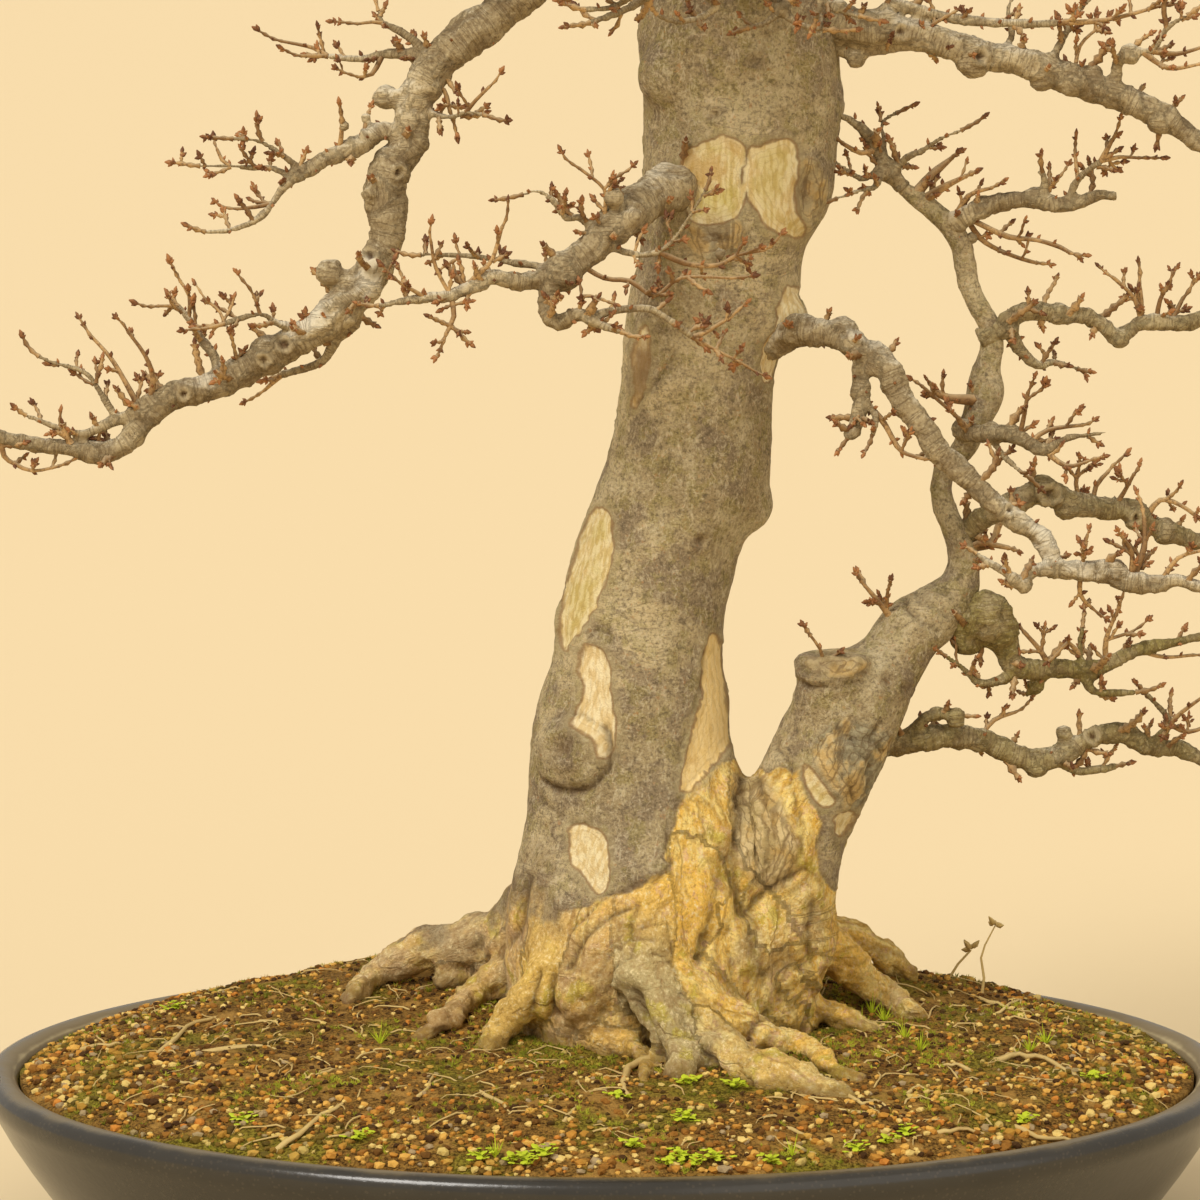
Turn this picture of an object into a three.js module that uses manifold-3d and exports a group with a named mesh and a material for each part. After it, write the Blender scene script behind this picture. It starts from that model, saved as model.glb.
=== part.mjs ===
// Trident maple bonsai: an old, scarred trunk with spreading surface roots and a second stem,
// bare winter branches, gritty soil and a low oval pot on four feet.
//
// Millimetres, +Z up, +X to the right and +Y away from the viewer of the front. The origin lies on
// the ground under the middle of the pot.

import * as THREE from 'three';
import { mergeVertices } from 'three/addons/utils/BufferGeometryUtils.js';
import Module from 'manifold-3d';

const wasm = await Module();
wasm.setup();
const { Manifold, Mesh: SolidMesh } = wasm;

// Pot
const RIM_HALF_LENGTH = 314;
const RIM_HALF_WIDTH = 245;
const RIM_HEIGHT = 92;
const FLOOR_TOP = 19;
const FOOT_HEIGHT = 10;
const FOOT_SINK = 4;
const FOOT_TOP_RADIUS = 22;
const FOOT_LOW_RADIUS = 17;
const FOOT_ACROSS = 168;
const FOOT_BACK = 122;
const FOOT_TURN = 0.42;
const DRAIN_RADIUS = 15;
const DRAIN_OFFSET = 110;
const SIDES_OF_POT = 34;

// Space that two pieces keep where they touch, and the wider one round the trunk
const GAP = 0.3;
const TRUNK_GAP = 0.4;

// Soil: a mound that is highest behind the trunk
const SOIL_EDGE_HEIGHT = RIM_HEIGHT - 3.5;
const MOUND_HEIGHT = 22;
const BACK_HUMP_HEIGHT = 16;
const MOUND_HALF_LENGTH = 296;
const MOUND_HALF_WIDTH = 227;
const MOUND_RINGS = [0.9, 0.78, 0.64, 0.48, 0.3];

// The front view that the routes below were measured in: how far away the eye stands, how high it is
// above the rim, and the height above the rim that it looks at
const EYE_ACROSS = -3.5;
const EYE_DISTANCE = 2400;
const EYE_ABOVE_RIM = 554;
const AIM_ABOVE_RIM = 235.5;
const EYE = new THREE.Vector3(EYE_ACROSS, -EYE_DISTANCE, RIM_HEIGHT + EYE_ABOVE_RIM);
const FALL = EYE_ABOVE_RIM - AIM_ABOVE_RIM;
const REACH = Math.hypot(EYE_DISTANCE, FALL);

const COLOURS = {
  pot: { color: 0x4a3d33, roughness: 0.55, metalness: 0 },
  soil: { color: 0xa98a5c, roughness: 0.95, metalness: 0 },
  bark: { color: 0x7d6b4c, roughness: 0.85, metalness: 0 },
  twig: { color: 0x8a6f50, roughness: 0.8, metalness: 0 },
  screen: { color: 0x2b2b2a, roughness: 0.6, metalness: 0 },
};

// Routes are points of that front view: millimetres across and up from its middle, then the depth
// behind the middle of the pot and the radius.

// Main trunk, from its foot in the soil up to the apex:
// height in the view, left edge, right edge, depth of the middle, half the thickness front to back
const TRUNK_OUTLINE = [
  [-262, -30, 78, 0, 50], [-228, -43, 90, 0, 61], [-190, -46, 92, -2, 62], [-155, -46, 94, -2, 58],
  [-125, -39, 84, -1, 55], [-100, -35, 79, 0, 51], [-75, -34, 67, 0, 46], [-50, -30.5, 65, 1, 44],
  [-25, -22.5, 61, 1, 41], [0, -19.5, 63.5, 2, 39], [30, -12, 72, 3, 39],
  [50, -5, 83, 3, 39], [80, 5, 85, 3, 37],
  [115, 10, 87, 3, 36], [150, 13, 99, 3, 38], [175, 20, 102, 3, 40], [200, 21.5, 116, 3, 43],
  [250, 22.5, 121, 4, 43], [285, 20, 120, 5, 44], [315, 27, 116, 6, 41], [345, 32, 106, 8, 36],
  [378, 31, 96, 9, 30], [412, 28, 84, 10, 26], [446, 26, 70, 11, 20],
  [478, 30, 58, 12, 13], [505, 36, 52, 12, 8],
];

// Second stem on the right, thick below, with its thin leader above the cut stub
const SECOND_STEM = [
  [86, -245, -4, 22], [92, -215, -8, 31], [92, -190, -10, 33], [91, -167, -11, 29], [91, -150, -12, 27],
  [93, -135, -12, 27], [98, -110, -11, 28], [108, -88, -10, 28.5],
  [117, -70, -8, 28], [129, -50, -6, 26],
  [145, -31, -3, 18.5], [156, -15, -1, 17], [168, -6, 1, 15.5], [178, 3, 3, 12.5], [181.5, 14, 4, 9],
  [181, 25, 5, 8], [176.5, 36, 6, 7], [170.5, 52, 8, 6.3], [172, 65.5, 9, 6.3], [181.5, 75, 10, 6.8],
  [189, 92, 10, 8.5], [193, 104, 10, 10.2], [192.5, 113, 10, 8.6], [195.5, 124, 10, 6.6],
  [195.5, 136, 10, 6.4], [189.5, 147, 9, 6.4], [184, 159.5, 9, 6.2],
  [181, 177, 9, 6.6], [172, 190, 8, 6.4],
  [157, 202, 8, 5.4], [148, 209, 8, 4.4],
];

// Flat-topped stub of a branch that was sawn off the second stem
const CUT_STUB = [[112, -78, -10, 21], [115, -55, -14, 20], [117, -38, -16, 19.4], [117, -28, -17, 17.2]];

// Small shoots that stand on the trunk and the second stem themselves
const SPURS = [
  [[112, -40, -26, 3], [111, -24, -32, 1.9], [104, -16, -35, 1.1]],
  [[146, -8, -6, 3], [135.5, 5.5, -12, 1.8], [128, 11.5, -14, 1]],
  [[190, 100, 6, 3], [174, 101, 0, 2.4], [166, 106, -3, 1.5]],
  [[178, 22, 6, 3], [189.5, 28.5, 2, 2], [197, 27.5, 0, 1.8], [204.5, 26, -2, 1.2]],
  [[180, 26, 8, 3], [195.5, 28.5, 20, 2.2], [200.5, 40, 25, 1.8], [212, 50, 30, 1.1]],
  [[158, 203, 8, 3.2], [166.5, 213, 13, 2.2], [176.5, 221.5, 18, 1.1]],
  [[162, 200, 8, 3], [172, 206.5, 2, 2], [183, 212, -2, 1.1]],
];

// Burls and healed knots on the trunk: across, up, depth, radius, flattening front to back
const BURLS = [
  [-12, -76, -6, 22, 0.9], [-6, -98, -4, 17, 0.9], [-12, -10, -4, 12, 1], [73, 47, 0, 14, 1],
  [60, 187, -33, 14, 0.6], [82, 189, -32, 8.5, 0.7], [100, 250, 0, 23, 1], [36, 262, -14, 18, 1],
  [26, -140, -46, 20, 0.6], [44, 108, -26, 15, 0.6],
];

// Surface roots: first the part that stands clear, with its depth, then the part that lies on the
// soil, with its lift above the soil in place of a depth
const ROOTS = [
  {
    clear: [[0, -130, 22, 24], [-32, -155, 40, 17], [-56, -170, 52, 12], [-86, -175, 58, 9],
      [-102, -181, 60, 8.5], [-120, -194, 56, 7.5]],
    lying: [[-134, -208, 1, 6], [-142, -215, -5, 4]],
  },
  {
    clear: [[-5, -150, 40, 20], [-38, -178, 64, 13], [-62, -187, 84, 8],
      [-79, -189, 90, 6.5], [-97, -197, 96, 4]],
    lying: [],
  },
  {
    clear: [[0, -150, 10, 20], [-34, -180, 26, 11], [-53, -193.5, 34, 6.5], [-66, -201, 27, 5.4]],
    lying: [[-75, -208, 3, 4.8], [-86, -217, 1, 4], [-93, -222, -4, 3]],
  },
  {
    clear: [[8, -130, -26, 25], [-13, -166, -40, 17], [-27, -190, -46, 11.5], [-40, -202, -48, 9]],
    lying: [[-49, -214.5, 6, 8.2], [-55, -223, 2, 6.8], [-60, -231, -5, 4.5]],
  },
  {
    clear: [[14, -140, -38, 25], [3, -172, -52, 18], [-8, -198, -60, 12.5]],
    lying: [[-9, -215, 7, 11], [4, -224, 5, 9.5], [22, -227, 3, 7.5], [36, -232, -5, 4.5]],
  },
  {
    clear: [[23, -145, -46, 18], [22, -180, -64, 11], [25, -197.5, -74, 9], [34, -214, -86, 8]],
    lying: [[39, -227, 4, 7], [41, -237, 1, 5.8], [43, -245, -5, 4]],
  },
  {
    clear: [[32, -145, -42, 20], [32, -180, -58, 13], [42, -195, -65, 11], [57.5, -205, -66, 10],
      [72.5, -214, -63, 9]],
    lying: [[85, -220.5, 6, 8.4], [97, -222.5, 4, 7], [106, -226, 3, 6], [116, -233.5, 2, 5],
      [124, -238.5, 0, 4], [131, -243, -5, 3]],
  },
  {
    clear: [[44, -198, -62, 11], [50, -216, -72, 9.5]],
    lying: [[66, -231, 5, 9], [84, -238, 3, 8], [102, -245, 2, 6.6],
      [118.5, -252, 0, 5], [127, -256, -5, 3.5]],
  },
  {
    clear: [[80, -155, -15, 22], [93, -185, -15, 14], [106, -199, -12, 9.5]],
    lying: [[124.5, -209, 4, 7.5], [136, -213, 2, 5.8], [147, -217, -5, 4]],
  },
  {
    clear: [[90, -148, 2, 22], [107, -168, 11, 14], [118.5, -177, 18, 10.5],
      [129, -186, 24, 9], [143, -197, 30, 7.5]],
    lying: [[155, -206, 2, 6.5], [163, -212, -5, 4.2]],
  },
  {
    clear: [[80, -145, 24, 20], [106, -163, 46, 11], [132, -171, 62, 7.6], [143, -178, 70, 7],
      [150, -185, 77, 6.5], [157.5, -193, 84, 5.6], [165, -202, 90, 4]],
    lying: [],
  },
];

// Roots on the far side: direction in degrees from +X towards +Y, reach from the trunk, radius
const FAR_ROOTS = [[52, 165, 13], [78, 142, 15], [103, 158, 14], [128, 140, 12], [150, 128, 10]];

// Branches. main is the branch itself; each limb is [thick end, thin end, change of depth, places
// across and up], and starts on the nearest place of its own branch; knobs are swellings, with across,
// up and radius; spread is the number of side shoots of a branch that the front view hides or cuts off.
const BRANCHES = [
  {
    name: 'left_falling_branch',
    main: [
      [52, 332, 8, 15], [22, 346, 0, 14], [-12, 334, -10, 12.5], [-36, 308, -16, 11.5],
      [-55, 290, -20, 10.5], [-80, 270, -24, 10.5], [-92.5, 247.5, -26, 9], [-95, 228.5, -27, 8.5],
      [-104, 217.5, -28, 10], [-108, 204, -29, 10.5], [-106, 185, -30, 9], [-111.5, 169, -32, 9.5],
      [-121, 155, -34, 10], [-135, 141, -36, 9.5], [-147, 133, -37, 9], [-162, 124, -38, 8.5],
      [-180, 114, -40, 8], [-197, 106, -42, 7.5], [-215, 101, -44, 7], [-226, 92, -46, 6.3],
      [-237, 79, -48, 6], [-249, 74, -49, 5.2], [-265, 76, -50, 4.2], [-282, 77.5, -51, 3.8],
      [-300, 81.5, -52, 3.5], [-322, 89, -53, 3.2], [-346, 85, -54, 2.8], [-372, 91, -55, 2.3],
      [-400, 88, -56, 1.5],
    ],
    limbs: [
      [5, 4, -12, [[-95, 230], [-108.5, 235], [-119, 227.5],
        [-130.5, 223.5], [-143, 217], [-153.5, 212]]],
      [2.8, 1.1, -8, [[-153.5, 212], [-159.5, 204.5], [-170, 191.5], [-185, 185], [-198, 184]]],
      [3.2, 1.6, 14, [[-80, 268], [-100, 273], [-108.5, 273], [-119, 270.5], [-136.5, 272]]],
      [2.6, 1.2, 10, [[-75, 276], [-100, 284.5], [-108.5, 288.5], [-111, 295]]],
      [2.2, 1.2, -14, [[-92, 244], [-83.5, 243], [-73, 241.5], [-67, 244], [-58, 242.5]]],
      [2.6, 1.5, -16, [[-130, 139.5], [-147, 137], [-161, 138], [-170, 143], [-188, 138]]],
      [3.6, 2, 16, [[-117, 150], [-122.5, 138], [-131.5, 130.5], [-139.5, 119], [-159.5, 112.5]]],
      [3.4, 1.6, 10, [[-189, 108], [-191.5, 116.5], [-194, 124],
        [-199.5, 130.5], [-205.5, 140.5], [-211, 147]]],
      [4.2, 1.2, -10, [[-212, 102], [-225, 100], [-236, 92.5], [-247, 88],
        [-258, 83], [-270.5, 86], [-287.5, 92.5]]],
      [2.3, 0.7, 2, [[-243, 91], [-250.5, 105], [-258, 114], [-274.5, 119], [-281, 122]]],
    ],
    knobs: [[-166, 122, 9.3]],
    spread: 0,
  },
  {
    name: 'front_left_branch',
    main: [
      [58, 205, 2, 11], [35, 205.5, -34, 11], [15, 194, -58, 9.8], [2, 182.5, -68, 9],
      [-6, 174, -73, 8.2], [-18.5, 165, -77, 8.6], [-28, 160, -80, 6.5],
    ],
    limbs: [
      [5.2, 3.4, -14, [[-28, 160], [-44, 159.5], [-54, 162], [-63, 157], [-74.5, 152]]],
      [3.2, 1.4, -6, [[-74.5, 152], [-87, 151], [-100, 149], [-111, 147]]],
      [2.6, 1.1, 10, [[-20, 166], [-31, 167], [-42.5, 168.5],
        [-53, 170.5], [-74.5, 172.5], [-90, 172.5]]],
      [4.8, 3.6, -12, [[-24, 160], [-26.5, 152], [-27.5, 144.5], [-21, 138], [-10.5, 143], [-3, 139.5]]],
      [3, 1.5, -6, [[-3, 139.5], [4, 136], [11, 134]]],
      [2.4, 1.9, 4, [[-5.5, 141], [6, 144.5], [15, 145.5], [25, 145.5], [37.5, 138], [46.5, 131.5]]],
      [2.8, 1, -10, [[-2, 185], [-10.5, 191.5], [-17, 190.5], [-22, 198], [-31, 204.5], [-39, 202.5]]],
    ],
    knobs: [[-19, 164, 9.4], [34, 206, 11.6]],
    spread: 0,
  },
  {
    name: 'front_top_branch',
    main: [
      [70, 324, -20, 9.5], [66, 322, -70, 9], [57, 314, -108, 7.6], [40, 309, -142, 6.2],
      [20, 305, -172, 4.8], [2, 306, -192, 3.4], [-14, 312, -210, 2],
    ],
    limbs: [
      [3.4, 1.2, -12, [[30, 307], [18, 298], [6, 292.5], [-5.5, 288.5]]],
      [2.2, 0.9, -6, [[22, 304], [8, 297], [-8, 295]]],
      [3.2, 1.1, -16, [[56, 313], [60, 301], [52, 292], [38, 289], [28, 293]]],
      [3.8, 1.2, -10, [[66, 320], [78, 306], [90, 296], [99, 288], [112, 285]]],
      [2.4, 1, -8, [[90, 296], [84, 289], [74, 286]]],
      [3.2, 1.2, -18, [[66, 321], [86, 316], [104, 307], [118, 296], [130, 292]]],
      [2.6, 1, 14, [[2, 306], [-6, 320], [-20, 326], [-32, 338]]],
      [2.6, 1, -14, [[40, 309], [46, 322], [40, 336], [46, 348]]],
      [2.4, 1, 8, [[20, 305], [14, 318], [18, 330]]],
    ],
    knobs: [],
    spread: 2,
  },
  {
    name: 'right_top_branch',
    main: [
      [88, 298, 8, 12], [108, 292, -4, 10.5], [125.5, 287, -12, 9.5], [144.5, 285, -16, 8.8],
      [164, 281, -18, 8], [189.5, 273, -20, 7.6], [208.5, 269.5, -21, 7.8], [227.5, 263, -22, 8.2],
      [246.5, 256.5, -23, 7.8], [266, 249, -24, 7], [282.5, 241.5, -25, 6.2],
      [300, 228.5, -26, 5.6], [322, 217, -27, 5], [346, 214, -28, 4.2], [370, 219, -29, 3.2],
      [394, 216, -30, 2.4], [412, 222, -31, 1.4],
    ],
    limbs: [
      [3.4, 2, -12, [[132, 290], [144.5, 297.5], [164, 293.5], [181.5, 290],
        [199.5, 288.5], [215, 288], [229, 288.5]]],
      [2.7, 1.3, 10, [[226, 264], [227.5, 273], [232.5, 282], [237.5, 292.5], [246, 302]]],
      [3.6, 1.2, -14, [[256, 254], [258, 262], [259, 269.5], [266, 274.5],
        [276, 274.5], [283.5, 286], [294, 292.5]]],
      [4, 1.5, -16, [[110, 287], [119, 275.5], [128, 273], [139.5, 274.5], [153.5, 276], [164, 274.5]]],
      [2.4, 1, 14, [[200, 271], [206, 282], [204, 296], [212, 308]]],
      [2.6, 1.1, 14, [[300, 229], [312, 240], [328, 246], [340, 258]]],
      [2.2, 1, -16, [[322, 217], [334, 206], [352, 200], [366, 203]]],
    ],
    knobs: [[280, 240, 7], [186, 269, 8]],
    spread: 0,
  },
  {
    name: 'right_arching_branch',
    main: [
      [80, 128, -4, 11], [98, 134, -22, 8.5], [116.5, 133, -32, 7.2], [132, 125.5, -38, 7.2],
      [143.5, 116.5, -42, 6.7], [151, 100, -45, 6.4], [161, 87.5, -47, 6.3], [169, 74.5, -48, 6.3],
      [181.5, 63, -50, 6], [194.5, 50.5, -52, 5.6], [209.5, 39, -54, 5.2], [220, 32.5, -55, 5],
      [225, 23.5, -56, 5], [231, 15, -58, 5.2], [250.5, 14.5, -60, 5.6], [259.5, 11, -61, 5.6],
      [272, 8, -62, 4.6], [289, 9.5, -64, 3.6], [303, 5.5, -65, 3], [320, 2, -66, 2.6],
      [340, 8, -67, 2], [358, 5, -68, 1.2],
    ],
    limbs: [
      [4, 3, -8, [[229, 15], [215, 14.5], [211, 5.5], [206, 12]]],
      [2.6, 1.3, 8, [[206, 12], [194.5, 18.5], [188, 23.5]]],
      [4.6, 3, -8, [[133, 124], [130.5, 112], [131, 100], [128, 88], [124, 81]]],
      [2.4, 1.4, -6, [[131, 100], [138, 92], [136, 82]]],
    ],
    knobs: [[121, 134, 7.6], [140, 119, 7.3]],
    spread: 0,
  },
  {
    name: 'right_stem_spray_low',
    main: [
      [128, -74, 4, 8], [151, -71, 4, 6.8], [171.5, -68.5, 7, 6.2], [189.5, -69.5, 10, 5.9],
      [204.5, -76, 13, 5.8], [220, -80, 15, 6], [234, -76, 17, 5.6], [246.5, -68.5, 19, 5.2],
      [263.5, -66, 21, 4.8], [273.5, -73.5, 22, 4.6], [289, -74.5, 24, 4.3], [303, -80, 25, 3.8],
      [320, -83, 27, 3.2], [340, -78, 29, 2.6], [358, -80, 30, 1.5],
    ],
    limbs: [
      [3, 3.2, -8, [[152, -70], [161, -60.5], [167.5, -56.5], [176.5, -57.5]]],
      [2.6, 2, 8, [[228, -80], [237, -85], [248, -85], [258, -83]]],
      [2.6, 1.2, -6, [[277, -73], [285, -62], [279, -53], [272, -45.5]]],
    ],
    knobs: [],
    spread: 0,
  },
  {
    name: 'right_stem_spray_burl',
    main: [
      [176, -8, 4, 11], [192, -14, -2, 8], [202, -22.5, 0, 5.8], [208.5, -34, 2, 5],
      [225, -34, 4, 4.8], [240.5, -35, 5, 4.6], [253, -32.5, 6, 4.2], [268.5, -25, 7, 3.3],
      [289, -21, 8, 2.7], [303, -17.5, 9, 2.2], [320, -14, 10, 1.7], [336, -9, 11, 1.1],
    ],
    limbs: [
      [3.2, 1.2, -10, [[210, -35], [202, -39.5], [189.5, -41.5], [181.5, -34], [172.5, -28]]],
      [3, 1.4, -8, [[240.5, -36], [246.5, -45.5], [259.5, -46.5], [268.5, -46]]],
      [2.2, 1.6, 8, [[222, -37], [217, -45], [213, -47]]],
    ],
    knobs: [[194, -9, 12.6], [199, -15, 10], [184, -18, 9]],
    spread: 0,
  },
  {
    name: 'right_stem_spray_middle',
    main: [
      [180, 30, 10, 7], [192, 41.5, 4, 6.2], [208.5, 49, 2, 6.2], [221, 55, 4, 6.4],
      [234, 49.5, 7, 6], [246.5, 46.5, 10, 5.6], [266, 44, 14, 6], [278.5, 36, 18, 5.5],
      [303, 28, 22, 4.8], [326, 25, 26, 4], [350, 30, 30, 3], [376, 25, 33, 1.6],
    ],
    limbs: [
      [2.2, 1.2, 12, [[303, 28], [314, 38], [330, 46], [338, 58]]],
    ],
    knobs: [[221, 55, 7.2], [268, 43, 7]],
    spread: 0,
  },
  {
    name: 'right_stem_spray_front',
    main: [
      [180, 86, 10, 6], [186, 84, -4, 5], [194, 83, -14, 4.4], [204, 83, -20, 4.2],
      [215, 78.5, -24, 3.6], [222.5, 74.5, -26, 2.6], [234, 81, -28, 1.9], [253, 83.5, -31, 1],
    ],
    limbs: [
      [2.3, 1.2, -8, [[194, 82], [202, 72], [212.5, 62.5]]],
    ],
    knobs: [],
    spread: 0,
  },
  {
    name: 'right_stem_spray_upper',
    main: [
      [190, 130, 10, 6], [199.5, 135.5, 8, 5.2], [208.5, 143.5, 9, 4.8], [221, 144.5, 11, 4.7],
      [229, 142, 12, 4.7], [244, 142, 14, 4.7], [253, 135.5, 16, 4.3], [260.5, 131.5, 17, 4.2],
      [271, 139, 19, 4.2], [285, 138, 21, 4.1], [303, 141, 24, 4], [324, 147, 27, 3.4],
      [346, 144, 30, 2.8], [370, 151, 33, 1.5],
    ],
    limbs: [
      [3.8, 1.3, 14, [[202, 138], [209, 126], [218.5, 117.5], [227.5, 119], [239, 115.5]]],
    ],
    knobs: [],
    spread: 0,
  },
  {
    name: 'right_stem_spray_top',
    main: [
      [176, 188, 8, 6.5], [189.5, 195.5, 4, 5], [202, 199, 2, 4.8], [215, 200.5, 0, 4.6],
      [227.5, 198, -1, 4.3], [240.5, 199, -2, 3.7], [250.5, 203, -3, 3.1], [258, 202, -4, 2.2],
    ],
    limbs: [
      [2.3, 1.9, -3, [[222.5, 199], [222.5, 209], [221, 214.5]]],
      [2.4, 1.8, -5, [[233, 198], [239, 210.5], [250.5, 219.5]]],
    ],
    knobs: [],
    spread: 0,
  },
  {
    name: 'right_stem_tip',
    main: [
      [151, 206, 8, 4.4], [142, 219, 5, 3.8], [134.5, 232, 3, 3], [127, 239, 1, 2.3],
      [118, 243, -2, 1.3],
    ],
    limbs: [
      [2.2, 1, -12, [[142, 216], [133, 210.5], [125.5, 213.5], [117, 219.5]]],
      [2.2, 1, -20, [[143, 216], [138, 207], [129.5, 204.5], [118, 200.5]]],
      [2.2, 1, 10, [[141, 221], [142, 230], [141, 239], [148.5, 243.5]]],
      [2.6, 1, -12, [[145, 215], [153, 221], [161, 224.5], [169, 230], [181, 235]]],
    ],
    knobs: [],
    spread: 0,
  },
  {
    name: 'back_left_branch',
    main: [
      [62, 326, 30, 15], [40, 333, 90, 12], [5, 338, 130, 9.5], [-35, 334, 165, 7.5],
      [-75, 340, 195, 5.5], [-108, 337, 218, 3.6], [-132, 343, 236, 2],
    ],
    limbs: [],
    knobs: [[5, 338, 10.4], [-36, 334, 8.4]],
    spread: 5,
  },
  {
    name: 'back_right_branch',
    main: [
      [82, 330, 30, 14], [108, 338, 85, 11.5], [148, 345, 125, 9], [190, 341, 155, 7],
      [226, 348, 186, 5], [256, 344, 210, 3.4], [276, 350, 228, 2],
    ],
    limbs: [],
    knobs: [[149, 345, 10], [191, 341, 8]],
    spread: 5,
  },
  {
    name: 'left_middle_branch',
    main: [
      [52, 372, 8, 14], [15, 386, -5, 12], [-25, 388, -20, 10], [-66, 378, -30, 8.4],
      [-106, 383, -40, 7], [-148, 373, -46, 5.6], [-190, 377, -50, 4.2], [-226, 370, -53, 3],
      [-254, 375, -55, 1.8],
    ],
    limbs: [],
    knobs: [[-26, 388, 11.2], [-107, 383, 8]],
    spread: 6,
  },
  {
    name: 'right_middle_branch',
    main: [
      [80, 364, 10, 14], [118, 378, 0, 11.5], [156, 382, -10, 9.6], [196, 370, -20, 8.2],
      [238, 374, -28, 6.8], [278, 362, -32, 5.4], [314, 367, -35, 4], [346, 360, -38, 2.8],
      [368, 365, -40, 1.7],
    ],
    limbs: [],
    knobs: [[157, 382, 10.6], [239, 374, 7.8]],
    spread: 6,
  },
  {
    name: 'front_right_branch',
    main: [
      [80, 350, -12, 11], [98, 353, -78, 9.4], [124, 345, -122, 7.6], [150, 349, -162, 5.8],
      [172, 345, -198, 4], [188, 350, -226, 2.2],
    ],
    limbs: [],
    knobs: [[125, 345, 8.6]],
    spread: 5,
  },
  {
    name: 'front_upper_branch',
    main: [
      [58, 392, -6, 10.5], [30, 399, -64, 8.8], [0, 392, -104, 7], [-30, 398, -140, 5.4],
      [-60, 391, -170, 3.6], [-82, 396, -192, 2],
    ],
    limbs: [],
    knobs: [[0, 392, 8]],
    spread: 5,
  },
  {
    name: 'back_upper_branch',
    main: [
      [58, 400, 25, 10.5], [62, 410, 80, 8.6], [76, 419, 122, 6.8], [70, 415, 164, 5],
      [86, 421, 198, 3.2], [80, 427, 222, 1.8],
    ],
    limbs: [],
    knobs: [[76, 419, 7.8]],
    spread: 5,
  },
  {
    name: 'left_upper_branch',
    main: [
      [50, 425, 8, 10], [12, 438, 15, 8.4], [-25, 441, 25, 6.8], [-62, 431, 30, 5.4],
      [-98, 435, 35, 4], [-130, 427, 38, 2.6], [-152, 431, 40, 1.6],
    ],
    limbs: [],
    knobs: [[-26, 441, 7.8]],
    spread: 5,
  },
  {
    name: 'right_upper_branch',
    main: [
      [60, 418, 8, 10.5], [98, 432, 10, 8.4], [132, 437, 18, 6.8], [168, 426, 24, 5.4],
      [204, 431, 28, 4], [236, 423, 31, 2.6], [258, 427, 33, 1.6],
    ],
    limbs: [],
    knobs: [[133, 437, 7.8]],
    spread: 5,
  },
  {
    name: 'front_crown_branch',
    main: [
      [52, 440, -2, 8], [62, 449, -48, 6.6], [50, 446, -86, 5.2], [60, 451, -120, 3.6],
      [52, 447, -148, 2],
    ],
    limbs: [],
    knobs: [],
    spread: 4,
  },
  {
    name: 'back_crown_branch',
    main: [
      [46, 455, 16, 7.5], [25, 466, 60, 5.8], [5, 468, 94, 4.4], [-15, 465, 122, 3],
      [-26, 471, 140, 1.8],
    ],
    limbs: [],
    knobs: [],
    spread: 4,
  },
  {
    name: 'left_crown_branch',
    main: [
      [46, 474, 10, 6.5], [15, 487, 4, 5.2], [-12, 491, -4, 4], [-40, 484, -8, 2.8],
      [-62, 489, -10, 1.6],
    ],
    limbs: [],
    knobs: [],
    spread: 4,
  },
  {
    name: 'right_crown_branch',
    main: [
      [46, 468, 10, 6.5], [76, 482, 16, 5.2], [104, 487, 20, 4], [132, 480, 24, 2.8],
      [154, 485, 26, 1.6],
    ],
    limbs: [],
    knobs: [],
    spread: 4,
  },
  {
    name: 'apex_spray',
    main: [
      [44, 502, 12, 8], [47, 526, 12, 5.5], [43, 542, 10, 4], [49, 556, 8, 2.6], [45, 570, 8, 1.4],
    ],
    limbs: [
      [3.4, 1.2, 10, [[46, 522], [30, 532], [16, 535], [4, 543]]],
      [3.2, 1.2, -14, [[46, 518], [62, 528], [78, 530], [90, 538]]],
      [3, 1.1, -44, [[45, 512], [40, 518], [44, 526]]],
      [2.8, 1.1, 42, [[46, 524], [54, 534], [50, 544]]],
      [2.4, 1, 16, [[44, 540], [58, 548], [68, 556]]],
      [2.4, 1, -16, [[45, 544], [34, 553], [28, 563]]],
    ],
    knobs: [],
    spread: 0,
  },
];

// Numbers between 0 and 1 that are the same in every run
const RANDOM_FACTOR = 16807;
const RANDOM_RANGE = 2147483647;

function randomNumbers(seed) {
  let state = seed;
  return () => {
    state = (state * RANDOM_FACTOR) % RANDOM_RANGE;
    return state / RANDOM_RANGE;
  };
}

// Point of the front view at a depth, and how much larger things are drawn there than at the middle
function seen(across, up, depth) {
  const ahead = EYE_DISTANCE + (up * FALL) / REACH;
  const ray = new THREE.Vector3(across, ahead, (up * EYE_DISTANCE) / REACH - FALL);
  const scale = (depth + EYE_DISTANCE) / ray.y;
  const point = EYE.clone().addScaledVector(ray, scale);
  return { point, scale };
}

// Height of the soil above the ground, before its small unevenness
function soilHeight(x, y) {
  const reach = Math.min(1, Math.hypot(x / MOUND_HALF_LENGTH, y / MOUND_HALF_WIDTH));
  const hump = BACK_HUMP_HEIGHT * Math.exp(-((x / 260) ** 2) - ((y - 110) / 90) ** 2);
  return SOIL_EDGE_HEIGHT + (MOUND_HEIGHT + hump) * (1 - reach ** 5);
}

// Point of the front view that lies on the soil, raised by a lift
function resting(across, up, lift) {
  let depth = 0;
  for (let round = 0; round < 12; round += 1) {
    const { point } = seen(across, up, depth);
    const fall = (EYE.z - point.z) / (depth + EYE_DISTANCE);
    depth = (EYE.z - soilHeight(point.x, point.y) - lift) / fall - EYE_DISTANCE;
  }
  return seen(across, up, depth);
}

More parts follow.
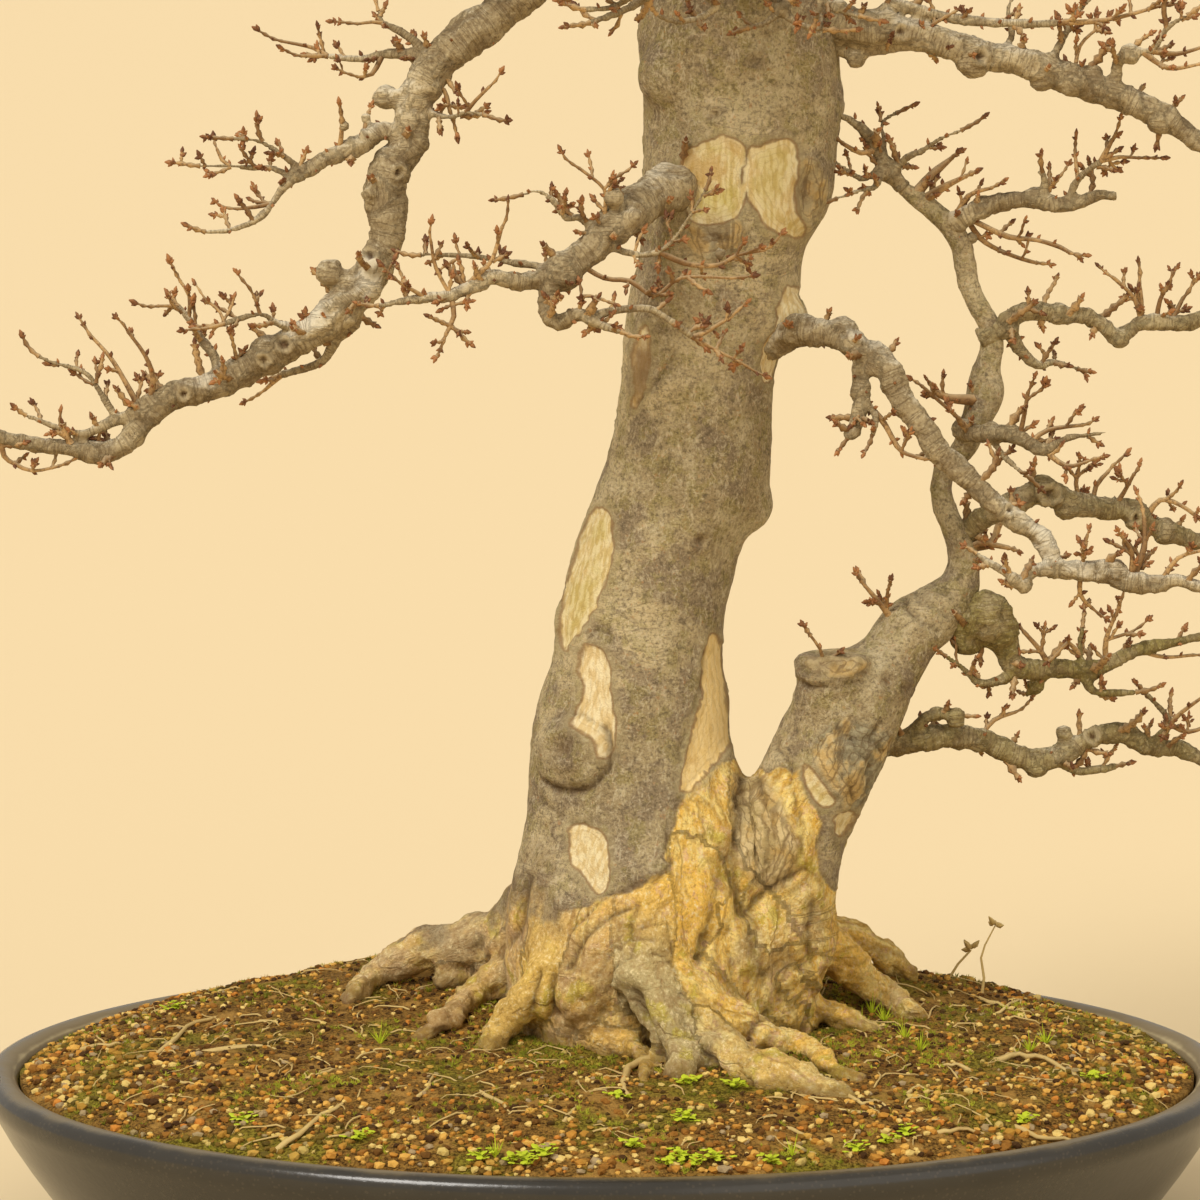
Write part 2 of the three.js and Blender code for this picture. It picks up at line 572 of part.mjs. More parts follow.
// Closed solid of a geometry, with its shared corners merged
function solid(geometry) {
  geometry.deleteAttribute('normal');
  geometry.deleteAttribute('uv');
  const merged = mergeVertices(geometry, 1e-4);
  const corners = merged.index.array;
  const kept = [];
  for (let i = 0; i < corners.length; i += 3) {
    const [a, b, c] = [corners[i], corners[i + 1], corners[i + 2]];
    if (a !== b && b !== c && c !== a) kept.push(a, b, c);
  }
  return new Manifold(
    new SolidMesh({
      numProp: 3,
      vertProperties: new Float32Array(merged.attributes.position.array),
      triVerts: new Uint32Array(kept),
    }),
  );
}

function joined(solids) {
  return solids.reduce((whole, piece) => whole.add(piece));
}

// The largest body of a solid, without the crumbs that a cut leaves
function mainBody(whole) {
  const bodies = whole.decompose();
  return bodies.reduce((best, body) => (body.volume() > best.volume() ? body : best));
}

// The route without the places that hardly bend it
function eased(route, tolerance) {
  const kept = [route[0]];
  for (let i = 1; i < route.length - 1; i += 1) {
    const line = new THREE.Line3(kept[kept.length - 1].point, route[i + 1].point);
    const near = line.closestPointToPoint(route[i].point, true, new THREE.Vector3());
    if (near.distanceTo(route[i].point) > tolerance) kept.push(route[i]);
  }
  kept.push(route[route.length - 1]);
  return kept;
}

// Round tube through a route of points with a radius each; grow makes it thicker all over
function tube(route, sides, grow = 0) {
  const curve = new THREE.CatmullRomCurve3(route.map((place) => place.point), false, 'centripetal');
  const steps = route.length - 1;
  const frames = curve.computeFrenetFrames(steps, false);
  const geometry = new THREE.CylinderGeometry(1, 1, 1, sides, steps);
  const position = geometry.attributes.position;
  const corner = new THREE.Vector3();
  for (let i = 0; i < position.count; i += 1) {
    corner.fromBufferAttribute(position, i);
    const step = Math.round((corner.y + 0.5) * steps);
    const along = curve.getUtoTmapping(step / steps) * steps;
    const before = Math.min(steps - 1, Math.floor(along));
    const [thick, thin] = [route[before].radius, route[before + 1].radius];
    const radius = THREE.MathUtils.lerp(thick, thin, along - before) + grow;
    const placed = curve.getPointAt(step / steps);
    placed.addScaledVector(frames.normals[step], corner.x * radius);
    placed.addScaledVector(frames.binormals[step], -corner.z * radius);
    position.setXYZ(i, placed.x, placed.y, placed.z);
  }
  return solid(geometry);
}

// Faceted ball at a place, with a detail of 0 or 1, flattened front to back
function knob(place, radius, detail, flattening = 1) {
  const geometry = new THREE.IcosahedronGeometry(radius, detail);
  geometry.scale(1, flattening, 1);
  geometry.translate(place.point.x, place.point.y, place.point.z);
  return solid(geometry);
}

// Route of points written as across, up, depth and radius in the front view
function measuredRoute(rows) {
  return rows.map(([across, up, depth, radius]) => {
    const { point, scale } = seen(across, up, depth);
    return { point, radius: radius * scale, across, up, depth };
  });
}

// Oval outline that keeps its distance to the rim all round: 0 is the rim itself
function ovalPoint(radius, angle) {
  const difference = RIM_HALF_LENGTH - RIM_HALF_WIDTH;
  const narrowing = Math.min(difference, radius * 0.25);
  return [radius * Math.sin(angle), (radius - narrowing) * Math.cos(angle)];
}

// Solid between a profile of [distance inside the rim, height] and the middle axis
function ovalSolid(profile, shape = (x, y, z) => z) {
  const outline = profile.map(([inset, height]) => {
    return new THREE.Vector2(Math.max(0, RIM_HALF_LENGTH - inset), height);
  });
  const geometry = new THREE.LatheGeometry(outline, SIDES_OF_POT);
  const position = geometry.attributes.position;
  for (let i = 0; i < position.count; i += 1) {
    const radius = Math.hypot(position.getX(i), position.getZ(i));
    const angle = Math.atan2(position.getX(i), position.getZ(i));
    const [x, y] = ovalPoint(radius, angle);
    position.setXYZ(i, x, -y, shape(x, -y, position.getY(i)));
  }
  return solid(geometry);
}

// Places of the wall's profile: distance inside the rim, then height. MIDDLE lies past the middle axis.
const MIDDLE = 400;
const OUTER_WALL = [[56, FOOT_HEIGHT], [44, 14], [20, 46], [5, 73], [0, 81], [1.5, 90], [6, RIM_HEIGHT]];
const LIP_EDGE = [13, RIM_HEIGHT - 1];
const INNER_WALL = [[58, FLOOR_TOP], [46, 25], [26, 56], [17.5, 82]];

// Pot: in-curving lip, walls that slope in to a flat underside, four feet and two drainage holes
function pot() {
  const inside = [...INNER_WALL].reverse();
  const profile = [[MIDDLE, FOOT_HEIGHT], ...OUTER_WALL, LIP_EDGE, ...inside, [MIDDLE, FLOOR_TOP]];
  let body = ovalSolid(profile);
  const footLength = FOOT_HEIGHT + FOOT_SINK;
  for (const [across, back] of [[-1, -1], [1, -1], [-1, 1], [1, 1]]) {
    const foot = new THREE.CylinderGeometry(FOOT_TOP_RADIUS, FOOT_LOW_RADIUS, footLength, 10);
    foot.scale(1.9, 1, 0.8);
    foot.rotateX(Math.PI / 2);
    foot.rotateZ(-across * back * FOOT_TURN);
    foot.translate(across * FOOT_ACROSS, back * FOOT_BACK, footLength / 2);
    body = body.add(solid(foot));
  }
  for (const side of [-1, 1]) {
    const hole = new THREE.CylinderGeometry(DRAIN_RADIUS, DRAIN_RADIUS, 40, 12);
    hole.rotateX(Math.PI / 2);
    hole.translate(side * DRAIN_OFFSET, 0, FLOOR_TOP);
    body = body.subtract(solid(hole));
  }
  return body;
}

// Mesh screen over a drainage hole: crossed bars
const SCREEN_HALF = 20;
const BAR_WIDTH = 2.2;
const SCREEN_THICKNESS = 1.6;

function drainScreen(side) {
  const bars = [];
  for (let place = -SCREEN_HALF; place <= SCREEN_HALF; place += SCREEN_HALF) {
    for (const turned of [false, true]) {
      const length = 2 * SCREEN_HALF + BAR_WIDTH;
      const [wide, deep] = turned ? [BAR_WIDTH, length] : [length, BAR_WIDTH];
      const bar = new THREE.BoxGeometry(wide, deep, SCREEN_THICKNESS);
      const x = side * DRAIN_OFFSET + (turned ? place : 0);
      bar.translate(x, turned ? 0 : place, FLOOR_TOP + GAP + SCREEN_THICKNESS / 2);
      bars.push(solid(bar));
    }
  }
  return joined(bars);
}

// Uneven surface of the gritty soil
const RELIEF_HEIGHT = 0.9;

function soilRelief(x, y) {
  const crossing = Math.sin(x * 0.071 + 1.3) * Math.sin(y * 0.083 + 0.4);
  return RELIEF_HEIGHT * (crossing + Math.sin(x * 0.041 - y * 0.057));
}

// Soil: fills the pot up to its mound, with room for the trunk and the screens
const WALL_GAP = 0.45;
const SCREEN_ROOM = 3;

function soil(trunkRoom) {
  const wall = INNER_WALL.map(([inset, height]) => [inset + WALL_GAP, height]);
  wall[0][1] = FLOOR_TOP + GAP;
  const top = MOUND_RINGS.map((part) => [RIM_HALF_LENGTH - MOUND_HALF_LENGTH * part, RIM_HEIGHT]);
  const shape = (x, y, z) => (z === RIM_HEIGHT ? soilHeight(x, y) + soilRelief(x, y) : z);
  const profile = [[MIDDLE, FLOOR_TOP + GAP], ...wall, ...top, [MIDDLE, RIM_HEIGHT]];
  let body = ovalSolid(profile, shape);
  for (const side of [-1, 1]) {
    const size = 2 * SCREEN_HALF + SCREEN_ROOM;
    const room = new THREE.BoxGeometry(size, size, 2 * (SCREEN_THICKNESS + 2 * GAP));
    room.translate(side * DRAIN_OFFSET, 0, FLOOR_TOP + GAP);
    body = body.subtract(solid(room));
  }
  return mainBody(body.subtract(trunkRoom));
}

// Main trunk as rings through the measured outline, with long shallow flutes
const SIDES_OF_TRUNK = 18;

function trunkCore(grow) {
  const rings = TRUNK_OUTLINE.map(([up, left, right, depth, half]) => {
    const { point, scale } = seen((left + right) / 2, up, depth);
    return { point, across: ((right - left) / 2) * scale + grow, back: half * scale + grow };
  });
  const steps = rings.length - 1;
  const geometry = new THREE.CylinderGeometry(1, 1, 1, SIDES_OF_TRUNK, steps);
  const position = geometry.attributes.position;
  for (let i = 0; i < position.count; i += 1) {
    const ring = rings[Math.round((position.getY(i) + 0.5) * steps)];
    const angle = Math.atan2(position.getZ(i), position.getX(i));
    const height = ring.point.z;
    const broadFold = 0.01 * Math.sin(3 * angle + height / 55);
    const fold = broadFold + 0.016 * Math.sin(5 * angle - height / 70 + 1);
    const x = ring.point.x + position.getX(i) * ring.across * (1 + fold);
    const y = ring.point.y - position.getZ(i) * ring.back * (1 + fold);
    position.setXYZ(i, x, y, height);
  }
  return solid(geometry);
}

// Surface root: the places that stand clear, then the ones that lie on the soil
function rootRoute({ clear, lying }) {
  const standing = measuredRoute(clear);
  const lyingPlaces = lying.map(([across, up, lift, radius]) => {
    const { point, scale } = resting(across, up, lift);
    return { point, radius: radius * scale };
  });
  return [...standing, ...lyingPlaces];
}

// Root behind the trunk: its height above the soil at shares of its reach
const FAR_ROOT_LIFTS = [[0.1, 62], [0.33, 26], [0.52, 7], [0.68, 3], [0.84, 2], [1, -5]];
const TRUNK_ACROSS = 24;

function farRootRoute([degrees, reach, radius]) {
  const direction = THREE.MathUtils.degToRad(degrees);
  return FAR_ROOT_LIFTS.map(([share, lift]) => {
    const turn = direction + 0.16 * Math.sin(5 * share + degrees);
    const x = TRUNK_ACROSS + Math.cos(turn) * reach * share;
    const y = Math.sin(turn) * reach * share;
    const point = new THREE.Vector3(x, y, soilHeight(x, y) + lift);
    return { point, radius: radius * (1.5 - 1.15 * share) };
  });
}

// Everything of the trunk: core, second stem, cut stub, small shoots, burls and roots
function trunk(grow = 0) {
  const pieces = [trunkCore(grow)];
  pieces.push(tube(eased(measuredRoute(SECOND_STEM), 0.8), 9, grow));
  pieces.push(tube(eased(measuredRoute(CUT_STUB), 1), 10, grow));
  for (const rows of SPURS) pieces.push(tube(eased(measuredRoute(rows), 2), 3, grow));
  for (const [across, up, depth, radius, flattening] of BURLS) {
    pieces.push(knob(seen(across, up, depth), radius + grow, 1, flattening));
  }
  for (const root of ROOTS) pieces.push(tube(eased(rootRoute(root), 2.5), 6, grow));
  for (const root of FAR_ROOTS) pieces.push(tube(eased(farRootRoute(root), 3), 5, grow));
  return mainBody(joined(pieces));
}

// Nearest place of the routes so far, as the front view shows it
function nearestPlace(routes, across, up) {
  let best = null;
  let bestDistance = Infinity;
  for (const route of routes) {
    for (const place of route) {
      const distance = Math.hypot(place.across - across, place.up - up);
      if (distance < bestDistance) {
        bestDistance = distance;
        best = place;
      }
    }
  }
  return best;
}

// Route with a place added in the middle of each stretch, to find starting places by
function refined(route) {
  const places = [];
  route.forEach((place, i) => {
    places.push(place);
    if (i === route.length - 1) return;
    const next = route[i + 1];
    places.push({
      point: place.point.clone().lerp(next.point, 0.5),
      radius: (place.radius + next.radius) / 2,
      across: (place.across + next.across) / 2,
      up: (place.up + next.up) / 2,
      depth: (place.depth + next.depth) / 2,
    });
  });
  return places;
}

// Limb that starts on the nearest route of its own branch and moves in depth as it runs out
function limbRoute(routes, [thick, thin, depthChange, places]) {
  const start = nearestPlace(routes, places[0][0], places[0][1]);
  const steps = places.length - 1;
  const rows = places.map(([across, up], i) => {
    const share = i / steps;
    return [across, up, start.depth + depthChange * share, THREE.MathUtils.lerp(thick, thin, share)];
  });
  rows[0] = [start.across, start.up, start.depth, Math.min(thick, start.radius * 0.95)];
  return measuredRoute(rows);
}

// Shoot that leaves a place of a branch sideways, sags a little, then bends upward
const SHOOT_TIP = 0.9;
const SHOOT_SAG = 3;

function sideShoot(start, direction, length, thick, lift) {
  return [0, 0.5, 1].map((share) => {
    const point = start.clone().addScaledVector(direction, length * share);
    point.z += lift * share * share - SHOOT_SAG * Math.sin(Math.PI * share);
    return { point, radius: THREE.MathUtils.lerp(thick, SHOOT_TIP, share) };
  });
}

// Opposite side shoots of a branch that the front view doesn't show well, with one fork on each
function sideShoots(main, count, random) {
  const routes = [];
  for (let i = 0; i < count; i += 1) {
    const along = 1.6 + ((main.length - 2.9) * i) / (count - 1);
    const before = Math.floor(along);
    const [from, to] = [main[before], main[before + 1]];
    const start = from.point.clone().lerp(to.point, along - before);
    const thick = 0.5 * THREE.MathUtils.lerp(from.radius, to.radius, along - before);
    const forward = to.point.clone().sub(from.point).normalize();
    const sideways = new THREE.Vector3(0, 0, 1).cross(forward).normalize();
    sideways.multiplyScalar(i % 2 ? 1 : -1);
    const direction = forward.clone().multiplyScalar(0.55 + 0.2 * random());
    direction.addScaledVector(sideways, 0.75 + 0.2 * random());
    direction.z += 0.1 + 0.3 * random();
    direction.normalize();
    const length = 78 - 7 * i + 22 * random();
    const shoot = sideShoot(start, direction, length, Math.max(1.6, thick), 6 + 12 * random());
    const fork = direction.clone().addScaledVector(sideways, -0.7).addScaledVector(forward, 0.5);
    fork.z += 0.25;
    fork.normalize();
    routes.push(shoot);
    if (i % 3 === 1) routes.push(sideShoot(shoot[1].point.clone(), fork, length * 0.55, 1.5, 8));
  }
  return routes;
}

// Routes of a branch: its main one, its limbs, and the places that a limb or knob can start from
const FIRST_SEED = 1000;
const SEED_STEP = 77;

function branchRoutes(branch, index) {
  const main = measuredRoute(branch.main);
  const known = [refined(main)];
  const limbs = [];
  for (const limb of branch.limbs) {
    const route = limbRoute(known, limb);
    limbs.push(route);
    known.push(refined(route));
  }
  if (branch.spread > 0) {
    const random = randomNumbers(FIRST_SEED + SEED_STEP * index);
    limbs.push(...sideShoots(main, branch.spread, random));
  }
  return { main, limbs, known };
}

// Branch with its limbs and knobs, cut clear of the trunk. Thin wood gets fewer sides.
function branchSolid(branch, index, trunkRoom) {
  const { main, limbs, known } = branchRoutes(branch, index);
  const pieces = [tube(eased(main, 1.5), branch.spread > 0 ? 5 : 6)];
  for (const limb of limbs) pieces.push(tube(eased(limb, 3), limb[0].radius > 3.2 ? 4 : 3));
  for (const [across, up, radius] of branch.knobs) {
    const place = nearestPlace(known, across, up);
    const { point, scale } = seen(across, up, place.depth);
    pieces.push(knob({ point }, radius * scale * 1.1, 0));
  }
  return mainBody(joined(pieces).subtract(trunkRoom));
}

const bonsai = new THREE.Group();

function addPiece(name, body, look) {
  const { vertProperties, triVerts, numProp } = body.getMesh();
  const geometry = new THREE.BufferGeometry();
  const stored = new THREE.BufferAttribute(new Float32Array(vertProperties), numProp);
  geometry.setAttribute('position', stored);
  geometry.setIndex(new THREE.BufferAttribute(new Uint32Array(triVerts), 1));
  geometry.computeVertexNormals();
  const mesh = new THREE.Mesh(geometry, new THREE.MeshStandardMaterial(look));
  mesh.name = name;
  bonsai.add(mesh);
}

const trunkRoom = trunk(TRUNK_GAP);
addPiece('pot', pot(), COLOURS.pot);
addPiece('drain_screen_left', drainScreen(-1), COLOURS.screen);
addPiece('drain_screen_right', drainScreen(1), COLOURS.screen);
addPiece('soil', soil(trunkRoom), COLOURS.soil);
addPiece('trunk', trunk(), COLOURS.bark);
BRANCHES.forEach((branch, index) => {
  addPiece(branch.name, branchSolid(branch, index, trunkRoom), COLOURS.twig);
});

export default bonsai;
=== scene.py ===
# %% [markdown]
# Trident maple bonsai
#
# An old bonsai in winter: a thick trunk with scars where branches were sawn off, roots that spread
# over the soil, a second stem on the right and bare branches full of short twigs and buds. It stands
# in gritty soil in a low, dark, oval pot.
#
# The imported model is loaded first. It fixes every size and place, and the pieces made below stand
# for its solids with a finer surface. The noise gets a seed, so that every run grows the same tree.

# %% Load the frame
import math
import random

import bmesh
import bpy
import numpy as np
from mathutils import Matrix, Vector, kdtree, noise


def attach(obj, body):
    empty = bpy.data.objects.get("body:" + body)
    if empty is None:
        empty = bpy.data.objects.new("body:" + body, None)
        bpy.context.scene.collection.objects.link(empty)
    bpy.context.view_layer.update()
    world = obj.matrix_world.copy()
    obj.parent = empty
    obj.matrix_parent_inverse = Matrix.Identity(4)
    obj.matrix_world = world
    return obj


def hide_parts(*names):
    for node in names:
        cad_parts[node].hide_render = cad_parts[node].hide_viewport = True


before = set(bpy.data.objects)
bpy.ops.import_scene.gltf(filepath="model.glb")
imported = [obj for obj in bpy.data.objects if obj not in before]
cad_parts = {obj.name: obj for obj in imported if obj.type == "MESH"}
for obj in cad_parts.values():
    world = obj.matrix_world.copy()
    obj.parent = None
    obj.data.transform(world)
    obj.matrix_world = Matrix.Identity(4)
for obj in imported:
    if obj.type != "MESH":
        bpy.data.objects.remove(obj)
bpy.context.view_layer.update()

MM = 0.001
noise.seed_set(1)
print("solids in the frame:", len(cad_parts))

# %% [markdown]
# The front view
#
# The branches were measured in the view from the front. A route says how far across and up from the
# middle of that view a place is, and how deep it lies behind the middle of the pot, all in
# millimetres. The same few numbers set the camera, so what is modelled falls where it was seen.

# %% Front view
RIM_HEIGHT = 92
EYE_DISTANCE = 2400
EYE_ABOVE_RIM = 554
AIM_ABOVE_RIM = 235.5
VIEW_WIDTH = 600
SENSOR_WIDTH = 36
EYE = Vector((-3.5, -EYE_DISTANCE, RIM_HEIGHT + EYE_ABOVE_RIM))
FALL = EYE_ABOVE_RIM - AIM_ABOVE_RIM
REACH = math.hypot(EYE_DISTANCE, FALL)


def seen(across, up, depth):
    """Place in millimetres that shows there in the front view, and its scale against the middle."""
    ray = Vector((across, EYE_DISTANCE + up * FALL / REACH, up * EYE_DISTANCE / REACH - FALL))
    scale = (depth + EYE_DISTANCE) / ray.y
    return EYE + ray * scale, scale


def across_and_up(points):
    """Where points, an array in millimetres, show in the front view."""
    ray = points - np.array(EYE)
    ahead = (ray[:, 1] * EYE_DISTANCE - ray[:, 2] * FALL) / REACH
    above = (ray[:, 1] * FALL + ray[:, 2] * EYE_DISTANCE) / REACH
    return REACH * ray[:, 0] / ahead, REACH * above / ahead


def make_camera():
    camera = bpy.data.cameras.new("front camera")
    camera.sensor_width = SENSOR_WIDTH
    camera.lens = SENSOR_WIDTH * REACH / VIEW_WIDTH
    camera.clip_end = 400
    holder = bpy.data.objects.new("front camera", camera)
    holder.location = EYE * MM
    holder.rotation_euler = (math.pi / 2 - math.atan2(FALL, EYE_DISTANCE), 0, 0)
    bpy.context.scene.collection.objects.link(holder)
    bpy.context.scene.camera = holder
    return camera.lens


print("lens in millimetres:", round(make_camera(), 1))

# %% [markdown]
# Shader helpers
#
# Materials are built from nodes. One short function adds a node, sets its plain values and links the
# sockets that it is given, so that each recipe below reads from top to bottom.

# %% Shader helpers
def add_node(tree, kind, inputs=None, **settings):
    made = tree.nodes.new("ShaderNode" + kind)
    for name, value in settings.items():
        setattr(made, name, value)
    for name, value in (inputs or {}).items():
        if isinstance(value, bpy.types.NodeSocket):
            tree.links.new(value, made.inputs[name])
        else:
            made.inputs[name].default_value = value
    return made


def srgb(red, green, blue):
    """A colour as a paint chart gives it, from 0 to 255, as the linear colour that nodes use."""
    parts = [c / 255 for c in (red, green, blue)]
    return tuple(c / 12.92 if c <= 0.04045 else ((c + 0.055) / 1.055) ** 2.4 for c in parts) + (1.0,)


def mixed(tree, share, first, second, blend="MIX"):
    """Colour that goes from first to second as share goes from 0 to 1."""
    made = add_node(tree, "Mix", data_type="RGBA", blend_type=blend)
    for place, value in ((0, share), (6, first), (7, second)):
        if isinstance(value, bpy.types.NodeSocket):
            tree.links.new(value, made.inputs[place])
        else:
            made.inputs[place].default_value = value
    return made.outputs[2]


def stepped(tree, value, low, high, out_low=0.0, out_high=1.0):
    """Smooth rise from out_low to out_high while value goes from low to high."""
    ends = {"Value": value, "From Min": low, "From Max": high, "To Min": out_low, "To Max": out_high}
    return add_node(tree, "MapRange", ends, interpolation_type="SMOOTHSTEP").outputs["Result"]


def combined(tree, operation, first, second=0.5):
    return add_node(tree, "Math", {0: first, 1: second}, operation=operation).outputs[0]


def times(tree, first, second):
    return combined(tree, "MULTIPLY", first, second)


def plus(tree, first, second):
    return combined(tree, "ADD", first, second)


def blended(tree, value, low, high, first, second):
    """Goes from one shade to another while value goes from low to high."""
    return mixed(tree, stepped(tree, value, low, high), srgb(*first), srgb(*second))


def layered(tree, colour, layers):
    """Lays shades over a colour in turn. A layer has a label, a value, the two ends between which its
    share rises, the most it covers, and its shade."""
    for label, value, low, high, most, shade in layers:
        colour = mixed(tree, stepped(tree, value, low, high, 0, most), colour, srgb(*shade))
        colour.node.label = label
    return colour


def attribute(tree, name):
    return add_node(tree, "Attribute", attribute_name=name).outputs["Fac"]


def new_material(name, roughness, specular=0.3):
    """A material and its node tree."""
    made = bpy.data.materials.new(name)
    made.use_nodes = True
    shader = made.node_tree.nodes["Principled BSDF"]
    shader.inputs["Roughness"].default_value = roughness
    shader.inputs["Specular IOR Level"].default_value = specular
    return made, made.node_tree


def finish_material(made, colour, height=None, distance=0.0005, strength=0.6, roughness=None):
    """Feeds the colour, the relief and the roughness into the material's own shader."""
    tree = made.node_tree
    shader = tree.nodes["Principled BSDF"]
    tree.links.new(colour, shader.inputs["Base Color"])
    if roughness is not None:
        tree.links.new(roughness, shader.inputs["Roughness"])
    if height is not None:
        bump = add_node(tree, "Bump", {"Height": height, "Distance": distance, "Strength": strength})
        tree.links.new(bump.outputs["Normal"], shader.inputs["Normal"])
    return made


# %% [markdown]
# Weathering, shared by bark, soil and pot
#
# Everything here has stood outdoors for years. Each surface has broad clouds of colour, a fine grain
# and small specks, so one node group makes those three and every material uses it at its own scale.

# %% Weathering group
GRAIN_FINENESS = 9.0
SPECK_FINENESS = 16.0


def new_group(name, inputs, outputs):
    """An empty node group, with the sockets of its inner input and output nodes."""
    group = bpy.data.node_groups.new(name, "ShaderNodeTree")
    for in_out, sockets in (("INPUT", inputs), ("OUTPUT", outputs)):
        for socket, kind in sockets:
            group.interface.new_socket(socket, in_out=in_out, socket_type="NodeSocket" + kind)
    return group, group.nodes.new("NodeGroupInput").outputs, group.nodes.new("NodeGroupOutput").inputs


def make_weathering():
    outputs = [(name, "Float") for name in ("Clouds", "Grain", "Specks", "Height")]
    group, given, wanted = new_group("weathering", [("Vector", "Vector"), ("Scale", "Float")], outputs)
    place, scale = given["Vector"], given["Scale"]

    def cloudy(size, roughness):
        settings = {"Vector": place, "Scale": size, "Detail": 4, "Roughness": roughness}
        return add_node(group, "TexNoise", settings).outputs["Fac"]

    clouds, grain = cloudy(scale, 0.6), cloudy(times(group, scale, GRAIN_FINENESS), 0.7)
    dots = {"Vector": place, "Scale": times(group, scale, SPECK_FINENESS), "Randomness": 1.0}
    distance = add_node(group, "TexVoronoi", dots).outputs["Distance"]
    made = {"Clouds": clouds, "Grain": grain, "Specks": stepped(group, distance, 0.32, 0.16),
        "Height": plus(group, grain, clouds)}
    for name, value in made.items():
        group.links.new(value, wanted[name])
    return group


WEATHERING = make_weathering()


def weathered(tree, scale):
    """The weathering group in a material, on the piece's own Object coordinates."""
    place = add_node(tree, "TexCoord").outputs["Object"]
    return add_node(tree, "Group", {"Vector": place, "Scale": scale}, node_tree=WEATHERING).outputs


print("weathering outputs:", [s.name for s in WEATHERING.interface.items_tree if s.in_out == "OUTPUT"])

# %% [markdown]
# Wrinkles, shared by all bark
#
# Old bark creases along thin winding lines that branch and close on themselves. A noise crosses its
# middle value along exactly such lines, so a narrow band around that value draws them. The line's
# middle is 1 and it fades to 0 on both sides.

# %% Wrinkle group
LINE_HALF_WIDTH = 0.045


def make_wrinkles():
    group, given, wanted = new_group("wrinkles", [("Vector", "Vector")], [("Lines", "Float")])
    settings = {"Vector": given["Vector"], "Scale": 1.0, "Detail": 3, "Roughness": 0.55, "Distortion": 0.7}
    swirl = add_node(group, "TexNoise", settings).outputs["Fac"]
    away = combined(group, "ABSOLUTE", combined(group, "SUBTRACT", swirl, 0.5))
    group.links.new(stepped(group, away, LINE_HALF_WIDTH, 0.0), wanted["Lines"])
    return group


WRINKLES = make_wrinkles()


def wrinkled(tree, place, scale):
    """Wrinkle lines at a place, with a scale along each axis."""
    scaled = add_node(tree, "Mapping", {"Vector": place, "Scale": scale}).outputs[0]
    return add_node(tree, "Group", {"Vector": scaled}, node_tree=WRINKLES).outputs["Lines"]


print("groups:", [group.name for group in bpy.data.node_groups])

# %% [markdown]
# Stage
#
# A plain pale floor and soft light. A wide sun from the upper left gives the gentle modelling of a
# bright hall, and the pale world fills the shadows.

# %% Stage
FLOOR_HALF = 150


def make_stage():
    bm = bmesh.new()
    bmesh.ops.create_grid(bm, x_segments=1, y_segments=1, size=FLOOR_HALF)
    mesh = bpy.data.meshes.new("floor")
    bm.to_mesh(mesh)
    bm.free()
    floor = bpy.data.objects.new("floor", mesh)
    bpy.context.scene.collection.objects.link(floor)
    paint, tree = new_material("pale floor", 0.9, 0.1)
    tree.nodes["Principled BSDF"].inputs["Base Color"].default_value = srgb(236, 214, 172)
    mesh.materials.append(paint)
    world = bpy.data.worlds.new("pale room")
    world.use_nodes = True
    sky = world.node_tree.nodes["Background"].inputs
    sky["Color"].default_value = (1.0, 0.93, 0.82, 1)
    sky["Strength"].default_value = 0.62
    bpy.context.scene.world = world


def make_sun(name, strength, softness, across, back, up):
    """A sun that shines from a direction, with a softness in degrees."""
    light = bpy.data.lights.new(name, "SUN")
    light.energy = strength
    light.angle = math.radians(softness)
    light.color = (1.0, 0.96, 0.9)
    holder = bpy.data.objects.new(name, light)
    holder.rotation_euler = Vector((across, back, up)).to_track_quat("Z", "Y").to_euler()
    bpy.context.scene.collection.objects.link(holder)


make_stage()
make_sun("window light", 2.1, 24, -0.55, -0.75, 0.95)
make_sun("bounce light", 0.5, 60, 0.8, -0.9, 0.35)
bpy.context.scene.view_settings.view_transform = "Standard"

# %% [markdown]
# Pieces
#
# Every finished piece is one mesh at the origin, in metres. It rides on the body of the whole bonsai
# and stands for the solid that it refines.

# %% Helpers for pieces
BATCH = 150
FULL_TURN = 6.28


def place_piece(mesh, slot, *nodes):
    """Makes a mesh a piece of the bonsai that stands for these solids."""
    piece = bpy.data.objects.new(mesh.name.split(".")[0].replace(" ", "_"), mesh)
    bpy.context.scene.collection.objects.link(piece)
    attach(piece, "root")
    if nodes:
        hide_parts(*nodes)
    print(piece.name, "faces:", len(mesh.polygons))
    return piece


def mesh_with_modifiers(data, add_modifiers=None):
    """The mesh that a mesh or a curve gives, after modifiers that are put on a passing object."""
    holder = bpy.data.objects.new("passing", data)
    bpy.context.scene.collection.objects.link(holder)
    if add_modifiers:
        add_modifiers(holder)
    graph = bpy.context.evaluated_depsgraph_get()
    made = bpy.data.meshes.new_from_object(holder.evaluated_get(graph))
    made.name = data.name
    bpy.data.objects.remove(holder)
    return made


def mesh_of(bm, name):
    mesh = bpy.data.meshes.new(name)
    bm.to_mesh(mesh)
    bm.free()
    return mesh


def read_out(items, field, width, kind=np.float32):
    """A field of all corners or edges as an array with that many columns."""
    flat = np.empty(len(items) * width, dtype=kind)
    items.foreach_get(field, flat)
    return flat.reshape(-1, width)


def coordinates(mesh):
    """The mesh's corners as an array in millimetres."""
    return read_out(mesh.vertices, "co", 3).astype(np.float64) / MM


def set_coordinates(mesh, points):
    mesh.vertices.foreach_set("co", (points * MM).astype(np.float32).ravel())
    mesh.update()


def normals_of(mesh):
    return read_out(mesh.vertex_normals, "vector", 3).astype(np.float64)


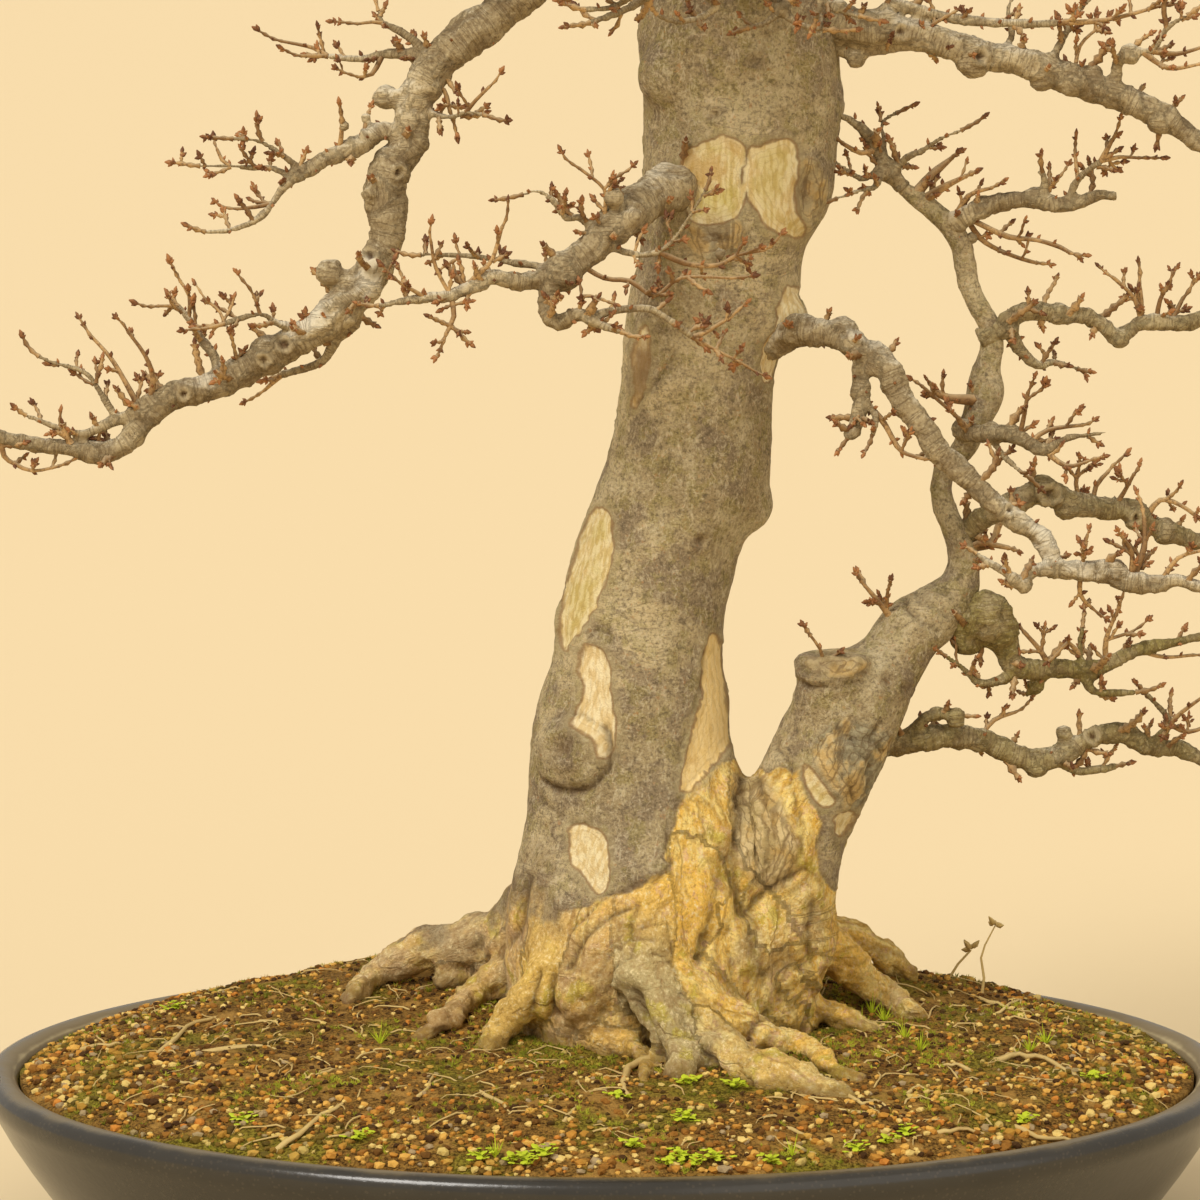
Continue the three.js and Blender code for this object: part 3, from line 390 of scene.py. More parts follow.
def fused_skin(mesh, grain):
    """One closed skin round overlapping bodies, of small squares of that size in millimetres."""
    def fuse(holder):
        remesh = holder.modifiers.new("fuse", "REMESH")
        remesh.mode = "VOXEL"
        remesh.voxel_size = grain * MM

    return mesh_with_modifiers(mesh, fuse)


def set_attribute(mesh, name, values):
    """Keeps one number or one vector for each corner under a name."""
    values = np.asarray(values, dtype=np.float32)
    kind, part = ("FLOAT", "value") if values.ndim == 1 else ("FLOAT_VECTOR", "vector")
    mesh.attributes.new(name, kind, "POINT").data.foreach_set(part, values.ravel())


def tubes(name, routes, sides_level):
    """Closed round tubes: each route is a list of (place, radius) in millimetres."""
    curve = bpy.data.curves.new(name, "CURVE")
    curve.dimensions = "3D"
    curve.bevel_depth = MM
    curve.bevel_resolution = sides_level
    curve.use_fill_caps = True
    for route in routes:
        spline = curve.splines.new("POLY")
        spline.points.add(len(route) - 1)
        for knot, (point, radius) in zip(spline.points, route):
            knot.co = (point[0] * MM, point[1] * MM, point[2] * MM, 1)
            knot.radius = radius
    mesh = mesh_with_modifiers(curve)
    mesh.name = name
    mesh.materials.clear()
    return mesh


def scattered(name, shapes, placements):
    """One mesh with a copy of a small shape for each (shape number, matrix, tone)."""
    whole = bmesh.new()
    batch = bmesh.new()
    for shape in shapes:
        shape.attributes.new("tone", "FLOAT", "POINT")
    for count, (number, matrix, tone) in enumerate(placements, 1):
        copy = shapes[number].copy()
        copy.transform(matrix)
        copy.attributes["tone"].data.foreach_set("value", [tone] * len(copy.vertices))
        batch.from_mesh(copy, face_normals=False, vertex_normals=False)
        bpy.data.meshes.remove(copy)
        if count % BATCH == 0 or count == len(placements):
            part = mesh_of(batch, "batch")
            whole.from_mesh(part, face_normals=False, vertex_normals=False)
            bpy.data.meshes.remove(part)
            batch = bmesh.new()
    return mesh_of(whole, name)


def joined(name, meshes):
    """One mesh of several, which keeps each one's own material slot."""
    bm = bmesh.new()
    materials = []
    for mesh in meshes:
        before = len(bm.faces)
        bm.from_mesh(mesh)
        bm.faces.ensure_lookup_table()
        for face in bm.faces[before:]:
            face.material_index = len(materials)
        materials.append(mesh.materials[0])
    whole = mesh_of(bm, name)
    for material in materials:
        whole.materials.append(material)
    return whole


def smooth_shaded(mesh):
    mesh.polygons.foreach_set("use_smooth", [True] * len(mesh.polygons))
    return mesh


# %% [markdown]
# Pot
#
# A low oval stoneware pot, dark brown, with a rounded lip. On the real pot the wall keeps the same
# thickness all round, which a scaled circle would not give. So the profile is spun as a circle first,
# and each ring is then pulled in by the same amount front and back. The lip carries a value of its own
# from the inner to the outer edge, which the material uses for the pale lime line left by water.

# %% Pot shape
RIM_HALF_LENGTH = 314
RIM_HALF_WIDTH = 245
FLOOR_TOP = 19
DRAIN_RADIUS = 15
DRAIN_OFFSET = 110
POT_OUTSIDE = [
    (314, 10), (70, 10), (56, 10.4), (50, 12), (44, 15), (33, 29), (21, 46), (12, 60), (6, 71), (2.5, 77),
    (0.8, 80), (0, 83), (0, 86), (0.8, 89), (2.6, 91), (5, 92),
]
POT_LIP = [(8.5, 92), (12, 91.2), (14.8, 89.8), (16.6, 87.6), (17.4, 85)]
LIP_VALUES = [0.05, 0.15, 0.3, 0.5, 0.65, 0.8, 1, 0.7, 0.3]
POT_INSIDE = [(17.6, 80), (26, 56), (46, 25), (58, FLOOR_TOP), (314, FLOOR_TOP)]


def narrowed(radius, across, back):
    """Moves a place of a circle onto the oval whose rings keep their distance to the rim."""
    narrowing = min(RIM_HALF_LENGTH - RIM_HALF_WIDTH, radius * 0.25)
    share = (radius - narrowing) / radius if radius > 0 else 1
    return across, back * share


def spun_oval(profile, steps, values=None):
    """Oval body of a profile of (distance inside the rim, height), with a value on each ring."""
    bm = bmesh.new()
    layer = bm.verts.layers.float.new("ring")
    previous = None
    for number, (inset, height) in enumerate(profile):
        corner = bm.verts.new(((RIM_HALF_LENGTH - inset) * MM, 0, height * MM))
        corner[layer] = values[number] if values else 0
        if previous:
            bm.edges.new((previous, corner))
        previous = corner
    bmesh.ops.spin(bm, geom=bm.verts[:] + bm.edges[:], cent=(0, 0, 0), axis=(0, 0, 1),
        angle=2 * math.pi, steps=steps, use_merge=True)
    bmesh.ops.remove_doubles(bm, verts=bm.verts, dist=1e-6)
    for corner in bm.verts:
        radius = math.hypot(corner.co.x, corner.co.y) / MM
        corner.co.x, corner.co.y = narrowed(radius, corner.co.x, corner.co.y)
    bmesh.ops.recalc_face_normals(bm, faces=bm.faces)
    return bm


def add_feet(bm):
    """Four short feet, drawn in towards the ground, with rounded edges."""
    for across in (-1, 1):
        for back in (-1, 1):
            turn = Matrix.Rotation(-across * back * 0.42, 4, "Z")
            stretch = Matrix.Diagonal((1.9, 0.8, 1, 1))
            place = Matrix.Translation((across * 0.168, back * 0.122, 0.007))
            foot = bmesh.ops.create_cone(bm, cap_ends=True, segments=40, radius1=0.017, radius2=0.022,
                depth=0.014, matrix=place @ turn @ stretch)
            low = {v for v in foot["verts"] if v.co.z < 0.001}
            rim = [e for e in bm.edges if low.issuperset(e.verts)]
            bmesh.ops.bevel(bm, geom=rim, offset=0.0015, segments=3, profile=0.5, affect="EDGES",
                material=-1)


def make_pot_mesh():
    profile = POT_OUTSIDE + POT_LIP + POT_INSIDE
    lip = [0] * (len(POT_OUTSIDE) - 4) + LIP_VALUES + [0] * len(POT_INSIDE)
    bm = spun_oval(profile, 180, lip)
    add_feet(bm)
    mesh = mesh_of(bm, "oval pot")
    drills = bmesh.new()
    for side in (-1, 1):
        place = Matrix.Translation((side * DRAIN_OFFSET * MM, 0, FLOOR_TOP * MM))
        bmesh.ops.create_cone(drills, cap_ends=True, segments=40, radius1=DRAIN_RADIUS * MM,
            radius2=DRAIN_RADIUS * MM, depth=0.04, matrix=place)
    drill_mesh = mesh_of(drills, "drills")
    drill = bpy.data.objects.new("drills", drill_mesh)
    bpy.context.scene.collection.objects.link(drill)

    def drill_holes(holder):
        cut = holder.modifiers.new("drain holes", "BOOLEAN")
        cut.operation = "DIFFERENCE"
        cut.solver = "EXACT"
        cut.object = drill

    mesh = mesh_with_modifiers(mesh, drill_holes)
    bpy.data.objects.remove(drill)
    return smooth_shaded(mesh)


# %% [markdown]
# Stoneware
#
# The clay is nearly black where it is smooth and browner on top, where water and dust have dulled it.
# A pale line of lime runs along the inner edge of the lip. It is rubbed and patchy, so the lip's own
# value is broken up with noise before it becomes a colour.

# %% Stoneware material
def make_stoneware():
    made, tree = new_material("dark stoneware", 0.3, 0.5)
    wear = weathered(tree, 22)
    worn = plus(tree, attribute(tree, "ring"), times(tree, wear["Clouds"], 0.7))
    clay = mixed(tree, wear["Clouds"], srgb(37, 35, 31), srgb(61, 57, 50))
    limed = layered(tree, clay, [
        ("dust", worn, 0.62, 1.1, 1.0, (122, 106, 74)),
        ("lime", worn, 1.2, 1.45, 1.0, (178, 162, 122)),
    ])
    specks = times(tree, wear["Specks"], times(tree, wear["Clouds"], 0.12))
    specked = mixed(tree, specks, limed, srgb(150, 132, 104))
    rough = stepped(tree, worn, 0.7, 1.3, 0.2, 0.65)
    return finish_material(made, specked, wear["Grain"], 0.0004, 0.35, rough)


pot_mesh = make_pot_mesh()
pot_mesh.materials.append(make_stoneware())
place_piece(pot_mesh, "pot", "pot")

# %% [markdown]
# Ground
#
# Bonsai soil is sieved grit. It is heaped up a little behind the trunk and washed down to the rim.
# The body below is plain earth, and the grit, moss and rootlets lie on it as pieces of their own.

# %% Ground shape
SOIL_EDGE_HEIGHT = RIM_HEIGHT - 3.5
MOUND_HEIGHT = 22
BACK_HUMP_HEIGHT = 16
MOUND_HALF_LENGTH = 296
MOUND_HALF_WIDTH = 227
SOIL_GAP = 0.3


def soil_height(x, y):
    reach = min(1, math.hypot(x / MOUND_HALF_LENGTH, y / MOUND_HALF_WIDTH))
    hump = BACK_HUMP_HEIGHT * math.exp(-((x / 260) ** 2) - ((y - 110) / 90) ** 2)
    return SOIL_EDGE_HEIGHT + (MOUND_HEIGHT + hump) * (1 - reach**5)


def soil_relief(x, y):
    coarse = math.sin(x * 0.071 + 1.3) * math.sin(y * 0.083 + 0.4) + math.sin(x * 0.041 - y * 0.057)
    return 0.9 * coarse + 1.6 * noise.noise(Vector((x * 0.05, y * 0.05, 0)))


def resting(across, up, lift):
    """The first place along a line of sight that lies on the ground, raised by a lift."""
    depth = -MOUND_HALF_WIDTH
    point, scale = seen(across, up, depth)
    while point.z > soil_height(point.x, point.y) + lift and depth < MOUND_HALF_WIDTH:
        depth += 0.5
        point, scale = seen(across, up, depth)
    return point, scale


def make_ground_mesh():
    bottom = FLOOR_TOP + SOIL_GAP
    wall = [(314, bottom), (58.5, bottom), (46.5, 25.5), (26.5, 56.5), (18.1, 82), (17.8, 86)]
    top = [(18 + 296 * number / 56, RIM_HEIGHT) for number in range(57)]
    bm = spun_oval(wall + top, 180)
    for corner in bm.verts:
        if corner.co.z / MM > 87:
            x, y = corner.co.x / MM, corner.co.y / MM
            corner.co.z = (soil_height(x, y) + soil_relief(x, y)) * MM
    return smooth_shaded(mesh_of(bm, "earth"))


def make_earth():
    made, tree = new_material("damp earth", 0.95, 0.1)
    broad, finer = weathered(tree, 18), weathered(tree, 70)
    brown = blended(tree, finer["Grain"], 0.36, 0.64, (78, 54, 24), (172, 130, 62))
    crumbs = layered(tree, brown, [("crumbs", finer["Clouds"], 0.5, 0.62, 0.7, (200, 154, 80))])
    mossy = blended(tree, finer["Grain"], 0.38, 0.6, (84, 76, 20), (158, 148, 50))
    colour = mixed(tree, stepped(tree, broad["Clouds"], 0.5, 0.6, 0, 0.8), crumbs, mossy)
    return finish_material(made, colour, finer["Height"], 0.0025, 1.0)


ground_mesh = make_ground_mesh()
ground_mesh.materials.append(make_earth())
place_piece(ground_mesh, "soil", "soil")

# %% [markdown]
# Grit
#
# The grit is crushed stone and baked clay, two to four millimetres across, in brown, ochre, cream and
# orange. Three angular stones are shaped from small balls and copied thousands of times. Each copy has
# a tone of its own, which picks its colour. More of them lie towards the front rim, where rain has
# washed the soil clean.

# %% Stones
GRAIN_COUNT = 7800
TRUNK_X, TRUNK_Y = 34, -4


def make_stone(seed):
    chance = random.Random(seed)
    bm = bmesh.new()
    bmesh.ops.create_icosphere(bm, subdivisions=1, radius=MM)
    for corner in bm.verts:
        corner.co *= chance.uniform(0.72, 1.18)
        corner.co.z *= 0.7
    return mesh_of(bm, "stone")


def on_ground(chance, edge):
    """A random place on the ground, kept an edge away from the rim, in millimetres."""
    while True:
        x = chance.uniform(-RIM_HALF_LENGTH, RIM_HALF_LENGTH)
        y = chance.uniform(-RIM_HALF_WIDTH, RIM_HALF_WIDTH)
        under_trunk = math.hypot((x - TRUNK_X) / 78, (y - TRUNK_Y) / 48) < 1
        if math.hypot(x / (RIM_HALF_LENGTH - edge), y / (RIM_HALF_WIDTH - edge)) < 1 and not under_trunk:
            return x, y, soil_height(x, y) + soil_relief(x, y)


def rinsing(x, y):
    """How clean rain has washed the grit, from 0 by the trunk to 1 along the front rim."""
    outward = math.hypot(x / RIM_HALF_LENGTH, y / RIM_HALF_WIDTH)
    return max(0, min(1, (outward - 0.55) / 0.4)) * (1 if y < 0 else 0.5)


def grain_placements():
    chance = random.Random(11)
    placements = []
    while len(placements) < GRAIN_COUNT:
        x, y, z = on_ground(chance, 21)
        rinsed = rinsing(x, y)
        if chance.random() > 0.42 + 0.58 * rinsed:
            continue
        size = chance.uniform(0.9, 1.6) + chance.random() ** 2 * (0.6 + 1.5 * rinsed)
        turn = Matrix.Rotation(chance.uniform(0, FULL_TURN), 4, "Z")
        turn = turn @ Matrix.Rotation(chance.uniform(-0.6, 0.6), 4, "X")
        place = Matrix.Translation((x * MM, y * MM, (z + 0.25 * size) * MM))
        tone = min(0.99, chance.random() ** (1.6 - 1.1 * rinsed))
        placements.append((chance.randrange(3), place @ turn @ Matrix.Scale(size, 4), tone))
    return placements


def make_grit():
    made, tree = new_material("grit", 0.85, 0.2)
    ramp = add_node(tree, "ValToRGB", {"Fac": attribute(tree, "tone")})
    ramp.color_ramp.interpolation = "CONSTANT"
    shades = [(0, (84, 59, 28)), (0.18, (120, 86, 38)), (0.34, (164, 120, 54)), (0.5, (202, 154, 72)),
        (0.66, (226, 186, 102)), (0.8, (232, 209, 140)), (0.92, (212, 150, 70)), (0.96, (182, 164, 130))]
    for number, (start, shade) in enumerate(shades):
        stop = ramp.color_ramp.elements[number] if number < 2 else ramp.color_ramp.elements.new(start)
        stop.position = start
        stop.color = srgb(*shade)
    wear = weathered(tree, 90)
    colour = mixed(tree, wear["Grain"], ramp.outputs["Color"], srgb(120, 96, 60), "SOFT_LIGHT")
    damp = stepped(tree, weathered(tree, 18)["Clouds"], 0.5, 0.62, 0, 0.4)
    mossy = mixed(tree, damp, colour, srgb(128, 118, 40))
    return finish_material(made, mossy, wear["Grain"], 0.0004, 0.5)


grit_mesh = scattered("grit", [make_stone(seed) for seed in (1, 2, 3)], grain_placements())
grit_mesh.materials.append(make_grit())
place_piece(grit_mesh, "soil")

# %% [markdown]
# Moss and weeds
#
# Moss grows as many tiny sprigs that stand close together in damp places: by the roots and along the
# rim. Between them stand a few weed seedlings with round leaves and some tufts of grass.

# %% Green shapes
SPRIG_COUNT = 4600
WEEDS = [
    (43, -242.5), (67, -244), (43, -260.5), (16, -274), (41, -279.5), (86, -282), (143.5, -272),
    (-44, -281), (-212, -206), (212, -262), (-120, -270), (-178, -262), (246, -240), (8, -250), (-60, -280),
    (-36, -282.5), (-28, -278), (34, -283), (48, -283), (58, -280), (128, -276), (152, -268),
]
GRASS = [
    (136, -207), (152.5, -220), (222.5, -222.5), (131, -216), (-110, -222), (160, -226), (142, -211),
    (215, -226), (96, -279), (-52, -279),
]


def blade(bm, length, width, lean, turn):
    """Three-sided pointed blade that leans outwards, in millimetres."""
    matrix = Matrix.Rotation(turn, 4, "Z") @ Matrix.Rotation(lean, 4, "Y") @ Matrix.Translation(
        (0, 0, 0.5 * length * MM))
    bmesh.ops.create_cone(bm, segments=3, radius1=width * MM, radius2=0, depth=length * MM, matrix=matrix)


def make_sprig(seed):
    chance = random.Random(seed)
    bm = bmesh.new()
    for number in range(6):
        blade(bm, chance.uniform(1.8, 3.6), 0.45, chance.uniform(0.2, 1.1), number * 1.05 + chance.random())
    return mesh_of(bm, "sprig")


def make_grass(seed):
    chance = random.Random(seed)
    bm = bmesh.new()
    for number in range(14):
        blade(bm, chance.uniform(6, 14), 0.5, chance.uniform(0.05, 0.8), number * 2.4)
    return mesh_of(bm, "grass")


def make_weed(seed):
    """Seedling with a few round leaves on short stalks."""
    chance = random.Random(seed)
    bm = bmesh.new()
    for number in range(14):
        turn = number * 2.4
        reach, rise = chance.uniform(1, 9), chance.uniform(1.5, 5.5)
        place = Matrix.Rotation(turn, 4, "Z") @ Matrix.Translation((reach * MM, 0, rise * MM))
        size = chance.uniform(1.7, 3)
        leaf = place @ Matrix.Rotation(chance.uniform(-0.5, 0.3), 4, "Y") @ Matrix.Diagonal(
            (size, 0.8 * size, 0.4, 1))
        bmesh.ops.create_icosphere(bm, subdivisions=1, radius=MM, matrix=leaf)
        blade(bm, math.hypot(reach, rise), 0.28, math.atan2(reach, rise), turn)
    return mesh_of(bm, "weed")


def dampness(x, y):
    """How much moss a place on the ground carries, from 0 to 1."""
    cloud = 0.5 + 0.9 * noise.noise(Vector((x * 0.022, y * 0.03, 3.1)))
    by_trunk = math.exp(-(max(0, math.hypot((x - TRUNK_X) / 1.3, y) - 60) / 42) ** 2)
    return max(0, min(1, 0.75 * cloud + 0.5 * by_trunk - 0.12))


def green_placements():
    chance = random.Random(23)
    placements = []
    while len(placements) < SPRIG_COUNT:
        x, y, z = on_ground(chance, 20)
        if chance.random() < dampness(x, y) ** 2:
            size = chance.uniform(0.7, 1.15)
            turn = Matrix.Rotation(chance.uniform(0, FULL_TURN), 4, "Z") @ Matrix.Scale(size, 4)
            place = Matrix.Translation((x * MM, y * MM, (z - 0.3) * MM))
            placements.append((chance.randrange(3), place @ turn, chance.uniform(0, 0.55)))
    for number, spots in ((3, GRASS), (4, WEEDS)):
        for across, up in spots:
            point, _scale = resting(across, up, -0.5)
            turn = Matrix.Rotation(chance.uniform(0, FULL_TURN), 4, "Z")
            placements.append((number, Matrix.Translation(point * MM) @ turn, chance.uniform(0.75, 1)))
    return placements


def make_green():
    made, tree = new_material("moss and weeds", 0.7, 0.2)
    tone = attribute(tree, "tone")
    clouds = weathered(tree, 40)["Clouds"]
    moss = blended(tree, clouds, 0.36, 0.62, (106, 106, 24), (180, 182, 54))
    return finish_material(made, layered(tree, moss, [
        ("fresh leaves", tone, 0.6, 0.8, 1.0, (190, 204, 48)),
        ("dry moss", tone, 0.26, 0.0, 1.0, (168, 130, 58)),
    ]))


green_shapes = [make_sprig(5), make_sprig(6), make_sprig(7), make_grass(8), make_weed(9)]
green_mesh = scattered("moss and weeds", green_shapes, green_placements())
green_mesh.materials.append(make_green())
place_piece(green_mesh, "soil")

# %% [markdown]
# Rootlets and straws
#
# Thin rootlets have been washed free and lie on the grit, pale and crooked, and one dry stalk with a
# seed head stands by the roots. They are round tubes along routes read off in the front view.

# %% Rootlets
LOOSE_ROOTLETS = 360
ROOTLETS = [
    (1.5, [(197, -230.5), (209.5, -227), (222.5, -229), (237.5, -237.5), (248.5, -249)]),
    (1.3, [(215, -239), (231.5, -241.5), (240.5, -248), (250, -253)]),
    (1.2, [(167.5, -267), (179, -264.5), (192, -267)]),
    (1.3, [(207.5, -263.5), (218.5, -268.5), (232, -269), (245, -272)]),
    (1.6, [(-199.5, -227), (-172.5, -223.5), (-157, -225)]),
    (1.4, [(-223.5, -229), (-207, -213.5), (-190.5, -208.5)]),
    (1.3, [(-261.5, -225.5), (-250.5, -222.5), (-237.5, -222)]),
    (1.5, [(-162.5, -276), (-144.5, -262), (-126.5, -250.5)]),
    (2.3, [(33, -227), (22, -230.5), (13.5, -234), (12, -243), (14.5, -251)]),
    (1.0, [(189.5, -199), (203, -204), (220, -204)]), (0.9, [(196, -208), (210, -200), (215, -212)]),
    (1.2, [(137, -265), (147, -268), (156, -271)]), (1.3, [(89, -271), (100, -274), (111, -279)]),
    (1.0, [(92, -264), (103, -268), (111, -274)]), (1.1, [(117.5, -255), (138, -257), (159, -260)]),
    (1.0, [(-228, -243), (-214, -240), (-200, -243)]), (1.1, [(-60, -246), (-48, -252), (-40, -262)]),
    (1.1, [(-148, -241), (-139, -236.5), (-131, -235)]), (1.0, [(62, -262), (68, -270), (74, -271)]),
    (1.1, [(120, -246), (131, -252), (137, -250), (148, -256)]),
    (1.0, [(-92, -250), (-86, -244), (-83, -236)]), (1.0, [(-20, -262), (-14, -256), (-10, -248)]),
    (1.1, [(186, -236), (178, -232), (170, -233)]), (1.0, [(152, -248), (160, -243), (170, -246)]),
]
STRAWS = [
    (1.1, [(191, -197, 1), (192, -189, 8), (190.5, -179, 16), (192.5, -172.5, 22), (197.5, -163, 28)]),
    (0.8, [(174, -190, 1), (179, -182, 8), (185.5, -175, 14)]),
]


def wavering(places, chance, jitter):
    """A route with extra places between, moved a little off its line."""
    finer = [places[0]]
    for before, after in zip(places, places[1:]):
        for share in (0.33, 0.66):
            finer.append(tuple(a + (b - a) * share + chance.uniform(-jitter, jitter)
                for a, b in zip(before, after)))
        finer.append(after)
    return finer


def rootlet_routes():
    chance = random.Random(31)
    routes = []
    for radius, places in ROOTLETS:
        route = wavering(places, chance, 0.9)
        thick = [1.2 * radius * (1 - 0.55 * number / len(route)) for number in range(len(route))]
        lifts = [-1.5 if number in (0, len(route) - 1) else 0.7 * r for number, r in enumerate(thick)]
        routes.append([(resting(*place, lift)[0], r) for place, lift, r in zip(route, lifts, thick)])
    for _ in range(LOOSE_ROOTLETS):
        x, y, _z = on_ground(chance, 36)
        heading, length = chance.uniform(0, FULL_TURN), chance.uniform(7, 28)
        thick = chance.uniform(0.3, 0.7)
        route = []
        for number in range(6):
            z = soil_height(x, y) + soil_relief(x, y) + (-0.8 if number in (0, 5) else 1.1)
            route.append((Vector((x, y, z)), thick * (1 - 0.1 * number)))
            heading += chance.uniform(-0.45, 0.45)
            x += math.cos(heading) * length / 5
            y += math.sin(heading) * length / 5
        routes.append(route)
    for radius, places in STRAWS:
        base_depth = resting(*places[0][:2], 0)[0].y
        stalk = [(seen(across, up, base_depth + 0.1 * rise)[0], radius * (1 - 0.02 * rise))
            for across, up, rise in places]
        routes.append(stalk)
        routes += seed_head(chance, stalk[-1][0])
    return routes


def seed_head(chance, top):
    """A few dry husks round the end of a stalk."""
    husks = []
    for _ in range(7):
        away = Vector((chance.uniform(-1, 1), chance.uniform(-1, 1), chance.uniform(-0.4, 1.2)))
        middle = top + away * 1.2
        husks.append([(middle, 0.8), (middle + away * 1.6, 1.5), (middle + away * 3.8, 0.3)])
    return husks


def make_straw():
    made, tree = new_material("dry rootlets", 0.8, 0.2)
    wear = weathered(tree, 40)
    colour = mixed(tree, wear["Clouds"], srgb(168, 134, 76), srgb(230, 206, 138))
    return finish_material(made, colour, wear["Grain"], 0.0003, 0.5)


rootlet_mesh = smooth_shaded(tubes("rootlets", rootlet_routes(), 0))
rootlet_mesh.materials.append(make_straw())
place_piece(rootlet_mesh, "soil")

# %% [markdown]
# Trunk
#
# The trunk is one very old stem that flares into surface roots. On the right a second stem leaves it
# near the ground, and next to it stands the flat stub of a branch that was sawn off. The wide old part
# is not round, so it is given as an outline with a depth for each height. Stem, stub and roots are
# round and follow routes. Burls are flattened balls.

# %% Trunk measures
TRUNK_OUTLINE = [
    (-262, -30, 78, 0, 50), (-228, -43, 90, 0, 61), (-190, -46, 92, -2, 62), (-155, -46, 94, -2, 58),
    (-125, -39, 84, -1, 55), (-100, -35, 79, 0, 51), (-75, -34, 67, 0, 46), (-50, -30.5, 65, 1, 44),
    (-25, -22.5, 61, 1, 41), (0, -19.5, 63.5, 2, 39), (30, -12, 72, 3, 39), (50, -5, 83, 3, 39),
    (80, 5, 85, 3, 37), (115, 10, 87, 3, 36), (150, 13, 99, 3, 38), (175, 20, 102, 3, 40),
    (200, 21.5, 116, 3, 43), (250, 22.5, 121, 4, 43), (285, 20, 120, 5, 44), (315, 27, 116, 6, 41),
    (345, 32, 106, 8, 36), (378, 31, 96, 9, 30), (412, 28, 84, 10, 26), (446, 26, 70, 11, 20),
    (478, 30, 58, 12, 13), (505, 36, 52, 12, 8),
]
SECOND_STEM = [
    (86, -245, -4, 18), (86, -215, -8, 22), (87, -190, -10, 24), (91, -167, -11, 28), (91, -150, -12, 27),
    (93, -135, -12, 27), (98, -110, -11, 28), (108, -88, -10, 28.5), (117, -70, -8, 28), (129, -50, -6, 26),
    (145, -31, -3, 18.5), (156, -15, -1, 17), (168, -6, 1, 15.5), (178, 3, 3, 12.5), (181.5, 14, 4, 9),
    (181, 25, 5, 8), (176.5, 36, 6, 7), (170.5, 52, 8, 6.3), (172, 65.5, 9, 6.3), (181.5, 75, 10, 6.8),
    (189, 92, 10, 8.5), (193, 104, 10, 10.2), (192.5, 113, 10, 8.6), (195.5, 124, 10, 6.6),
    (195.5, 136, 10, 6.4), (189.5, 147, 9, 6.4), (184, 159.5, 9, 6.2), (181, 177, 9, 6.6),
    (172, 190, 8, 6.4), (157, 202, 8, 5.4), (148, 209, 8, 4.4),
]
CUT_STUB = [
    (112, -78, -10, 21), (115, -55, -14, 20), (117, -42, -16, 18.6), (117, -36, -17, 19.6),
    (117, -30, -17, 19.4), (117, -26.5, -17, 18),
]
SPURS = [
    [(112, -32, -26, 1.3), (110, -24.5, -31, 1), (105, -17.5, -34, 0.7)],
    [(145, -8, -8, 2), (139, -0.5, -12, 1.4), (130.5, 9.5, -14, 0.9)],
    [(143, -5, -8, 1.4), (143.5, 1, -13, 1), (144, 5.5, -16, 0.7)],
    [(190, 100, 6, 3), (174, 101, 0, 2.4), (166, 106, -3, 1.5)],
    [(178, 22, 6, 3), (189.5, 28.5, 2, 2), (197, 27.5, 0, 1.8), (204.5, 26, -2, 1.2)],
    [(180, 26, 8, 3), (195.5, 28.5, 20, 2.2), (200.5, 40, 25, 1.8), (212, 50, 30, 1.1)],
    [(158, 203, 8, 3.2), (166.5, 213, 13, 2.2), (176.5, 221.5, 18, 1.1)],
    [(162, 200, 8, 3), (172, 206.5, 2, 2), (183, 212, -2, 1.1)],
]
BURLS = [
    (-12, -76, -6, 22, 0.9), (-6, -98, -4, 17, 0.9), (-12, -10, -4, 12, 1), (73, 47, 0, 14, 1),
    (60, 187, -33, 14, 0.6), (82, 189, -32, 8.5, 0.7), (100, 250, 0, 23, 1), (36, 262, -14, 18, 1),
    (26, -140, -46, 20, 0.6), (44, 108, -26, 15, 0.6), (-62, -164, 56, 9, 0.9), (-72, -177, 64, 7, 0.9),
    (-44, -166, 42, 15, 0.9), (-60, -176, 52, 10, 0.9), (-88, -169, 60, 7.5, 0.9),
    (-104, -183, 62, 6.5, 0.9), (-55, -181, 82, 7, 0.9), (-116, -187, 60, 5, 0.9), (88, 140, -10, 17, 0.9),
]
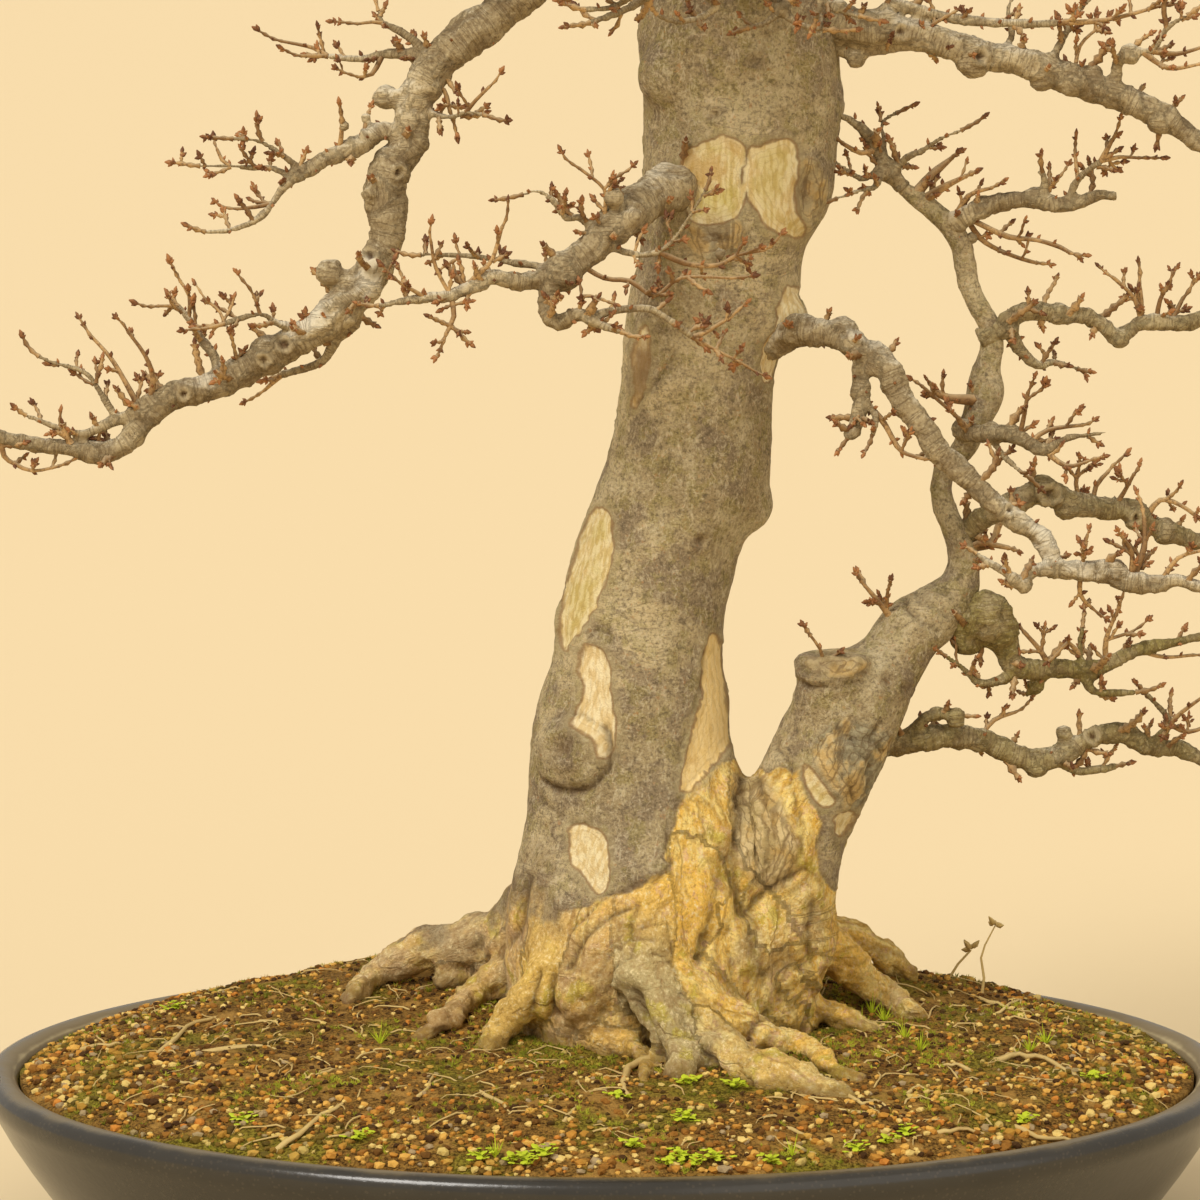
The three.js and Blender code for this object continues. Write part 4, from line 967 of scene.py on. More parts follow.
ROOTS = [
    ([(0, -130, 22, 24), (-32, -155, 40, 17), (-56, -170, 52, 12), (-86, -175, 58, 9),
        (-100, -180, 60, 8.5), (-114, -189, 58, 7.2)], [(-122, -197, 2, 6), (-127, -203, -4, 4.5)]),
    ([(-5, -150, 30, 22), (-34, -172, 40, 15)], [(-58, -184, 5, 9), (-72, -189, 4, 7),
        (-82, -193, 1, 5.5)]),
    ([(0, -150, 10, 20), (-34, -178, 26, 14), (-52, -191, 30, 10), (-64, -199, 27, 8.4)],
        [(-74, -207, 4, 7), (-85, -216, 1, 5), (-93, -222, -4, 3.4)]),
    ([(8, -130, -26, 25), (-13, -166, -40, 17), (-27, -190, -46, 11.5), (-40, -202, -48, 9)],
        [(-49, -214.5, 6, 8.2), (-55, -223, 2, 6.8), (-60, -231, -5, 4.5)]),
    ([(14, -140, -38, 25), (3, -172, -52, 17), (-8, -198, -60, 10.5)], [(-9, -213, 6, 8),
        (2, -222, 4, 6.2), (17, -224, 3, 5), (24, -232, 0, 4.4), (22, -241, 0, 3.6), (24, -247, -5, 3)]),
    ([(23, -145, -46, 18), (22, -178, -64, 13), (26, -197.5, -74, 11.5), (34, -214, -84, 10.5)],
        [(39, -227, 5, 10), (41, -236, 2, 9), (43, -243, -4, 7)]),
    ([(32, -145, -42, 20), (32, -180, -58, 13), (42, -195, -65, 11), (57.5, -205, -66, 10),
        (72.5, -214, -63, 9)], [(85, -220.5, 6, 8.4), (97, -222.5, 4, 7), (106, -226, 3, 6),
        (116, -233.5, 2, 5), (124, -238.5, 0, 4), (131, -243, -5, 3)]),
    ([(44, -198, -62, 12), (51, -215, -74, 11.5)], [(66, -229, 6, 12), (84, -237, 3, 12.5),
        (100, -243, 0, 11), (115, -249, -2, 9), (126, -254, -7, 7)]),
    ([(80, -155, -15, 20), (90, -186, -15, 11.5), (103, -201, -12, 8)], [(119, -208.5, 4, 6.6),
        (132, -214, 2, 5.6), (143, -219, -5, 4)]),
    ([(90, -148, 2, 22), (107, -168, 11, 14), (118.5, -177, 18, 10.5), (129, -186, 24, 9),
        (143, -197, 30, 7.5)], [(155, -206, 2, 6.5), (163, -212, -5, 4.2)]),
    ([(80, -145, 24, 20), (106, -163, 46, 11), (132, -171, 62, 7.6), (143, -178, 70, 7),
        (150, -185, 77, 6.5), (157.5, -193, 84, 5.6), (165, -202, 90, 4)], []),
]
FAR_ROOTS = [(52, 165, 13), (78, 142, 15), (103, 158, 14), (128, 140, 12), (150, 128, 10)]
ROOT_TONES = [0.3, 0.2, -0.3, -1, -0.2, 1, 0.15, 0.45, 0.1, 0.2, 0.2, 0.3, 0.5, 0.2, 0.4, 0.3]
print("trunk outline rows:", len(TRUNK_OUTLINE), "surface roots:", len(ROOTS) + len(FAR_ROOTS))

# %% [markdown]
# Routes
#
# Routes were measured at places a few centimetres apart. A curve that passes smoothly through those
# places gives the wood its natural flow, in thickness as well as in direction.

# %% Routes
def between(a, b, c, d, share):
    """Value between b and c on the smooth curve that passes through a, b, c and d."""
    slope_b, slope_c = (c - a) / 2, (d - b) / 2
    far = c - b
    square, cube = 3 * far - 2 * slope_b - slope_c, slope_b + slope_c - 2 * far
    return b + share * (slope_b + share * (square + share * cube))


def flowing(route, gap):
    """The route of (place, radius) with smooth places between, about a gap in millimetres apart."""
    ends = [route[0]] + list(route) + [route[-1]]
    made = []
    for a, b, c, d in zip(ends, ends[1:], ends[2:], ends[3:]):
        steps = max(1, round((c[0] - b[0]).length / gap))
        for number in range(steps):
            share = number / steps
            made.append((between(a[0], b[0], c[0], d[0], share),
                max(0.3, between(a[1], b[1], c[1], d[1], share))))
    made.append(route[-1])
    return made


def measured(rows):
    """Route of rows (across, up, depth, radius) of the front view."""
    places = [seen(*row[:3]) for row in rows]
    return [(point, row[3] * scale) for (point, scale), row in zip(places, rows)]


def root_route(clear, lying):
    rest = [resting(across, up, lift) for across, up, lift, _radius in lying]
    return measured(clear) + [(point, row[3] * scale) for (point, scale), row in zip(rest, lying)]


def far_root_route(degrees, reach, radius):
    """A root behind the trunk, which sinks into the soil as it runs out."""
    route = []
    for share, lift in zip((0.1, 0.33, 0.52, 0.68, 0.84, 1), (62, 26, 7, 3, 2, -5)):
        turn = math.radians(degrees) + 0.16 * math.sin(5 * share + degrees)
        x, y = 24 + math.cos(turn) * reach * share, math.sin(turn) * reach * share
        route.append((Vector((x, y, soil_height(x, y) + lift)), radius * (1.5 - 1.15 * share)))
    return route


def uneven(route, chance, amount):
    """The route with its thickness and line a little uneven, as grown wood is."""
    phase = chance.uniform(0, 50)
    made = []
    for number, (point, radius) in enumerate(route):
        swell = noise.noise(Vector((number * 0.35 + phase, 0.3, radius * 0.1)))
        drift = noise.noise_vector(Vector((number * 0.22 + phase, 1.7, 0)))
        made.append((point + drift * (0.25 * amount * radius), radius * (1 + amount * swell)))
    return made


# %% [markdown]
# Rough trunk
#
# All the parts overlap. Remeshing them as one volume fuses them, and smoothing afterwards rounds the
# creases where they meet, most where the wood is thick, so that roots grow out of the trunk.

# %% Rough trunk
AROUND = 72
TRUNK_GRAIN = 2.3
STUB_TOP = (117, -30)
SOFTENING_ROUNDS = 10
FILLING_ROUNDS = 100


def across_axis(forward, turn):
    """A direction square to forward, turned about it from straight up."""
    level = Vector((0, 0, 1)).cross(forward)
    level = level.normalized() if level.length > 0.05 else Vector((1, 0, 0))
    return level * math.sin(turn) + forward.cross(level).normalized() * -math.cos(turn)


def core_rings():
    """Smooth rows of (centre, half width, half depth) from the outline."""
    rows = []
    for up, left, right, depth, half in TRUNK_OUTLINE:
        point, scale = seen((left + right) / 2, up, depth)
        rows.append((point, (right - left) / 2 * scale, half * scale))
    widths = flowing([(point, across) for point, across, _back in rows], 7)
    depths = flowing([(point, back) for point, _across, back in rows], 7)
    return [(point, across, back) for (point, across), (_point, back) in zip(widths, depths)]


def make_core(bm):
    rings = core_rings()
    made = bmesh.ops.create_grid(bm, x_segments=AROUND, y_segments=len(rings) - 1, size=1)
    for corner in made["verts"]:
        angle = math.pi * corner.co.x
        centre, across, back = rings[round((corner.co.y + 1) / 2 * (len(rings) - 1))]
        fold = 0.01 * math.sin(3 * angle + centre.z / 55)
        fold += 0.016 * math.sin(5 * angle - centre.z / 70 + 1)
        corner.co = ((centre.x + math.cos(angle) * across * (1 + fold)) * MM,
            (centre.y + math.sin(angle) * back * (1 + fold)) * MM, centre.z * MM)
    bmesh.ops.remove_doubles(bm, verts=made["verts"], dist=1e-6)
    bmesh.ops.holes_fill(bm, edges=bm.edges, sides=AROUND)
    bmesh.ops.recalc_face_normals(bm, faces=bm.faces)


def make_burls(bm):
    for across, up, depth, radius, flattening in BURLS:
        point, scale = seen(across, up, depth)
        size = radius * scale
        matrix = Matrix.Translation(point * MM) @ Matrix.Diagonal((size, size * flattening, size, 1))
        bmesh.ops.create_icosphere(bm, subdivisions=4, radius=MM, matrix=matrix)


def nodules(chance, route, most):
    """Small swellings on wood, where old twigs were pruned off or rootlets were cut."""
    made = []
    due = 8
    for (before, radius), (after, _radius) in zip(route, route[1:]):
        due -= (after - before).length
        if due > 0 or radius < 2.4:
            continue
        due = chance.uniform(1.2, 3) * radius
        forward = (after - before).normalized()
        outward = across_axis(forward, chance.uniform(0, FULL_TURN)) + forward * chance.uniform(-0.3, 0.3)
        outward.normalize()
        size = min(5, radius * chance.uniform(0.6, 1) * most)
        middle = before + outward * radius * 0.8
        made.append([(middle + outward * (share * size), size * width)
            for share, width in ((-1, 0.7), (-0.2, 1.05), (0.45, 0.9), (0.9, 0.45))])
    return made


trunk_chance = random.Random(41)
stem_flow = uneven(flowing(measured(SECOND_STEM), 5), trunk_chance, 0.03)
root_measures = [root_route(*rows) for rows in ROOTS] + [far_root_route(*rows) for rows in FAR_ROOTS]
root_flows = [uneven(flowing(root, 5), trunk_chance, 0.24) for root in root_measures]


def make_rough_trunk():
    bm = bmesh.new()
    make_core(bm)
    make_burls(bm)
    routes = [stem_flow, flowing(measured(CUT_STUB), 5)] + root_flows
    for route in root_flows:
        routes += nodules(trunk_chance, route, 0.5)
    bm.from_mesh(tubes("trunk routes", routes, 6))
    return fused_skin(mesh_of(bm, "trunk"), TRUNK_GRAIN)


def edges_of(mesh):
    return read_out(mesh.edges, "vertices", 2, np.int32)


def averaged(values, edges):
    """Each corner's mean over the corners that it shares an edge with."""
    count = len(values)
    ends = np.concatenate([edges[:, 0], edges[:, 1]])
    others = np.concatenate([edges[:, 1], edges[:, 0]])
    shares = np.maximum(np.bincount(ends, minlength=count), 1)
    if values.ndim == 1:
        return np.bincount(ends, values[others], count) / shares
    columns = [np.bincount(ends, values[others, n], count) / shares for n in range(values.shape[1])]
    return np.stack(columns, axis=1)


def eased(points, edges, rounds, amount):
    """Smooths without much shrinking: each round moves in and then most of the way out again."""
    for _ in range(rounds):
        for step in (0.55, -0.5):
            points = points + amount * step * (averaged(points, edges) - points)
    return points


def part_way(values, start, end):
    """0 at start, 1 at end, even between them and held beyond."""
    return np.clip((values - start) / (end - start), 0, 1)


trunk_mesh = make_rough_trunk()
trunk_mesh.name = "trunk_wood"
trunk_edges = edges_of(trunk_mesh)
rough = coordinates(trunk_mesh)
rough_across, rough_up = across_and_up(rough)
stub_distance = np.hypot(rough_across - STUB_TOP[0], rough_up - STUB_TOP[1])
thick_wood = (part_way(rough[:, 2], 130, 180) * part_way(stub_distance, 16, 30))[:, None]
calm = eased(rough, trunk_edges, 7, 0.7 + 0.3 * thick_wood)
calm = eased(calm, trunk_edges, 9, thick_wood)
for _ in range(SOFTENING_ROUNDS):
    calm = calm + 0.5 * thick_wood * (averaged(calm, trunk_edges) - calm)
set_coordinates(trunk_mesh, calm)
outward = normals_of(trunk_mesh)
from_axis = np.hypot(calm[:, 0] - 30, calm[:, 1] + 4)
foot = part_way(calm[:, 2], 112, 126) * part_way(calm[:, 2], 238, 212) * part_way(from_axis, 112, 88)
for _ in range(FILLING_ROUNDS):
    lift = np.clip(((averaged(calm, trunk_edges) - calm) * outward).sum(axis=1), 0, None)
    calm = calm + outward * (0.9 * foot * lift)[:, None]
set_coordinates(trunk_mesh, eased(calm, trunk_edges, 2, 0.8))
print("rough trunk corners:", len(calm))

# %% [markdown]
# Marks on the trunk
#
# Old wounds and peeled bark tell this tree's age. A patch is an area where bark has come off, a fold
# is a deep crease, a knot is a healed branch scar and a swelling is a low bulge. They are listed as
# they show from the front, in millimetres. The grey edge is the line below which the old bark has
# peeled to ochre wood.

# %% Marks
OPEN, HEALED = 30, 0.3
PATCHES = [
    (0.8, OPEN, [(40, 216), (43, 224), (51, 228.5), (61, 231.5), (68, 230), (73.5, 225), (71, 214),
        (72.5, 202.5), (72, 194), (65, 189), (56, 187), (47, 189), (41.5, 197.5)]),
    (0.55, OPEN, [(73.5, 225), (79, 227.5), (89.5, 231), (95.5, 230), (99, 224), (98.5, 214), (95.5, 204),
        (98, 193), (103.5, 184.5), (99.5, 180), (92, 181), (84.5, 184.5), (80, 193), (75.5, 197.5),
        (72, 205), (71, 214)]),
    (0.6, OPEN, [(-5.5, 44), (3, 47), (6.5, 40), (6, 18.5), (-0.5, -2), (-13.5, -21), (-18.5, -27.5),
        (-21, -15), (-19, 3), (-12.5, 18.5)]),
    (0.0, OPEN, [(-8, -22), (-2, -23), (4.5, -27), (5.5, -50.5), (8.5, -62.5), (7.5, -73), (4, -80),
        (0, -78.5), (-1.5, -68.5), (-16, -61.5), (-8, -47.5), (-12, -32)]),
    (-0.55, OPEN, [(55.5, -13.5), (61, -23), (63, -41.5), (65.5, -56.5), (66.5, -72), (58, -81),
        (44, -96.5), (37.5, -96.5), (46, -68), (51.5, -50), (51, -28)]),
    (0.1, OPEN, [(-15, -113), (-9, -111), (-2, -114), (3, -118), (4.5, -128), (6, -140), (2, -148),
        (-4, -145), (-8, -136), (-15, -130), (-14, -121)]),
    (0.85, OPEN, [(100.5, -79), (109, -87.5), (118.5, -100), (116.5, -103), (111, -104), (102.5, -95)]),
    (0.4, OPEN, [(116, -107.5), (129, -104.5), (123, -116), (119, -119)]),
    (0.1, OPEN, [(91, 152.5), (95, 158), (101, 154), (108, 142), (104, 128), (91, 119), (87.5, 112),
        (80.5, 107), (79, 118), (81.5, 127.5), (88, 134.5), (88.5, 144)]),
    (0.2, HEALED, [(24, 138), (26, 127.5), (25, 112.5), (22, 103.5), (16.5, 94), (16, 100), (18, 110),
        (17, 125), (20, 135)]),
]
FOLDS = [
    (2.4, 2.4, [(2, -64), (5.5, -72.5), (4, -85), (-4, -93.5), (-16, -96), (-28, -91)]),
    (2.4, 1.4, [(-29.5, -100), (-22, -107), (-14.5, -111.5), (-5, -111)]),
    (2.0, 1.2, [(53, -25), (48.5, -50), (40, -76), (36, -95)]),
    (4.0, 2.4, [(72, -85), (69.5, -100), (67, -115), (63.5, -130), (66.5, -145), (70, -155)]),
    (1.6, 1.3, [(39.5, -98.5), (33, -114), (31.5, -130.5), (36.5, -131), (29, -140.5), (8.5, -146),
        (1, -151), (-12.5, -164)]),
    (2.6, 2.2, [(-16, -184), (-12, -175), (-5, -167), (4, -160), (16, -154)]),
    (1.6, 1.3, [(0, -186), (6, -177), (15, -171), (27, -170)]),
    (1.4, 1.1, [(2, -178), (10, -169.5), (18, -165), (28, -163.5)]),
    (1.6, 1.2, [(10, -184), (18, -178.5), (28, -178), (36, -183)]),
    (1.2, 1.4, [(32, -163), (34, -171), (34.5, -179)]),
    (5.0, 5.5, [(16, -196), (20, -208), (25, -220), (29, -230)]),
    (3.4, 4.0, [(52, -224), (56, -231), (60, -238)]), (3.0, 3.0, [(-30, -186), (-32, -196), (-34, -205)]),
    (2.6, 2.4, [(84, -206), (78, -212), (74, -222)]),
    (4.0, 1.7, [(57.5, -140), (52.5, -165), (48.5, -180)]),
    (3.6, 1.6, [(76, -150), (72.5, -170), (79, -187.5)]),
    (3.6, 2.6, [(-35, -140), (-40, -165), (-50, -177.5)]),
    (3.2, 2.4, [(-22.5, -187.5), (-24, -195), (-20, -205)]),
    (2.6, 2.0, [(100, -134), (90, -140), (80, -147), (72.5, -157.5)]),
    (3.0, 1.6, [(106, -150), (104, -165), (106, -182)]), (1.6, 1.6, [(150, 2), (158, -9), (169, -16)]),
    (1.4, 1.3, [(154, 8), (162, -2), (174, -8)]), (1.3, 1.2, [(162, 14), (168, 5), (176, 1)]),
    (1.5, 1.6, [(111, -70), (118, -78), (121, -90), (127, -100)]),
    (1.3, 1.4, [(124, -63), (127, -75), (134, -82), (133, -94)]),
    (1.2, 1.3, [(116, -66), (126, -70), (137, -70), (144, -77)]),
    (1.6, 1.8, [(100, -40), (108, -43), (120, -43), (130, -40)]),
    (2.0, 1.4, [(87, -70), (95, -85), (98, -100), (100, -120), (96, -136)]),
    (1.6, 1.2, [(78.5, -86), (83, -100), (86, -115), (83, -131)]),
    (1.4, 1.0, [(72.5, -100), (76, -115), (75, -130)]), (2.6, 1.8, [(20, -152.5), (16, -165), (18, -179)]),
    (2.0, 1.6, [(119, -63), (125, -70), (134, -69), (140, -61)]),
    (2.0, 1.4, [(100, -34), (110, -38), (123, -38.5), (133, -35)]),
    (2.6, 1.2, [(6, -20), (0, -14), (-5, -18)]), (1.6, 1.2, [(20, 100), (30, 110), (38, 125)]),
    (1.2, 0.9, [(46.5, 184), (58, 180), (71, 182), (78, 186)]),
    (1.4, 1.2, [(73.5, 225), (71.5, 214), (73, 200), (76, 193)]),
]
DOMES = [
    (-15, -76, 18, 6.5), (83, -124, 24, 4.5), (52, -152, 15, 2.5), (78, -170, 15, 2.5), (22, -128, 14, 2),
]
SWELLINGS = [
    (-22, -200, 12, 2), (20, -165, 26, 2.6), (85, -120, 24, 2.6), (50, -152.5, 18, 2), (0, -135, 18, 1.6),
    (45, -125, 22, 2), (-30, -150, 16, 2.4), (72.5, -175, 14, 2.2), (95, -165, 16, 2.4), (15, -180, 14, 2),
    (60, -5, 20, 1.6), (27.5, 0, 22, 1.2), (50, 65, 24, 1.6), (70, 110, 18, 1.6), (30, 120, 16, 1.8),
    (60, 187.5, 12, 1.6), (125, -80, 14, 2.4), (140, -50, 14, 1.6), (110, -50, 12, 1.6),
    (10, -200, 12, 1.6), (-65, -162.5, 14, 1.8), (135, -180, 12, 1.8), (38, -195, 12, 1.6),
]
KNOTS = [
    (-15, -74, 9, 9), (57, 184, 13, 12), (103.5, 204.5, 8.5, 16), (47.5, -178.5, 2.6, 2.6),
    (81, -186, 3.4, 3.4), (143, -40.5, 5, 6.5), (152, -44, 4.5, 4.5), (145, -71, 4.5, 4.5), (0, 90, 6, 6),
    (50, 30, 5, 5), (32, 65, 4, 4), (69, 20, 3.6, 3.6), (130, -137.5, 3.4, 3.4), (-20, -165, 3.4, 3.4),
    (20, -107.5, 2.6, 2.6), (113, -187.5, 7, 7), (114.5, -32, 15, 7), (78, 270, 6, 5), (58, 243, 5, 4),
    (-8, 143, 4, 6),
]
GREY_EDGE = [
    (-200, -170), (-85, -152), (-50, -140), (-34, -140), (-24, -150), (-12.5, -154), (1, -148), (8.5, -145),
    (29, -140.5), (36.5, -131), (31.5, -130.5), (33, -114), (39.5, -98.5), (45, -90), (67.5, -76),
    (80.5, -83), (98, -87), (101, -82), (103, -95), (109, -104), (111.5, -110), (109, -120), (109, -132),
    (114, -142), (122, -147), (200, -152),
]
PLATES = [
    (0.1, [(64, -88), (74, -86), (85, -93), (95, -107.5), (99.5, -125), (96, -140), (84, -147),
        (72.5, -142), (63, -125), (65.5, -105)]),
    (1.0, [(106, -73), (112, -66), (120, -59), (132, -61), (142, -65), (148, -76), (142, -85),
        (137, -93), (131, -104), (122, -105), (117, -97), (108, -84)]),
    (0.2, [(101.5, -32.5), (107.5, -27.5), (117.5, -25.5), (129, -27.5), (134, -32), (128, -37),
        (118, -38.5), (107, -37)]),
    (0.8, [(42, 190), (50, 195), (62, 196), (71, 190), (72, 180), (64, 172), (52, 171), (43, 178)]),
    (0.5, [(95, 204), (97, 214), (102, 221), (108, 220), (112, 210), (112, 198), (107, 190), (100, 190),
        (96, 196)]),
]
print("patches:", len(PATCHES), "folds:", len(FOLDS), "knots:", len(KNOTS))

# %% [markdown]
# Grain of the wood
#
# Bark cracks and ripples along the wood, so each corner learns where it would lie if its root or stem
# were laid out straight: two numbers across it and one along it. The last one is squeezed, so that
# noise read at that place comes out as streaks that follow every bend.

# %% Wood grain
SQUEEZE = np.array([1, 1, 0.3])


def straightened(points, routes):
    """Straightened places of corners, with the number and the thickness of the route they follow."""
    knots = []
    for number, route in enumerate(routes):
        along = 0
        for (before, radius), (after, _radius) in zip(route, route[1:]):
            forward = (after - before).normalized()
            side, rise = across_axis(forward, math.pi / 2), across_axis(forward, 0)
            knots.append((before, radius, side, rise, forward, along, number))
            along += (after - before).length
    tree = kdtree.KDTree(len(knots))
    for index, knot in enumerate(knots):
        tree.insert(knot[0], index)
    tree.balance()
    laid = points.copy()
    owner = np.zeros(len(points), dtype=int)
    girth = np.full(len(points), 40.0)
    for row, point in enumerate(points):
        _place, index, distance = tree.find(point)
        middle, radius, side, rise, forward, along, number = knots[index]
        if distance < 1.5 * radius + 2:
            away = Vector(point) - middle
            laid[row] = (away.dot(side) + 60 * number, away.dot(rise), along + away.dot(forward))
            owner[row], girth[row] = number, radius
    return laid, owner, girth


# %% [markdown]
# Distances to the marks
#
# Each corner of the trunk learns how far it is from a line or from the edge of an area, in the front
# view. A signed distance stays sharp between corners, so a patch gets a crisp edge from a mesh whose
# faces are two millimetres wide.

# %% Distances
def from_line(places, across, up):
    """Distance of each corner to a line through places."""
    nearest = np.full(len(across), 1e9)
    for (x0, y0), (x1, y1) in zip(places, places[1:]):
        dx, dy = x1 - x0, y1 - y0
        share = np.clip(((across - x0) * dx + (up - y0) * dy) / (dx * dx + dy * dy), 0, 1)
        nearest = np.minimum(nearest, np.hypot(across - x0 - share * dx, up - y0 - share * dy))
    return nearest


def inside(places, across, up):
    """True for corners within the area that the places go round."""
    crossings = np.zeros(len(across), dtype=int)
    for (x0, y0), (x1, y1) in zip(places, places[1:] + places[:1]):
        spans = (y0 > up) != (y1 > up)
        meets = x0 + (up - y0) * (x1 - x0) / (y1 - y0 if y1 != y0 else 1e-9)
        crossings += spans & (across < meets)
    return crossings % 2 == 1


def cut_corners(places):
    """The closed outline with each corner cut off."""
    cut = []
    for (x0, y0), (x1, y1) in zip(places, places[1:] + places[:1]):
        cut += [(x0 + share * (x1 - x0), y0 + share * (y1 - y0)) for share in (0.25, 0.75)]
    return cut


def within(places, across, up):
    """Distance to the edge of a rounded area: above zero inside, below zero outside."""
    for _ in range(2):
        places = cut_corners(places)
    edge = from_line(places + places[:1], across, up)
    return np.where(inside(places, across, up), edge, -edge)


def bell(distance, width):
    return np.exp(-((distance / width) ** 2))


def noise_at(points, size, seed, detail=1):
    """Noise from about -1 to 1 at each point, with clumps of a size in millimetres."""
    shift = Vector((seed * 7.3, seed * 3.1, seed * 5.7))
    scaled = points / size
    if detail == 1:
        return np.array([noise.noise(Vector(p) + shift) for p in scaled])
    return np.array([noise.fractal(Vector(p) + shift, 0.6, 2.1, detail) for p in scaled])


def facing(points, normals):
    """1 where a surface faces the front view, falling to 0 where it turns away."""
    ray = points - np.array(EYE)
    ray /= np.linalg.norm(ray, axis=1)[:, None]
    return np.clip(-(normals * ray).sum(axis=1) * 2.5, 0, 1)


def knot_marks(knots, across, up, front):
    """Rings of callus round the hollows of healed scars: how far they stand out, and where."""
    push, mask = np.zeros(len(across)), np.zeros(len(across))
    for x, y, radius, height in knots:
        distance = np.hypot((across - x) / radius, (up - y) / height)
        rings = np.cos(distance * 11) * (distance < 1.15) * 0.35
        shape = 1.5 * bell(distance - 0.95, 0.28) - 1.6 * bell(distance, 0.5) + rings
        push += shape * min(1.3, 0.12 * radius + 0.3) * front
        mask = np.maximum(mask, bell(distance, 0.75) * front)
    return push, mask


# %% [markdown]
# Trunk surface
#
# Folds press in, knots make a ring round a hollow, patches lie a millimetre lower than the bark, and
# fine ripples run with the grain. The bark is rougher in the ochre zone near the ground. The same
# numbers are kept on the mesh, where the material reads them. The back has marks of its own, which
# noise scatters, since it can't be seen in the view that was measured.

# %% Trunk surface
PEELED_BEHIND = 205


def fold_marks(across, up, wobble, front):
    """How far folds, bulges and domes move the surface, and where it is creased."""
    push, crease = np.zeros(len(across)), np.zeros(len(across))
    for width, depth, places in FOLDS:
        away = from_line(places, across + wobble, up + wobble)
        groove = -0.55 * bell(away, width) - 0.5 * bell(away, 0.45 * width)
        push += depth * (groove + 0.35 * bell(away - 1.7 * width, 0.7 * width)) * front
        # crease is the bottom of each groove, which the bark material darkens with painted shade.
        crease = np.maximum(crease, bell(away, 0.5 * width) * front * min(1, depth / 2))
    for x, y, radius, height in SWELLINGS:
        push += height * bell(np.hypot(across - x, up - y), radius) * front
    for x, y, radius, height in DOMES:
        share = np.hypot(across - x, up - y) / radius
        push += height * np.sqrt(np.clip(1 - share**2, 0, 1)) * front
    return push, crease


def bare_patches(points, across, up, wobble, front):
    """Signed distance to the edge of the nearest patch, and the tone of its wood."""
    bare, tone = np.full(len(points), -30.0), np.zeros(len(points))
    jagged = 1.2 * noise_at(points, 5, 21, 2)
    for shade, most, places in PATCHES:
        distance = within(places, across + 0.5 * wobble + jagged, up + 0.5 * wobble - jagged)
        distance = np.minimum(distance, most)
        closer = (distance > bare) & (front > 0.05)
        tone[closer] = shade
        bare[closer] = distance[closer]
    return bare, tone


def shape_trunk(mesh):
    points, normals, edges = coordinates(mesh), normals_of(mesh), edges_of(mesh)
    height = points[:, 2]
    across, up = across_and_up(points)
    wobble = 1.6 * noise_at(points, 9, 1)
    front = facing(points, normals)
    behind = (0.1 - front) * 6 > 0.5
    push, crease = fold_marks(across, up, wobble, front)
    knot_push, knotted = knot_marks(KNOTS, across, up, front)
    push += knot_push
    bare, tone = bare_patches(points, across, up, wobble, front)
    bare = np.where(behind, (noise_at(points, 46, 2, 3) - 0.62) * 22, bare)
    tone = np.where(behind, 0.5 + 0.5 * noise_at(points, 80, 3), tone)
    sunk = part_way(bare, -0.6, 1)
    push += -1.0 * sunk + 0.7 * bell(bare + 1.6, 1.3)
    ragged = 3.5 * noise_at(points, 14, 14, 3)
    peeled = within(GREY_EDGE + [(200, -400), (-200, -400)], across + wobble, up + wobble + ragged)
    peeled = np.where(behind, PEELED_BEHIND + 26 * noise_at(points, 60, 4, 2) - height, peeled)
    faded = part_way(across, -8, -22)
    peeled *= 1 - 0.92 * faded
    plates = [within(places, across + 0.5 * wobble, up + 0.5 * wobble) for _shade, places in PLATES]
    plate = np.where(front > 0.05, np.max(plates, axis=0), -20)
    crust = np.array([shade for shade, _places in PLATES])[np.argmax(plates, axis=0)]
    laid, owner, _girth = straightened(points, [stem_flow] + root_flows)
    grain = laid * SQUEEZE
    low = part_way(height, 185, 135)
    wild = 1 + 1.3 * low * part_way(across, -28, -58)
    ripples = 0.8 * noise_at(grain, 5.5, 5, 3) + 1.9 * noise_at(points, 16, 6, 2)
    ripples += 1.3 * low * (noise_at(points, 8, 11, 2) + 0.5 - 2 * np.abs(noise_at(grain, 6.5, 12, 2)))
    rough = 0.7 * part_way(peeled, 0, 20) + 0.3
    push += rough * wild * ripples * (1 - 0.6 * sunk) + 0.25 * noise_at(points, 3.4, 7)
    push -= 0.7 * np.clip(1 - np.abs(peeled - 0.8), 0, 1) * (height > 118) * (1 - faded)
    push += np.where(plate > 0, -2.2 * np.abs(noise_at(grain, 6, 8, 2)) + 0.6, 0)
    fresh = points + normals * push[:, None]
    set_coordinates(mesh, fresh)
    # How far each corner lies below its smoothed surroundings: the bark material paints shade into these
    # hollows.
    calmer = fresh
    for _ in range(8):
        calmer = averaged(calmer, edges)
    cavity = np.clip(((calmer - fresh) * normals).sum(axis=1) / 1.4, 0, 1)
    ground = np.array([soil_height(x, y) for x, y in points[:, :2]])
    dirt = np.clip(1 - (height - ground - 1) / (4 + 5 * wild), 0, 1)
    root_tone = np.array([0] + ROOT_TONES)[owner] * part_way(height, 200, 150)
    marks = {"bare": bare, "tone": tone, "crease": crease, "cavity": cavity, "peeled": peeled, "plate": plate,
        "knot": knotted, "dirt": dirt, "grain": grain / 1000, "crust": crust,
        "root_tone": averaged(averaged(root_tone, edges), edges)}
    for name, values in marks.items():
        set_attribute(mesh, name, values)
    return mesh


trunk_mesh = smooth_shaded(shape_trunk(trunk_mesh))
print("trunk faces:", len(trunk_mesh.polygons))

# %% [markdown]
# Bark
#
# Three kinds of surface share the trunk. The old bark is grey with mauve and olive clouds, finely
# mottled, and creased across the trunk. The wood below it, where bark has peeled, is ochre and orange
# with cracks along the grain. Fresh wounds are cream and age to yellow-green from the middle, with
# rings where the callus closes in.

